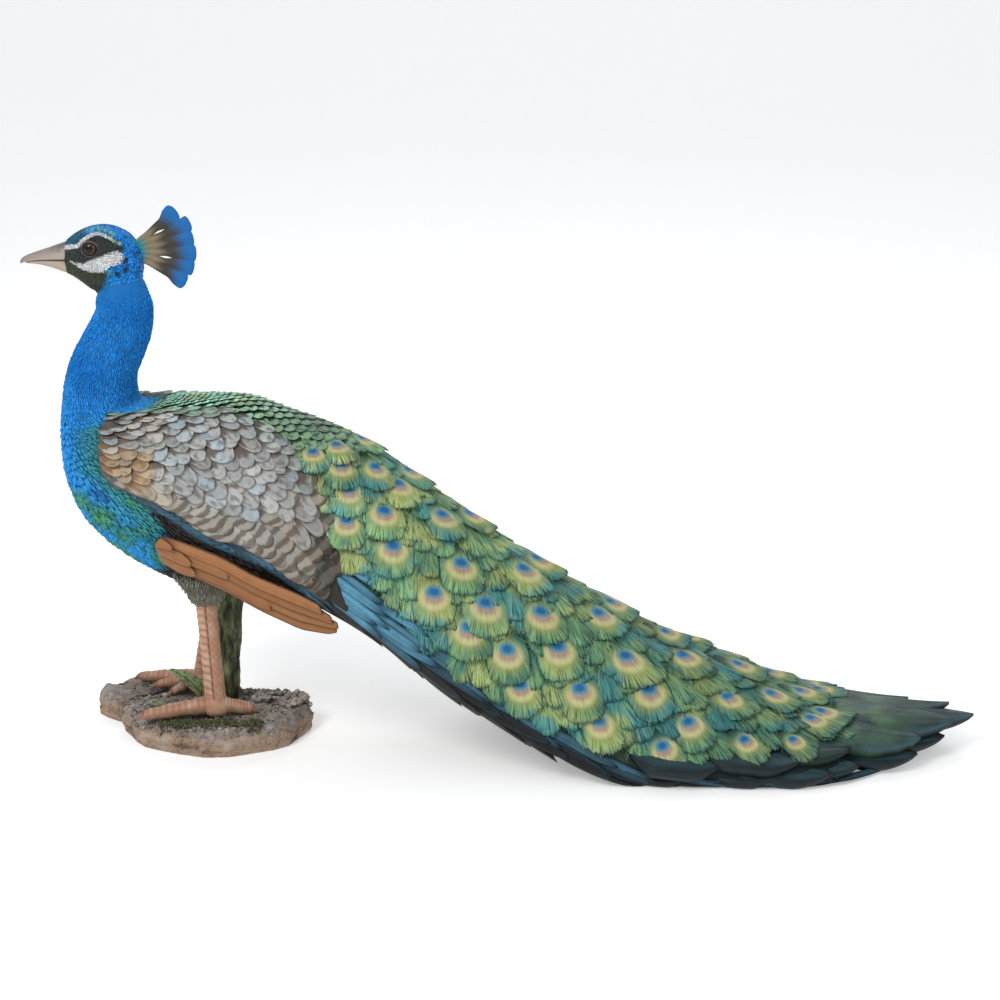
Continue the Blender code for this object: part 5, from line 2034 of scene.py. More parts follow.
@dataclass
class Skin:
    """One smooth skin for the head, neck, body, train and thighs, inside the solids by the coat's depth."""

    voxel: float = 2.2 * MM
    head_depth: float = 0.9 * MM
    neck_depth: float = 1.0 * MM
    body_depth: float = 2.0 * MM
    train_depth: float = 6.5 * MM
    hips: tuple[tuple[float, float, float], ...] = ((-0.013, -0.038, 0.190), (-0.008, 0.036, 0.190))
    ankles: tuple[tuple[float, float, float], ...] = ((-0.003, -0.042, 0.056), (-0.034, 0.044, 0.056))
    knee_height: float = KNEE_HEIGHT
    tree: BVHTree | None = None
    normals: np.ndarray | None = None

    def depth(self, place: np.ndarray) -> np.ndarray:
        """How far the skin is inside the body's solid."""
        neck = self.neck_depth + (self.body_depth - self.neck_depth) * smooth(place, 5.5, 8.0)
        return neck + (self.train_depth - self.body_depth) * smooth(place, 11.5, 14.0)

    def body_shell(self) -> Shape:
        """The body and the train.

        Returns:
            The closed shape.
        """
        places = np.linspace(0.02, TRAIN_END, 300)
        girth = np.interp(places, BODY.places, BODY.girth)
        share = np.linspace(-1.0, 1.0, 120, endpoint=False)
        grid_place = np.repeat(places[:, None], len(share), 1)
        points, normals = BODY.at(grid_place, share[None] * girth[:, None])
        rings = points - normals * self.depth(grid_place)[..., None]
        rings[..., 2] = np.maximum(rings[..., 2], 0.6 * MM)
        return closed_tube(rings)

    def head_shell(self) -> Shape:
        """The head.

        Returns:
            The closed shape.
        """
        places = np.linspace(0.0, HEAD.places[-1], 60)
        girth = np.interp(places, HEAD.places, HEAD.girth)
        share = np.linspace(-1.0, 1.0, 64, endpoint=False)
        grid_place = np.repeat(places[:, None], len(share), 1)
        points, normals = HEAD.at(grid_place, share[None] * girth[:, None])
        return closed_tube(points - normals * self.head_depth)

    def thigh_spine(self, index: int) -> list[np.ndarray]:
        """The line down the middle of a thigh, from inside the body to the feathered end.

        Args:
            index: 0 for the left thigh and 1 for the right one.

        Returns:
            The line's points.
        """
        hip, ankle = np.array(self.hips[index]), np.array(self.ankles[index])
        share = (self.knee_height - hip[2]) / (ankle[2] - hip[2])
        knee = hip + (ankle - hip) * share
        top = hip + np.array([0.0, -0.2 * hip[1], 0.035])
        return [top, hip, knee + (0, 0, 0.012), knee + (0, 0, -0.001)]

    def thigh_shell(self, index: int) -> Shape:
        """One thigh.

        Args:
            index: 0 for the left thigh and 1 for the right one.

        Returns:
            The closed shape.
        """
        radii = ((0.037, 0.025), (0.033, 0.022), (0.0215, 0.0150), (0.0150, 0.0115))
        rings, _, _ = limb_rings(self.thigh_spine(index), radii, 28, 24)
        return closed_tube(rings)

    def build(self, face: FaceMarks) -> bpy.types.Object:
        """Makes the skin.

        Args:
            face: The markings of the face.

        Returns:
            The piece.
        """
        whole = self.body_shell().joined(self.head_shell())
        for index in range(2):
            whole = whole.joined(self.thigh_shell(index))
        mesh = remeshed(whole, self.voxel, 6)
        points = mesh_points(mesh)
        points[:, 2] = np.maximum(points[:, 2], 0.5 * MM)
        set_points(mesh, self.sculpted(points, mesh_normals(mesh), face))
        points = mesh_points(mesh)
        place, reach = nearest_places(points)
        colours = body_tint(place, reach, points)
        on_head = smooth(points[:, 2], 0.492, 0.500) * smooth(points[:, 0], -0.06, -0.07)
        colours = colours * (1 - on_head[:, None]) + face.tint(points) * on_head[:, None]
        thigh = smooth(points[:, 2], 0.182, 0.172) * smooth(points[:, 0], 0.045, 0.035)
        colours = lay_over(colours, thigh, (0.16, 0.14, 0.11))
        keep_numbers(mesh, {"tint": colours}, {})
        flat = BODY.spread(place, reach)
        spread_map(mesh, flat)
        work = bmesh.new()
        work.from_mesh(mesh)
        self.tree = BVHTree.FromBMesh(work)
        work.free()
        self.normals = mesh_normals(mesh)
        skin = add_piece("skin", mesh, SkinPaint().mix(), "blue_feather")
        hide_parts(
            "head", "neck_upper", "neck_lower", "breast", "trunk", "rump", "train_upper",
            "train_middle", "train_lower", "train_end", "thigh_left", "thigh_right",
        )
        return skin

    def sculpted(self, points: np.ndarray, normals: np.ndarray, face: FaceMarks) -> np.ndarray:
        """The skin's points with the face's relief: brow, eye socket, cheek and the corner of the bill.

        Args:
            points: The points.
            normals: Their normals.
            face: The markings of the face.

        Returns:
            The moved points.
        """
        x, y, z = points.T
        side = smooth(np.abs(y), 6 * MM, 13 * MM) * smooth(z, 0.485, 0.500)
        away = np.hypot(x - face.eye[0], z - face.eye[1])
        lift = -1.3 * MM * smooth(away, 9.5 * MM, 5.0 * MM)
        brow, along = to_line(x, z, face.stripe)
        lift = lift + 0.8 * MM * smooth(brow, 4.5 * MM, 0.5 * MM) * smooth(along, 1.0, 0.8)
        lift = lift + 1.1 * MM * inside(x, z, face.cheek, 2.5 * MM)
        lores = np.hypot(x + 0.1440, (z - 0.5240) * 1.6)
        lift = lift - 0.8 * MM * smooth(lores, 8 * MM, 2 * MM)
        return points + normals * (lift * side)[:, None]

    def settle(self, points: np.ndarray) -> tuple[np.ndarray, np.ndarray, np.ndarray]:
        """The nearest points of the skin.

        Args:
            points: Points near it.

        Returns:
            The nearest points, their normals and how far each is.
        """
        found, normal, away = np.empty_like(points), np.empty_like(points), np.empty(len(points))
        for k, at in enumerate(points):
            where, out, _, far = self.tree.find_nearest(Vector(at))
            found[k], normal[k], away[k] = where, out, far
        return found, normal, away


def nearest_places(points: np.ndarray) -> tuple[np.ndarray, np.ndarray]:
    """The places and reaches on the body that are nearest to points.

    Args:
        points: The points.

    Returns:
        Section numbers, and distances round from the top, negative on the left.
    """
    rows = np.arange(0, len(BODY.places), 3)
    steps = np.arange(0, BODY.grid.shape[1], 4)
    grid = BODY.grid[np.ix_(rows, steps)]
    share = (steps - BODY.middle) / BODY.middle
    tree = KDTree(grid.shape[0] * grid.shape[1])
    for k, at in enumerate(grid.reshape(-1, 3)):
        tree.insert(at, k)
    tree.balance()
    index = np.array([tree.find(at)[1] for at in points])
    i, j = index // len(steps), index % len(steps)
    place = BODY.places[rows[i]]
    return place, share[j] * BODY.girth[rows[i]]


# ---------------------------------------------------------------------------------------------------------
# The coat
# ---------------------------------------------------------------------------------------------------------


def courses(
    hide: Hide, first: float, last: float, pitch: Callable[[float], float], gap: Callable[[float], float],
    low: Callable[[float], float], high: Callable[[float], float], rng: np.random.Generator,
    loose: float = 0.15,
) -> tuple[np.ndarray, np.ndarray]:
    """Points in staggered courses over a hide.

    Args:
        hide: The hide.
        first: The first course's section number.
        last: Where the courses end.
        pitch: The distance between courses, at a section number.
        gap: The distance between the points of a course, at a section number.
        low: The reach that a course starts at.
        high: The reach that a course ends at.
        rng: Where the small shifts come from.
        loose: The largest shift, as a share of the distances.

    Returns:
        Section numbers and reaches.
    """
    places, reaches = [], []
    place, odd = first, 0.0
    while place <= last:
        start, end, step = low(place), high(place), gap(place)
        count = int((end - start) / step + 1.0 - odd)
        pace = float(hide.pace_at(np.array([place]), np.array([(start + end) / 2]))[0])
        if count > 0:
            reaches.append(start + (np.arange(count) + odd) * step + rng.uniform(-loose, loose, count) * step)
            places.append(place + rng.uniform(-loose, loose, count) * pitch(place) / pace)
        place += pitch(place) / pace
        odd = 0.5 - odd
    return np.concatenate(places), np.concatenate(reaches)


def headings(
    hide: Hide, place: np.ndarray, reach: np.ndarray, turn: np.ndarray
) -> tuple[np.ndarray, np.ndarray, np.ndarray]:
    """Points, normals and directions over a hide.

    Args:
        hide: The hide.
        place: Section numbers.
        reach: Distances round from the top, negative on the left.
        turn: Angles in radians from the tail's direction towards the underside.

    Returns:
        The points, the normals and the unit directions.
    """
    point, normal = hide.at(place, reach)
    along = unit(hide.at(place + 0.04, reach)[0] - hide.at(place - 0.04, reach)[0])
    around = np.cross(along, normal)
    under = np.where(reach[:, None] > 0, 1.0, -1.0) * around
    probe = hide.at(place, reach + 1.0 * MM)[0] - hide.at(place, reach - 1.0 * MM)[0]
    under *= np.sign((around * probe).sum(axis=1, keepdims=True))
    return point, normal, along * np.cos(turn)[:, None] + under * np.sin(turn)[:, None]


def grain_cloud(
    skin: Skin, hide: Hide, place: np.ndarray, reach: np.ndarray, turn: np.ndarray, size: np.ndarray,
    tint: Callable[[np.ndarray], np.ndarray], rng: np.random.Generator, depth: float, sink: float,
    lean: float = 0.12, keep: Callable[[np.ndarray], np.ndarray] | None = None,
) -> Cloud:
    """A cloud of small vanes or beads on the skin.

    Args:
        skin: The skin.
        hide: The hide that the places are on.
        place: Section numbers.
        reach: Distances round from the top, negative on the left.
        turn: Angles in radians from the tail's direction.
        size: The length, width and height of each.
        tint: The markings, from points.
        rng: Where the small differences come from.
        depth: How far the skin is inside the hide.
        sink: How far each one's root goes into the skin.
        lean: How much the tips lift.
        keep: Which points are used, from points, or nothing.

    Returns:
        The cloud.
    """
    point, normal, ahead = headings(hide, place, reach, turn)
    found, out, _ = skin.settle(point - normal * depth)
    off = ((point - normal * depth - found) * out).sum(axis=1)
    good = (off > -2.2 * MM) & (np.abs(off) < 6.0 * MM) & (found[:, 2] > 0.0)
    if keep is not None:
        good &= keep(found)
    found, out, ahead, size = found[good], out[good], ahead[good], size[good]
    colours = tint(found) * rng.uniform(0.72, 1.22, (len(found), 1))
    turns = turns_of(ahead, out - lean * ahead)
    turns = turns + rng.normal(0.0, 0.05, turns.shape)
    flat = hide.spread(place[good], reach[good])
    return Cloud(found - out * sink, turns, size, np.clip(colours, 0.0, 1.0), flat)


@dataclass
class NeckCoat:
    """Small narrow vanes over the neck and the breast, in courses that run down the neck."""

    first: float = 0.1
    last: float = 12.4
    length: float = 6.2 * MM
    width: float = 2.0 * MM
    seed: int = 11

    def grow(self, place: np.ndarray) -> np.ndarray:
        """How much larger the vanes are at places: more towards the breast."""
        return 1.0 + 0.85 * smooth(place, 4.0, 8.5)

    def lay(self, rng: np.random.Generator) -> tuple[np.ndarray, np.ndarray]:
        """Where the vanes stand on one side: the whole neck, and the breast below the wing.

        Args:
            rng: Where the small shifts come from.

        Returns:
            Section numbers and reaches.
        """

        def low(place: float) -> float:
            """The reach that a course starts at."""
            edge = np.interp(place, [0.0, 6.3, 7.1, 7.8, 8.3, 12.5], [0.0, 0.0, 62.0, 84.0, 96.0, 98.0])
            return float(BODY.reach_of(place, np.radians(edge)))

        def high(place: float) -> float:
            """The reach that a course ends at."""
            return float(np.interp(place, BODY.places, BODY.girth))

        return courses(
            BODY, self.first, self.last, lambda p: 3.3 * MM * float(self.grow(p)),
            lambda p: 2.0 * MM * float(self.grow(p)), low, high, rng, 0.25,
        )

    def build(self, skin: Skin) -> list[bpy.types.Object]:
        """Makes the coat.

        Args:
            skin: The skin that it stands on.

        Returns:
            The pieces, one for each side.
        """
        paint = HairPaint("painted_neck_vanes").mix()
        pieces = []
        for side, name in SIDES:
            rng = np.random.default_rng(self.seed + side)
            place, reach = self.lay(rng)
            grow = self.grow(place) * (0.55 + 0.45 * smooth(place, 0.4, 2.0))
            ruff = 1.0 + 0.25 * rng.random(len(place))
            tall = (1.2 + 0.9 * smooth(place, 0.6, 2.4)) * MM
            size = np.stack([self.length * grow * ruff, self.width * grow, tall * grow * ruff], -1)
            turn = rng.normal(0.0, 0.10, len(place)) + 0.25 * smooth(place, 6.0, 9.0)
            depth = skin.depth(place)

            def tint(points: np.ndarray) -> np.ndarray:
                """The body's colours at points."""
                where, round_ = nearest_places(points)
                return body_tint(where, round_, points)

            cloud = grain_cloud(
                skin, BODY, place, reach * side, turn, size, tint, rng, depth[:, None], 0.5 * MM, 0.12,
                lambda at: at[:, 2] - 0.25 * at[:, 0] < 0.521,
            )
            pieces.append(stand_piece(f"neck_vanes_{name}", Grain.HAIR, cloud, paint, "blue_feather"))
        return pieces


@dataclass
class HeadCoat:
    """Small beads over the head, which carry the marks of the face."""

    pitch: float = 1.75 * MM
    seed: int = 23
    eye_reach: float = 7.6 * MM

    def gap(self, place: float) -> float:
        """How far apart the beads are: wider towards the nape."""
        return self.pitch * float(np.interp(place, [3.0, 5.5], [1.0, 1.45]))

    def marked(self, face: FaceMarks, rng: np.random.Generator) -> Callable[[np.ndarray], np.ndarray]:
        """The face's colours, where some beads of the throat, the crown and the nape are darker or bluer.

        Args:
            face: The marks of the face.
            rng: Where the small differences come from.

        Returns:
            A way to get colours from points.
        """

        def tint(points: np.ndarray) -> np.ndarray:
            """The colours at points.

            Args:
                points: The points.

            Returns:
                A colour for each.
            """
            colours = face.tint(points)
            pale = smooth(colours.min(axis=1), 0.20, 0.45)
            dark = (rng.random(len(points)) < 0.22) * (1.0 - pale)
            return lay_over(colours, dark * 0.55, (0.010, 0.030, 0.050))

        return tint

    def build(self, skin: Skin, face: FaceMarks) -> bpy.types.Object:
        """Makes the coat.

        Args:
            skin: The skin that it stands on.
            face: The marks of the face.

        Returns:
            The piece.
        """
        rng = np.random.default_rng(self.seed)
        place, reach = courses(
            HEAD, 0.35, len(HEAD_SECTIONS) - 1.15, self.gap, self.gap,
            lambda p: -float(np.interp(p, HEAD.places, HEAD.girth)),
            lambda p: float(np.interp(p, HEAD.places, HEAD.girth)), rng, 0.18,
        )
        point, _ = HEAD.at(place, reach)
        back = smooth(point[:, 0], -0.125, -0.085)
        long, wide = 2.2 * MM * (1 + 0.40 * back), 2.1 * MM * (1 + 0.32 * back)
        size = np.stack([long, wide, 1.6 * MM * (1 + 0.5 * back)], -1)
        size *= rng.uniform(0.85, 1.15, (len(place), 1))
        turn = rng.normal(0.0, 0.15, len(place)) + 0.3

        def keep(at: np.ndarray) -> np.ndarray:
            """Which points have a bead: none on the eyes, under the crest or inside the bill.

            Args:
                at: The points.

            Returns:
                True where a bead stands.
            """
            away = np.hypot(at[:, 0] - face.eye[0], at[:, 2] - face.eye[1])
            crest = (np.abs(at[:, 1]) < 4.0 * MM) & (at[:, 2] > 0.533) & (at[:, 0] > -0.098)
            return ((away > self.eye_reach) | (np.abs(at[:, 1]) < 0.010)) & ~crest & (at[:, 0] > -0.1545)

        paint = HairPaint("painted_head_beads", rough=0.45, root_dark=0.72, mottle=0.18).mix()
        cloud = grain_cloud(
            skin, HEAD, place, reach, turn, size, self.marked(face, rng), rng, skin.head_depth, 0.15 * MM,
            0.10, keep,
        )
        return stand_piece("head_beads", Grain.BEAD, cloud, paint, "blue_feather")


@dataclass
class Mantle:
    """Green scales over the back, from between the wings to the start of the train."""

    first: float = 6.9
    last: float = 12.9
    seed: int = 31

    def build(self) -> bpy.types.Object:
        """Makes the scales.

        Returns:
            The piece.
        """
        rng = np.random.default_rng(self.seed)

        def gap(place: float) -> float:
            """How far apart the scales are, which is also their size."""
            return float(np.interp(place, [6.9, 8.0, 10.0, 13.0], [6.0, 8.0, 11.0, 16.0])) * MM

        def high(place: float) -> float:
            """The reach that a course ends at: just under the wing's edge.

            Args:
                place: The section number of the course.

            Returns:
                The reach.
            """
            edge = float(edge_angle(WING_TOP_EDGE, np.array(place))) + math.radians(6)
            last = math.radians(float(np.interp(place, [11.2, 12.4], [60.0, 30.0])))
            return float(BODY.reach_of(place, min(edge, last)))

        place, reach = courses(
            BODY, self.first, self.last, lambda p: gap(p) * 0.72, gap, lambda p: 0.0, high, rng, 0.10
        )
        point, _ = BODY.at(place, reach)
        size = np.array([gap(p) for p in place])
        yellow = smooth(wavy(point, 70.0), -0.3, 0.6) * 0.7
        tint = lay_over(np.tile(MANTLE_GREEN, (len(place), 1)), yellow, YELLOW_GREEN)
        tint = lay_over(tint, smooth(place, 7.6, 6.9) * 0.5, (0.10, 0.38, 0.30))
        tint = lay_over(tint, smooth(place, 9.0, 11.5) * 0.75, (0.22, 0.36, 0.19))
        light = np.interp(place, [7.0, 8.4, 10.0, 11.4, 12.8], [1.65, 1.45, 1.05, 0.74, 0.62])
        tint *= rng.uniform(0.75, 1.2, (len(place), 1)) * light[:, None]
        turn = np.minimum(0.15 + reach / 0.045 * 0.5, 0.75)
        turn = np.where(reach < 2 * MM, 0.0, turn)
        raised = np.interp(place, [6.7, 7.2, 9.6, 10.8], [0.0, 4.4, 3.6, 0.0]) * MM
        raised = raised * smooth(reach, 40 * MM, 20 * MM)
        lay = make_lay(
            place, reach, turn, size * 1.55, size * 1.28, LEFT, rng, tint, rim=DARK_GREEN, lift=raised
        )
        lay = both_sides(lay)
        cut = VaneCut(
            root_width=0.8, tip_width=0.85, belly=0.5, tip_power=2.0, root_sink=1.6 * MM, tip_lift=1.3 * MM,
            rise=0.9, camber=1.2 * MM, thickness=0.9 * MM, groove=0.15 * MM,
        )
        shape, flat = lay_vanes(BODY, lay, cut)
        return add_shape("mantle_scales", shape, flat, ScalePaint("painted_mantle").mix(), "green_scale")


def covert_height(place: np.ndarray, reach: np.ndarray) -> np.ndarray:
    """How far a wing stands out from the body, at places and reaches: nothing outside its edges.

    Args:
        place: Section numbers.
        reach: Distances round from the top.

    Returns:
        The heights.
    """
    angle = BODY.angle_of(place, reach)
    top, low = edge_angle(WING_TOP_EDGE, place), edge_angle(WING_LOW_EDGE, place)
    u = (place - WING_TOP_EDGE[0][0]) / (WING_TOP_EDGE[-1][0] - WING_TOP_EDGE[0][0])
    v = (angle - top) / np.maximum(low - top, 0.02)
    rise = np.clip(5.0 * u, 0, 1) * np.clip(2.4 * v, 0, 1) * (1.0 - 0.5 * np.maximum(0.0, v - 0.75))
    full = WING_RIM + (WING_THICKNESS - WING_RIM) * rise * (1.0 - 0.55 * np.clip(u, 0, 1) ** 2)
    return full * smooth(v, -0.12, 0.0) * smooth(u, -0.03, 0.02) * smooth(v, 1.12, 1.02)


@dataclass
class Wing:
    """One folded wing: a slab with rounded scales in front and long barred vanes behind."""

    side: int
    name: str
    seed: int = 41
    first_row: float = 10.0 * MM
    last_row: float = 160.0 * MM
    # Where the vanes get smaller towards the front.
    front_x: tuple[float, ...] = (-0.125, -0.100, -0.060, -0.020)

    def edge(self, edges: Sequence[tuple[float, float]], place: float) -> float:
        """The reach of one of the wing's edges."""
        return float(BODY.reach_of(place, float(edge_angle(edges, np.array(place)))))

    def slab(self) -> bpy.types.Object:
        """The slab that the vanes stand on, a little inside the solid.

        Returns:
            The piece.
        """
        places = np.linspace(WING_TOP_EDGE[0][0] + 0.02, WING_TOP_EDGE[-1][0] - 0.02, 110)
        v = np.linspace(0.0, 1.0, 44)
        top = BODY.reach_of(places, edge_angle(WING_TOP_EDGE, places))
        low = BODY.reach_of(places, edge_angle(WING_LOW_EDGE, places))
        reach = top[:, None] + (low - top)[:, None] * v[None]
        place = np.repeat(places[:, None], len(v), 1)
        point, normal = BODY.at(place, reach * self.side)
        rim = np.minimum(np.minimum(v, 1 - v)[None] / 0.05, 1.0)
        outer = point + normal * (covert_height(place, reach) * 0.50 * (0.35 + 0.65 * rim))[..., None]
        inner = point - normal * 2.0 * MM
        ring = np.concatenate([outer, inner[:, ::-1]], axis=1)
        shape = closed_tube(ring)
        x = shape.points[:, 0]
        # Painted shade: a dark grey-brown where the slab shows between the scales; teal in front, and the
        # wing tips' dark brown at the rear.
        colours = np.tile((0.15, 0.14, 0.125), (len(x), 1))
        colours = lay_over(colours, smooth(x, -0.106, -0.114) * 0.8, (0.03, 0.12, 0.12))
        shape.colours["tint"] = lay_over(colours, smooth(x, 0.085, 0.115) * 0.9, (0.030, 0.026, 0.022))
        flat = BODY.spread(place, reach * self.side)
        flat = np.concatenate([flat, flat[:, ::-1]], axis=1).reshape(-1, 2)
        flat = np.concatenate([flat, flat[:1], flat[-1:]])
        paint = SkinPaint(f"painted_wing_slab_{self.name}").mix()
        slab = add_shape(f"wing_slab_{self.name}", shape, flat, paint, "grey_feather", True)
        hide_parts(f"wing_coverts_{self.name}")
        return slab

    def grid(
        self, first: float, last: float, low: Sequence[tuple[float, float]],
        high: Sequence[tuple[float, float]], pitch: float, gap: float,
    ) -> list[tuple[float, float]]:
        """Places and reaches in staggered rows over the wing.

        Args:
            first: The section number that rows start at.
            last: Where they end.
            low: The least share of the way down the wing, at section numbers.
            high: The largest share, at section numbers.
            pitch: The distance between rows.
            gap: The distance along a row, which gets smaller towards the front.

        Returns:
            A section number and a reach for each vane.
        """
        found = []
        reach, row = self.first_row, 0
        while reach < self.last_row:
            place = first + (0.25 if row % 2 else 0.0)
            while place < last:
                top, edge = self.edge(WING_TOP_EDGE, place), self.edge(WING_LOW_EDGE, place)
                share = (reach - top) / (edge - top)
                ends = [float(np.interp(place, *zip(*line))) for line in (low, high)]
                if ends[0] < share < ends[1]:
                    found.append((place, reach))
                x = float(BODY.at(np.array([place]), np.array([reach]))[0][0, 0])
                step = gap * float(np.interp(x, self.front_x, [0.50, 0.64, 0.85, 1.0]))
                place += step / float(BODY.pace_at(np.array([place]), np.array([reach]))[0])
            reach += pitch
            row += 1
        return found

    def tints(
        self, place: np.ndarray, reach: np.ndarray, rng: np.random.Generator
    ) -> tuple[np.ndarray, np.ndarray]:
        """The tints and the rims of rounded vanes.

        Args:
            place: Section numbers.
            reach: Distances round from the top.
            rng: Where the small differences come from.

        Returns:
            The tints and the rims.
        """
        point, _ = BODY.at(place, reach * self.side)
        angle = np.degrees(BODY.angle_of(place, reach))
        tint = np.tile((0.345, 0.358, 0.352), (len(place), 1))
        tint = lay_over(tint, smooth(wavy(point, 75.0, 1.0), -0.1, 0.5) * 0.6, (0.310, 0.420, 0.480))
        tint = lay_over(tint, smooth(wavy(point, 60.0, 5.0), 0.0, 0.7) * 0.5, (0.45, 0.40, 0.33))
        x, z = point[:, 0], point[:, 2]
        tint *= 1.0 + 0.18 * smooth(z, 0.345, 0.360)[:, None]
        tan = smooth(x, -0.116, -0.107) * smooth(x, -0.056, -0.070) * smooth(z, 0.344, 0.334)
        tint = lay_over(tint, tan * rng.uniform(0.55, 0.95, len(place)), (0.36, 0.245, 0.115))
        front = np.maximum(smooth(place, 7.0, 6.5) * 0.5, smooth(point[:, 0], -0.100, -0.109) * 0.8)
        tint = lay_over(tint, front * 0.7, (0.15, 0.22, 0.21))
        top = np.degrees(edge_angle(WING_TOP_EDGE, place))
        near_top = smooth(angle, top + 7, top) * smooth(place, 7.5, 9.5)
        tint = lay_over(tint, near_top * 0.45, (0.20, 0.29, 0.24))
        green = smooth(angle, top + 14, top + 5) * smooth(place, 9.4, 8.2)
        tint = lay_over(tint, green * 0.85, (0.20, 0.38, 0.27))
        rear = smooth(place, 11.0, 13.0)
        tint = lay_over(tint, rear * 0.7, (0.20, 0.175, 0.145))
        tint *= rng.uniform(0.70, 1.18, (len(place), 1))
        rim = np.tile((0.120, 0.095, 0.080), (len(place), 1))
        rim = lay_over(rim, tan, (0.21, 0.125, 0.065))
        return tint, lay_over(rim, near_top * 0.6, (0.05, 0.075, 0.05))

    def scales(self, rng: np.random.Generator) -> None:
        """The rounded scales in front, and the tongues between them and the barred vanes.

        Args:
            rng: Where the small differences come from.
        """
        bound = (
            (6.1, 1.02), (7.0, 0.98), (7.6, 0.94), (8.3, 0.91), (8.8, 0.84), (9.6, 0.58), (10.6, 0.40),
            (11.6, 0.24), (12.2, 0.08),
        )
        found = self.grid(5.93, 12.0, ((6.1, -0.05), (14.0, -0.04)), bound, 10.0 * MM, 17 * MM)
        place, reach = np.array(found).T
        place = place + rng.normal(0, 0.045, len(place))
        reach = reach + rng.normal(0, 1.2 * MM, len(reach))
        tint, rim = self.tints(place, reach, rng)
        turn = np.interp(place, [6.4, 8.0, 10.0, 13.0], [46.0, 36.0, 28.0, 22.0])
        turn = np.radians(turn + rng.normal(0, 7, len(place)))
        front = np.interp(BODY.at(place, reach)[0][:, 0], self.front_x, [0.52, 0.68, 0.90, 1.0])
        width = 18.5 * MM * front * rng.uniform(0.82, 1.12, len(place))
        length = 31.0 * MM * front**1.3 * rng.uniform(0.9, 1.1, len(place))
        lay = make_lay(place, reach, turn, length, width, self.side, rng, tint, rim=rim, lift=0.2 * MM)
        cut = VaneCut(
            columns=10, rows=10, root_width=0.75, tip_width=0.85, belly=0.50, tip_drop=0.46, tip_power=1.9,
            root_sink=2.2 * MM, tip_lift=3.4 * MM, rise=0.8, camber=3.2 * MM, thickness=1.4 * MM,
            groove=0.3 * MM, shaft=0.4 * MM,
        )
        shape, flat = lay_vanes(BODY, lay, cut, covert_height)
        bound = ((8.3, 1.0), (8.8, 0.98), (9.6, 0.80), (10.6, 0.66), (11.6, 0.52), (12.6, 0.40), (14.0, 0.2))
        over = ((8.3, 0.9), (8.8, 0.66), (9.6, 0.42), (10.6, 0.27), (11.6, 0.16), (12.6, 0.05), (14.0, 0.0))
        place, reach = np.array(self.grid(8.5, 12.5, over, bound, 15.0 * MM, 17 * MM)).T
        place = place + rng.normal(0, 0.03, len(place))
        tint, rim = self.tints(place, reach, rng)
        turn = np.radians(rng.normal(24.0, 4.0, len(place)))
        lay = make_lay(place, reach, turn, 46 * MM, 18 * MM, self.side, rng, tint, rim=rim, lift=-0.9 * MM)
        cut = VaneCut(
            columns=10, rows=12, root_width=0.75, tip_width=0.92, belly=0.6, tip_drop=0.26, tip_power=2.0,
            root_sink=2.0 * MM, tip_lift=2.4 * MM, rise=0.8, camber=2.2 * MM, thickness=1.3 * MM,
            groove=0.2 * MM, shaft=0.3 * MM,
        )
        tongues, more = lay_vanes(BODY, lay, cut, covert_height)
        paint = ScalePaint(f"painted_wing_{self.name}").mix()
        both = shape.joined(tongues)
        add_shape(f"wing_scales_{self.name}", both, np.concatenate([flat, more]), paint, "grey_feather")

    def barred(self, rng: np.random.Generator) -> None:
        """The long barred vanes of the lower and rear wing.

        Args:
            rng: Where the small differences come from.
        """
        rows = (
            (0.50, 9.3, 12.9, 7, 66.0), (0.66, 8.9, 12.7, 8, 72.0), (0.82, 8.6, 12.4, 8, 70.0),
            (0.96, 8.5, 12.2, 8, 66.0), (0.28, 11.4, 13.2, 5, 52.0), (0.06, 11.7, 12.9, 4, 44.0),
            (0.80, 12.5, 13.1, 3, 56.0),
        )
        places, reaches, lengths, lifts = [], [], [], []
        for share, first, last, count, length in rows:
            for k in range(count):
                place = first + (last - first) * k / (count - 1)
                top, low = self.edge(WING_TOP_EDGE, place), self.edge(WING_LOW_EDGE, place)
                places.append(place)
                reaches.append(top + (low - top) * min(share, 0.92))
                lengths.append(length * MM * (1.0 - 0.25 * max(0.0, place - 12.2)))
                lifts.append(-1.6 * MM - 0.5 * MM * share)
        place = np.array(places) + rng.normal(0, 0.03, len(places))
        reach = np.array(reaches) + rng.normal(0, 0.8 * MM, len(places))
        edge = edge_angle(WING_LOW_EDGE, np.clip(place + 0.8, 0, 14.2))
        close = smooth(np.degrees(edge - BODY.angle_of(place, reach)), 18, 3)
        turn = np.radians(rng.normal(20.0, 2.0, len(place))) * (1.0 - 0.75 * close)
        dark = smooth(place, 12.1, 12.7)
        tint = lay_over(np.full((len(place), 3), 0.92), smooth(place, 10.6, 12.6) * 0.6, (0.62, 0.54, 0.43))
        tint = lay_over(tint, dark * 0.85, (0.20, 0.19, 0.17))
        tint *= rng.uniform(0.80, 1.08, (len(place), 1))
        lay = make_lay(
            place, reach, turn, np.array(lengths), 25 * MM, self.side, rng, tint, lift=np.array(lifts)
        )
        cut = VaneCut(
            columns=12, rows=18, root_width=0.70, tip_width=0.85, belly=0.6, tip_drop=0.20, tip_power=1.8,
            root_sink=2.2 * MM, rise=0.8, camber=2.4 * MM, thickness=1.3 * MM, groove=0.35 * MM,
            shaft=0.5 * MM,
        )
        shape, flat = lay_vanes(BODY, lay.picked(np.lexsort((lay.place, lay.reach))), cut, covert_height, 6)
        paint = BarredPaint(f"painted_barred_{self.name}").mix()
        add_shape(f"wing_barred_{self.name}", shape, flat, paint, "grey_feather")

    def build(self) -> None:
        """Makes the wing."""
        rng = np.random.default_rng(self.seed)
        self.slab()
        self.scales(rng)
        self.barred(rng)


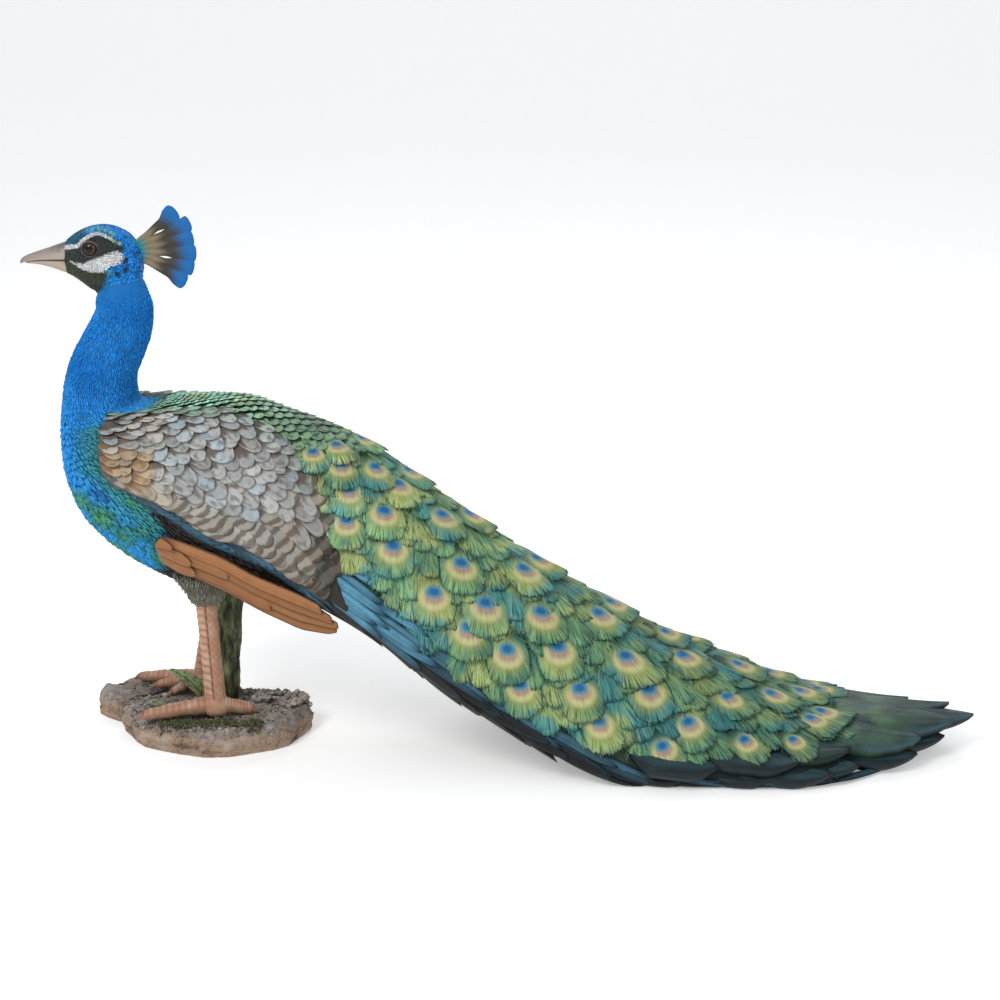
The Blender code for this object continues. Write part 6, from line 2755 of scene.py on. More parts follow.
@dataclass
class DarkBand:
    """The dark blue flight feathers that show below a wing."""

    side: int
    name: str
    seed: int = 53
    top_edge: tuple[tuple[float, float], ...] = (
        (8.9, 103), (9.6, 90), (10.4, 97), (11.2, 102), (11.8, 98), (13.1, 107), (13.5, 106),
    )
    low_edge: tuple[tuple[float, float], ...] = (
        (8.9, 109), (9.8, 107), (10.8, 110), (11.7, 112), (12.4, 117), (13.0, 119), (13.5, 113),
    )

    def build(self) -> bpy.types.Object:
        """Makes the feathers.

        Returns:
            The piece.
        """
        rng = np.random.default_rng(self.seed)
        places, reaches, order = [], [], []
        for k in range(26):
            place = 8.35 + 0.185 * k
            top = float(edge_angle(self.top_edge, np.array(place))) - math.radians(9)
            low = float(edge_angle(self.low_edge, np.array(place))) - math.radians(1)
            for share in (0.15, 0.52, 0.86):
                places.append(place + 0.10 * share)
                reaches.append(float(BODY.reach_of(place, top + (low - top) * share)))
                order.append(share)
        place, reach = np.array(places), np.array(reaches)
        point, _ = BODY.at(place, reach * self.side)
        tint = mixed(smooth(wavy(point, 60.0, 2.0), -0.5, 0.6), (0.026, 0.040, 0.050), (0.040, 0.115, 0.175))
        tint *= rng.uniform(0.8, 1.25, (len(place), 1))
        # Painted shade: the upper row, in the recess under the wing's lower edge, is near black with darker
        # rims.
        upper = smooth(np.array(order), 0.6, 0.2)
        tint = lay_over(tint, upper * 0.9, (0.014, 0.015, 0.015))
        rim = mixed(rng.random(len(place)), (0.030, 0.07, 0.10), (0.07, 0.11, 0.12))
        rim = lay_over(rim, upper * 0.8, (0.030, 0.032, 0.034))
        lay = make_lay(place, reach, 0.10, 56 * MM, 12 * MM, self.side, rng, tint, rim=rim, lift=0.8 * MM)
        cut = VaneCut(
            rows=9, root_width=0.7, tip_width=0.7, belly=0.5, tip_drop=0.3, tip_power=1.6, root_sink=2.0 * MM,
            tip_lift=1.2 * MM, rise=0.8, thickness=1.4 * MM, groove=0.2 * MM, shaft=0.4 * MM,
        )
        shape, flat = lay_vanes(BODY, lay, cut)
        paint = BladePaint(f"painted_dark_{self.name}").mix()
        piece = add_shape(f"dark_band_{self.name}", shape, flat, paint, "dark_feather")
        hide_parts(f"secondaries_{self.name}")
        return piece


@dataclass
class Train:
    """The train: broad fringed vanes with painted eyes over plain ones, and thin strands over both."""

    # The painted eyes of one side in rows: how far down from the ridge, then the section numbers.
    eye_rows: tuple[tuple[float, tuple[float, ...]], ...] = (
        (0 * MM, (13.0, 14.1, 15.3, 16.6, 18.0, 19.1, 20.25, 21.4)),
        (38 * MM, (12.6, 13.45, 14.05, 14.95, 16.4, 17.75, 19.4, 20.8, 21.75)),
        (61 * MM, (12.2, 12.9, 21.5)),
        (80 * MM, (13.25, 14.05, 15.5, 16.9, 18.45, 20.1)),
        (108 * MM, (13.5, 14.5, 16.05, 17.3, 18.95, 21.15)),
        (128 * MM, (15.35, 19.6, 20.35)),
        (139 * MM, (15.95, 16.6, 17.75)),
        (162 * MM, (16.95, 18.2, 19.3)),
    )
    length: float = 64.0 * MM
    width: float = 55.0 * MM
    # The lower edge of the plain vanes: a section number, and an angle in degrees from the top.
    plain_edge: tuple[tuple[float, float], ...] = (
        (11.6, 74), (15.2, 77), (16.2, 84), (18.8, 83), (19.55, 77), (20.0, 72), (20.55, 65), (21.2, 53),
        (22.2, 40),
    )
    eye_at: float = 0.46
    eye_size: float = 0.320
    seed: int = 61

    def eyes(self, rng: np.random.Generator) -> tuple[np.ndarray, np.ndarray, np.ndarray]:
        """The section numbers, reaches and sizes of the eyes on one side.

        Args:
            rng: Where the small differences come from.

        Returns:
            A section number, a reach and a size for each eye.
        """
        found = [(place, reach) for reach, places in self.eye_rows for place in places]
        place, reach = np.array(found).T
        size = np.interp(place, [12.2, 14.0, 16.4, 20.0, 22.0], [0.62, 0.84, 1.0, 1.0, 0.85])
        size *= np.interp(reach, [125 * MM, 165 * MM], [1.0, 0.80])
        size *= 1.0 - 0.28 * smooth(place, 19.0, 20.2) * smooth(reach, 50 * MM, 100 * MM)
        shift = rng.normal(0.0, 1.0, (2, len(place)))
        return place + 0.02 * shift[0], np.where(reach > 0, reach + 1.0 * MM * shift[1], 0.0), size

    def turn(self, place: np.ndarray, reach: np.ndarray) -> np.ndarray:
        """The direction that vanes point in.

        Args:
            place: Section numbers.
            reach: Distances round from the top.

        Returns:
            The angles in radians.
        """
        angle = np.degrees(BODY.angle_of(place, reach))
        steep = np.interp(angle, [0.0, 6.0, 22.0, 40.0, 90.0], [0.0, 18.0, 44.0, 58.0, 60.0])
        return np.radians(steep * np.interp(place, [12.5, 16.0, 19.0, 22.0], [1.0, 1.05, 0.92, 0.60]))

    def roots(
        self, place: np.ndarray, reach: np.ndarray, turn: np.ndarray, ahead: np.ndarray
    ) -> tuple[np.ndarray, np.ndarray]:
        """The section numbers and reaches of roots that are some way behind the middles of their vanes."""
        pace = BODY.pace_at(place, reach)
        return place - ahead * np.cos(turn) / pace, np.maximum(reach - ahead * np.sin(turn), 0.0)

    def make_vanes(self, name: str, lay: Lay, cut: VaneCut, cells: int) -> None:
        """Makes pieces with cells for their vanes, split so that each vane has a large enough cell.

        Args:
            name: The pieces' name.
            lay: The vanes.
            cut: Their shape.
            cells: The number of cells each way.
        """
        paint = TrainPaint(f"painted_{name}").mix()
        lay = lay.picked(np.lexsort((lay.reach, lay.place)))
        room = cells * cells
        for part in range(math.ceil(lay.count() / room)):
            some = np.arange(part * room, min((part + 1) * room, lay.count()))
            shape, flat = lay_vanes(BODY, lay.picked(some), cut, None, cells)
            add_shape(f"{name}_{part + 1}", shape, flat, paint, "train_feather")

    def build(self) -> None:
        """Makes the train's vanes."""
        rng = np.random.default_rng(self.seed)
        place, reach, size = self.eyes(rng)
        turn = self.turn(place, reach)
        length, width = self.length * (0.35 + 0.65 * size), self.width * size
        root, root_reach = self.roots(place, reach, turn, self.eye_at * length)
        tint = rng.uniform(0.85, 1.15, (len(place), 1)) * self.shade(place)
        on_ridge = reach <= 0.0
        turn = np.where(on_ridge, 0.0, turn)
        lay = make_lay(
            root, root_reach, turn, length, width, LEFT, rng, tint, rim=DARK_GREEN, lift=2.4 * MM,
            strength=1.0,
        )
        whole = both_sides(lay.picked(~on_ridge))
        ridge = lay.picked(on_ridge)
        ridge.lift += 1.0 * MM
        joined = Lay(**{k: np.concatenate([vars(whole)[k], vars(ridge)[k]]) for k in vars(whole)})
        eyed = VaneCut(
            columns=34, rows=16, root_width=0.50, tip_width=0.92, belly=0.55, tip_drop=0.22, tip_power=2.0,
            fringe=0.05, root_sink=5.0 * MM, tip_lift=2.5 * MM, rise=0.8, camber=5.0 * MM, thickness=1.2 * MM,
            groove=0.9 * MM, shaft=0.5 * MM, eye_at=self.eye_at, eye_size=self.eye_size,
        )
        self.make_vanes("train_vanes", joined, eyed, 6)
        self.strands("train_fringe", joined, eyed, 84, rng)
        self.plain(rng)

    def shade(self, place: np.ndarray) -> np.ndarray:
        """How much lighter the greens are at places: pale in front, dark at the end.

        Args:
            place: Section numbers.

        Returns:
            What the colours are multiplied by.
        """
        places = [12.5, 16.0, 19.0, 22.5]
        rows = ([1.60, 1.20, 0.88, 0.62], [1.45, 1.20, 0.95, 0.75], [1.74, 1.42, 1.20, 1.04])
        return np.stack([np.interp(place, places, row) for row in rows], -1)

    def green(self, points: np.ndarray, place: np.ndarray, rng: np.random.Generator) -> np.ndarray:
        """The green of the strands, which changes slowly over the train.

        Args:
            points: The strands' roots.
            place: Section numbers.
            rng: Where the small differences come from.

        Returns:
            A colour for each.
        """
        count = len(points)
        tint = mixed(rng.random(count), (0.060, 0.135, 0.070), (0.130, 0.240, 0.110))
        tint = lay_over(tint, smooth(wavy(points, 34.0), 0.0, 0.7) * 0.7, (0.195, 0.245, 0.085))
        tint = lay_over(tint, smooth(wavy(points, 47.0, 2.0), 0.1, 0.7) * 0.8, (0.040, 0.180, 0.160))
        dark = np.where(rng.random((count, 1)) < 0.45, rng.uniform(0.22, 0.60, (count, 1)), 1.0)
        return tint * self.shade(place) * dark * rng.uniform(0.75, 1.25, (count, 1))

    def plain(self, rng: np.random.Generator) -> None:
        """The plain domed vanes under and between the painted ones, and their strands.

        Args:
            rng: Where the small differences come from.
        """

        def low(place: float) -> float:
            """The reach that a course ends at, above the blades and the end's edge.

            Args:
                place: The section number of the course.

            Returns:
                The reach.
            """
            edge = np.interp(
                place, [at for at, _ in self.plain_edge], [angle for _, angle in self.plain_edge]
            )
            short = np.interp(place, [17.4, 18.4, 19.8], [11.0, 18.0, 19.0])
            return float(BODY.reach_of(place, math.radians(edge))) - short * MM

        def size(place: float) -> float:
            """The size of the vanes, as a share of the largest."""
            return float(np.interp(place, [11.6, 14.0, 16.0, 20.5, 22.4], [0.50, 0.75, 1.0, 1.0, 0.7]))

        place, reach = courses(
            BODY, 11.7, 22.2, lambda p: 24 * MM * size(p), lambda p: 27 * MM * size(p), lambda p: 6 * MM, low,
            rng, 0.3,
        )
        grow = np.array([size(p) for p in place]) * rng.uniform(0.85, 1.15, len(place))
        turn = self.turn(place, reach) + rng.normal(0.0, 0.12, len(place))
        root, root_reach = self.roots(place, reach, turn, 23 * MM * grow)
        tint = rng.uniform(0.75, 1.2, (len(place), 1)) * self.shade(place)
        long, wide = 54 * MM * grow, 45 * MM * grow
        lay = make_lay(root, root_reach, turn, long, wide, LEFT, rng, tint, rim=DARK_GREEN, lift=0.5 * MM)
        lay = both_sides(lay)
        cut = VaneCut(
            columns=18, rows=9, root_width=0.45, tip_width=0.80, belly=0.55, tip_drop=0.34, tip_power=2.0,
            fringe=0.06, root_sink=5.0 * MM, tip_lift=0.5 * MM, rise=0.8, camber=4.5 * MM, thickness=1.0 * MM,
            groove=1.0 * MM, shaft=0.4 * MM,
        )
        paint = TrainPaint("painted_under_vanes").mix()
        for side, name in SIDES:
            some = lay.picked(lay.side == side)
            shape, flat = lay_vanes(BODY, some, cut)
            add_shape(f"train_under_vanes_{name}", shape, flat, paint, "train_feather")
        self.strands("train_strands", lay, cut, 34, rng)

    def strands(self, title: str, lay: Lay, cut: VaneCut, each: int, rng: np.random.Generator) -> None:
        """The strands over the sides and tips of vanes, which fan out from their middles.

        Args:
            title: The name of the pieces, which each side's name follows.
            lay: The vanes.
            cut: Their shape.
            each: The number of strands on each.
            rng: Where the strands' own looks come from.
        """
        u = rng.uniform(-0.95, 0.95, (lay.count(), each))
        v = rng.uniform(0.50, 0.86, (lay.count(), each))
        v = np.where(np.abs(u) > 0.62, rng.uniform(0.22, 0.80, u.shape), v)
        bow = 1.0 - np.sqrt(1.0 - np.abs(u) ** cut.tip_power)
        y = v * (1.0 - cut.tip_drop * bow)
        x = u * half_widths(cut, v)

        def height(across: np.ndarray, ahead: np.ndarray) -> np.ndarray:
            """How high the vanes' upper side is, at shares of their width and length."""
            up = -cut.root_sink + (cut.root_sink + cut.tip_lift) * ahead**cut.rise
            return up - cut.camber * np.abs(across) ** 2.0 * (0.4 + 0.6 * ahead) - 0.1 * MM

        half, full = 0.5 * lay.width[:, None], lay.length[:, None]
        start, normal, _, _ = over_hide(BODY, lay, x * half, y * full, height(u, v))
        eye = cut.eye_size * lay.width[:, None]
        out = unit(np.stack([x * half, (y - cut.eye_at) * full + 1.45 * eye], -1), 1e-6)
        step = 10.0 * MM
        far_x, far_y = x * half + step * out[..., 0], y * full + step * out[..., 1]
        end, _, _, _ = over_hide(BODY, lay, far_x, far_y, height(u, v + step / full) - 0.9 * MM)
        ex, ey = x * half / eye, (y * full - cut.eye_at * full) / eye
        ring = np.sqrt((ex / 1.14) ** 2 + (ey - 0.16) ** 2)
        strength = np.repeat(lay.strength, each)
        start, end, normal = (found.reshape(-1, 3) for found in (start, end, normal))
        ring = ring.ravel()
        place = np.repeat(lay.place, each)
        keep = ((ring > 1.25) | (strength < 0.5)) & (start[:, 2] > 4.0 * MM)
        tint = self.green(start, place, rng)
        halo = smooth(ring, 1.75, 1.2) * strength
        tint = lay_over(tint, halo * 0.6, (0.23, 0.27, 0.11)) * rng.uniform(0.8, 1.1, (len(ring), 1))
        long = np.repeat(lay.length, each) / (66 * MM) * rng.uniform(0.8, 1.2, len(ring))
        sizes = np.stack([12.5 * MM * long**0.5, 1.0 * MM * long**0.3, 0.7 * MM * long**0.3], -1)
        flat = BODY.spread(place, np.repeat(lay.reach * lay.side, each))
        cloud = Cloud(start, turns_of(end - start, normal), sizes, tint, flat)
        paint = HairPaint(f"painted_{title}", rough=0.5, root_dark=0.45, mottle=0.2).mix()
        for side, name in SIDES:
            here = keep & (start[:, 1] * side > 0.0)
            some = Cloud(**{key: value[here] for key, value in vars(cloud).items()})
            stand_piece(f"{title}_{name}", Grain.HAIR, some, paint, "train_feather")


@dataclass
class SideBlades:
    """Long blades along the lower front edge of the train: bright blue ones above dark under-tail ones."""

    side: int
    name: str
    seed: int = 71

    def build(self) -> bpy.types.Object:
        """Makes the blades.

        Returns:
            The piece.
        """
        rng = np.random.default_rng(self.seed)
        # The bright blades' rim is painted shade: a dark edge along each blade.
        bright, rim = (0.080, 0.240, 0.350), (0.008, 0.040, 0.066)
        groups = (
            (12.85, (81, 86, 91, 96, 101, 106), 1.0, 5.4), (14.05, (83, 88, 93, 98.5, 104), 0.9, 3.9),
            (15.15, (82.5, 86, 90, 95, 100), 0.50, 2.0), (16.20, (84, 88, 92.5, 98), 0.42, 1.2),
            (17.15, (83, 87, 91.5, 97), 0.42, 1.0), (18.15, (82, 86.5, 91, 97), 0.36, 0.8),
            (19.20, (82, 87, 92, 98), 0.34, 0.8), (20.20, (80, 86, 92), 0.30, 0.8),
            (21.10, (78, 85, 92), 0.30, 0.6),
        )
        dark = ((12.95, 112, 17.0, 4), (13.30, 118, 17.4, 4), (12.95, 126, 17.0, 4), (13.30, 134, 17.4, 4))
        places, reaches, tints, rims = [], [], [], []

        def add(place: float, angle: float, tint: np.ndarray, edge: np.ndarray) -> None:
            """Keeps one blade's root and colours.

            Args:
                place: The section number of its root.
                angle: The angle of its root in degrees from the top.
                tint: Its colour.
                edge: The colour of its rim.
            """
            places.append(place)
            reaches.append(float(BODY.reach_of(place, math.radians(angle))))
            tints.append(tint)
            rims.append(edge)

        for first, angles, light, bold in groups:
            for k, angle in enumerate(angles):
                share = light * float(smooth(k, bold + 1.0, bold - 0.8))
                edge = light * float(smooth(k, bold + 2.0, bold - 0.2))
                tint = mixed(share, (0.006, 0.008, 0.009), bright)
                add(first + 0.18 * (k % 2) + 0.05 * k, angle, tint, mixed(edge, (0.012, 0.018, 0.022), rim))
        for first, angle, last, count in dark:
            for k in range(count):
                place = first + (last - first) * k / count
                add(place, angle + 0.6 * k, np.array((0.016, 0.017, 0.017)), np.array((0.03, 0.03, 0.03)))
        place, reach = np.array(places), np.array(reaches) + rng.normal(0, 0.8 * MM, len(places))
        tint, rims = np.array(tints) * rng.uniform(0.8, 1.25, (len(place), 1)), np.array(rims)
        turn = rng.normal(0.02, 0.03, len(place)) + 0.09 * smooth(place, 16.5, 18.0)
        length = rng.uniform(98, 116, len(place)) * MM
        sunk = np.interp(np.degrees(BODY.angle_of(place, reach)), [80.0, 84.0, 92.0], [-4.6, -3.2, -0.4]) * MM
        width = np.interp(place, [14.5, 15.5], [13.0, 16.0]) * MM
        lay = make_lay(place, reach, turn, length, width, self.side, rng, tint, rim=rims, lift=sunk)
        cut = VaneCut(
            columns=10, rows=16, root_width=0.8, tip_width=0.66, belly=0.5, tip_drop=0.26, tip_power=1.6,
            root_sink=3 * MM, tip_lift=3.2 * MM, rise=0.8, camber=3.0 * MM, thickness=2.6 * MM,
            groove=0.5 * MM, shaft=0.8 * MM,
        )
        shape, flat = lay_vanes(BODY, lay.picked(np.argsort(place)), cut, None, 8)
        paint = BladePaint(
            f"painted_side_{self.name}", rough=0.45, rim_from=0.38, streak=0.9, mottle=0.55
        ).mix()
        return add_shape(f"side_blades_{self.name}", shape, flat, paint, "train_feather")


# How light the side walls of a free vane are, as a share of its top: painted shade.
WALL_SHADE = 0.25


def free_vane(
    spine: np.ndarray, across: np.ndarray, half: np.ndarray, cut: VaneCut, seed: float, tint: Colour,
    rim: Colour,
    up_hint: Sequence[float] = (0.0, 0.0, 1.0),
) -> Shape:
    """One thick vane along a line of its own: a domed top, side walls and a flat underside.

    Args:
        spine: The points down its middle.
        across: The direction across it at each of them.
        half: Half its width at each.
        cut: Its shape; its rows are the spine's.
        seed: Its own number.
        tint: Its colour.
        rim: The colour of its rim.
        up_hint: Roughly which way its upper side faces.

    Returns:
        The shape.
    """
    rows = len(spine)
    u = np.linspace(-1.0, 1.0, cut.columns + 1)
    along = np.gradient(spine, axis=0)
    up = unit(np.cross(along, across))
    up *= float(np.sign((up @ np.asarray(up_hint)).mean())) or 1.0
    slim = np.minimum(1.0, half / half.max())[:, None]
    drop = cut.camber * slim * u[None] ** 2 - cut.shaft * np.exp(-((u[None] / 0.12) ** 2))
    rng = np.random.default_rng(int(seed * 1e6))
    drop = drop + cut.groove * (rng.random(cut.columns + 1) - 0.5)[None]
    top = spine[:, None] + across[:, None] * (u[None] * half[:, None])[..., None]
    top = top - up[:, None] * drop[..., None]
    deep = cut.thickness * (0.12 + 0.88 * np.minimum(1.0, half / half.max()) ** 0.8)[:, None, None]
    share = np.array((1.0, 0.86, -0.86, -1.0))[None, :, None]
    fall = np.array((0.45, 1.0, 1.0, 0.45))[None, :, None]
    wall = spine[:, None] + across[:, None] * half[:, None, None] * share
    wall = wall - up[:, None] * (cut.camber * slim[..., None] + deep * fall)
    rings = np.concatenate([top, wall], axis=1)
    rings[..., 2] = np.maximum(rings[..., 2], 0.4 * MM)
    shape = closed_tube(rings)
    v = np.linspace(0.0, 1.0, rows)
    ring_u = np.concatenate([u, [0.7, 0.1, -0.1, -0.7]])
    map_x = np.concatenate([0.9 * u, [0.95, 1.0, -1.0, -0.95]])
    map_y = np.concatenate([0 * u, [0.0, 0.52, 0.52, 0.0]])
    vane = np.stack(np.broadcast_arrays(ring_u[None], v[:, None], np.array([[seed]])), -1).reshape(-1, 3)
    cell = np.stack(np.broadcast_arrays(map_x[None], 0.46 * v[:, None] + map_y[None], np.zeros((1, 1))), -1)
    dark = np.tile(tint, (len(u) + 4, 1))
    dark[len(u):] *= WALL_SHADE
    edge = np.concatenate([np.tile(rim, (len(u), 1)), dark[len(u):]])
    shape.colours = {
        name: np.concatenate([np.tile(ring, (rows, 1)), [tint, dark[-1]]])
        for name, ring in (("tint", dark), ("rim", edge))
    }
    shape.vectors = {
        "vane": np.concatenate([vane, [[0.0, 0.0, seed], [0.0, 1.0, seed]]]),
        "cell": np.concatenate([cell.reshape(-1, 3), [[0.0, 0.0, 0.0], [0.0, 0.46, 0.0]]]),
    }
    return shape


def cell_of(index: int, cells: int, shape: Shape) -> np.ndarray:
    """Where the points of one free vane lie on a map of cells.

    Args:
        index: The vane's number.
        cells: The number of cells each way.
        shape: The vane.

    Returns:
        A place on the map for each point.
    """
    column, row = index % cells, index // cells
    x, y = shape.vectors["cell"][:, 0], shape.vectors["cell"][:, 1]
    return np.stack([(column + 0.5 + 0.46 * x) / cells, (row + 0.02 + 0.96 * y) / cells], -1)


def join_vanes(name: str, vanes: Sequence[Shape], cells: int) -> bpy.types.Mesh:
    """One mesh of free vanes, each with its own map cell.

    Args:
        name: The mesh's name.
        vanes: The vanes.
        cells: The number of cells each way.

    Returns:
        The mesh.
    """
    whole, flat = vanes[0], [cell_of(0, cells, vanes[0])]
    for index, vane in enumerate(vanes[1:], 1):
        whole = whole.joined(vane)
        flat.append(cell_of(index, cells, vane))
    mesh = whole.mesh(name)
    point_outwards(mesh)
    spread_map(mesh, np.concatenate(flat))
    return mesh


@dataclass
class FlightFeathers:
    """The orange flight feathers of one side: long blades that overlap, with three round ones in front."""

    side: int
    name: str
    seed: int = 83
    tilt: float = 0.22
    # Upper and lower points on the left side, from the front back.
    upper: tuple[tuple[float, float, float], ...] = (
        (-0.0535, -0.0790, 0.2350), (-0.0460, -0.0815, 0.2400), (-0.0200, -0.0845, 0.2310),
        (0.0150, -0.0850, 0.2180), (0.0500, -0.0860, 0.1990), (0.0900, -0.0880, 0.1840),
        (0.1180, -0.0940, 0.1730), (0.1390, -0.0960, 0.1600),
    )
    lower: tuple[tuple[float, float, float], ...] = (
        (-0.0560, -0.0690, 0.2210), (-0.0480, -0.0650, 0.2100), (-0.0270, -0.0630, 0.1970),
        (0.0150, -0.0660, 0.1800), (0.0530, -0.0720, 0.1615), (0.0960, -0.0790, 0.1450),
        (0.1250, -0.0850, 0.1420), (0.1400, -0.0900, 0.1450),
    )

    def at(self, along: np.ndarray, share: np.ndarray) -> np.ndarray:
        """Points between the two lines, by shares along them and down from the upper one.

        Args:
            along: Shares along the lines.
            share: Shares down from the upper line.

        Returns:
            The points.
        """
        knots = np.linspace(0, 1, len(self.upper))
        top = np.stack([np.interp(along, knots, [p[k] for p in self.upper]) for k in range(3)], -1)
        low = np.stack([np.interp(along, knots, [p[k] for p in self.lower]) for k in range(3)], -1)
        return top + (low - top) * share[..., None]

    def blade(
        self, start: float, end: float, top: float, width: float, out: float, rng: np.random.Generator
    ) -> Shape:
        """One blade.

        Args:
            start: Where its root is along the lines.
            end: Where its tip is.
            top: Its middle's share down from the upper line.
            width: Its width, as a share.
            out: How far it stands out.
            rng: Where its own look comes from.

        Returns:
            The blade.
        """
        v = 1.0 - np.linspace(1, 0, 25) ** 1.5
        along = start + (end - start) * v
        middle = self.at(along, np.full(25, top))
        edge = self.at(along, np.full(25, top + 0.5))
        wide = np.linalg.norm(edge - middle, axis=1) * 2.0 * width
        across = unit(unit(edge - middle) - (0.0, self.tilt, 0.0))
        long = np.linalg.norm(middle[-1] - middle[0])
        past = np.clip(1.0 - (1.0 - v) * long / (0.62 * wide[-1]), 0.0, 0.999)
        half = 0.5 * wide * (0.75 + 0.25 * smooth(v, 0, 0.3)) * np.sqrt(1.0 - past**2)
        middle[:, 1] -= out * (0.5 + 0.5 * smooth(v, 0, 0.3))
        flip = np.array([1.0, -float(self.side), 1.0])
        tint = np.array((0.300, 0.132, 0.052)) * rng.uniform(0.82, 1.12)
        cut = VaneCut(
            columns=12, rows=24, camber=3.2 * MM, thickness=2.2 * MM, groove=0.2 * MM, shaft=0.4 * MM
        )
        hint = (0.0, float(self.side), 0.3)
        # A dark rim: painted shade along the edges where the blades overlap.
        rim = (0.030, 0.014, 0.010)
        return free_vane(middle * flip, across * flip, half, cut, float(rng.random()), tuple(tint), rim, hint)

    def build(self) -> bpy.types.Object:
        """Makes the blades.

        Returns:
            The piece.
        """
        rng = np.random.default_rng(self.seed)
        vanes = [
            self.blade(0.20, 0.965, 0.86, 0.44, 0.0 * MM, rng),
            self.blade(0.17, 0.99, 0.60, 0.44, 1.6 * MM, rng),
            self.blade(0.12, 0.95, 0.34, 0.42, 3.2 * MM, rng),
            self.blade(0.08, 0.88, 0.10, 0.38, 4.4 * MM, rng),
            self.blade(0.16, 0.62, 0.74, 0.40, 3.6 * MM, rng),
            self.blade(0.12, 0.46, 0.40, 0.42, 5.2 * MM, rng),
            self.blade(0.05, 0.330, 0.82, 0.46, 8.0 * MM, rng),
            self.blade(0.01, 0.315, 0.48, 0.46, 9.8 * MM, rng),
            self.blade(0.00, 0.215, 0.16, 0.42, 11.5 * MM, rng),
        ]
        mesh = join_vanes("flight", vanes, 4)
        paint = BladePaint(
            f"painted_flight_{self.name}", rough=0.5, rim_from=0.72, streak=0.6, mottle=0.40
        ).mix()
        piece = add_piece(f"flight_feathers_{self.name}", mesh, paint, "orange_feather")
        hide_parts(f"primaries_{self.name}")
        return piece


@dataclass
class TrainTips:
    """The pointed feathers at the end of the train, in two layers, and the short ones above them."""

    seed: int = 97
    roll: float = 0.20
    # The points of the feathers, from the middle outwards: (x, y, z).
    points: tuple[tuple[float, float, float], ...] = (
        (0.8080, 0.0, 0.0390), (0.7850, 0.0260, 0.0420), (0.7455, 0.0620, 0.0340), (0.6705, 0.0980, 0.0340),
        (0.6224, 0.1190, 0.0300), (0.5420, 0.1300, 0.0280),
    )
    # The points of the lower layer.
    under: tuple[tuple[float, float, float], ...] = (
        (0.7740, 0.0330, 0.0260), (0.7420, 0.0700, 0.0190), (0.6783, 0.1080, 0.0180),
        (0.6500, 0.1260, 0.0160),
        (0.5993, 0.1310, 0.0150), (0.5150, 0.1340, 0.0150),
    )

    def feather(
        self, root: Sequence[float], tip: Sequence[float], width: float, deep: float, outer: bool,
        rng: np.random.Generator,
    ) -> Shape:
        """One pointed feather, from a root point to a tip point, rolled outwards.

        Args:
            root: Its root.
            tip: Its tip.
            width: Its width.
            deep: How thick it is.
            outer: Whether it is one of the outer or lower ones, which have pale tops, and dark rims and walls
                of painted shade.
            rng: Where its own look comes from.

        Returns:
            The feather.
        """
        v = np.linspace(0, 1, 27)
        root, tip = np.array(root), np.array(tip)
        spine = root + (tip - root) * v[:, None]
        spine[:, 2] += 2.5 * MM * np.sin(math.pi * v) - 1.5 * MM * np.sin(math.pi * np.clip(2 * v - 1, 0, 1))
        ahead = tip - root
        across = unit(np.cross((0.0, 0.0, 1.0), ahead))
        across[2] -= self.roll * float(np.clip(tip[1] / 0.03, -1.0, 1.0)) * float(np.sign(across[1]))
        across = unit(across)
        half = 0.5 * width * (0.80 + 0.20 * np.sin(math.pi * np.clip(v / 0.9, 0, 1)))
        half = half * np.sqrt(np.clip(v / 0.22, 0.02, 1.0))
        half = half * np.clip(1.0 - np.clip((v - 0.52) / 0.48, 0, 1) ** 2.6, 0.015, 1.0) ** 0.85
        dark = (0.016, 0.038, 0.044) if outer else (0.006, 0.020, 0.024)
        pale = (0.030, 0.066, 0.076) if outer else (0.012, 0.036, 0.036)
        # The rim is painted shade on the outer feathers and a painted highlight along the edges of the
        # others.
        rim = (0.008, 0.012, 0.014) if outer else (0.042, 0.088, 0.110)
        tint = mixed(rng.random(), dark, pale) * rng.uniform(0.8, 1.2)
        cut = VaneCut(columns=14, rows=26, camber=5.0 * MM, thickness=deep, groove=0.8 * MM, shaft=0.6 * MM)
        return free_vane(
            spine, np.tile(across, (len(v), 1)), half, cut, float(rng.random()), tuple(tint), rim
        )

    def build(self) -> bpy.types.Object:
        """Makes the feathers.

        Returns:
            The piece.
        """
        rng = np.random.default_rng(self.seed)
        vanes = []
        for number in range(-5, 6):
            x, y, z = self.points[abs(number)]
            side = -1 if number < 0 else 1
            out = abs(number)
            root = (x - 0.150 + 0.010 * out, side * (y + 0.002 * out) * 0.93, 0.0460 - 0.0020 * out)
            vane = self.feather(root, (x, side * y, z), 0.062 - 0.0015 * out, 13 * MM, out >= 3, rng)
            near = smooth(vane.points[:, 0], 0.770, 0.690) * smooth(wavy(vane.points, 80.0), -0.7, 0.3)
            near *= (0.85, 0.85, 0.6, 0.15, 0.0, 0.0)[out]
            vane.colours["tint"] = lay_over(vane.colours["tint"], near, (0.060, 0.130, 0.070))
            vane.colours["rim"] = lay_over(vane.colours["rim"], near, (0.022, 0.052, 0.036))
            vanes.append(vane)
        for side in (-1, 1):
            for out, (x, y, z) in enumerate(self.under):
                root = (x - 0.125 + 0.004 * out, side * (y - 0.006 * out) * 0.90, max(z + 0.006, 0.014))
                vanes.append(self.feather(root, (x, side * y, z), 0.056, 11 * MM, True, rng))
        mesh = join_vanes("tips", vanes, 6)
        paint = BladePaint("painted_tips", rough=0.5, rim_from=0.60, streak=1.0, mottle=0.55).mix()
        piece = add_piece("train_tips", mesh, paint, "tip_feather")
        names = [f"tip_feather_{name}_{number}" for _, name in SIDES for number in (1, 2, 3, 4)]
        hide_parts("tip_feather_middle", *names)
        return piece


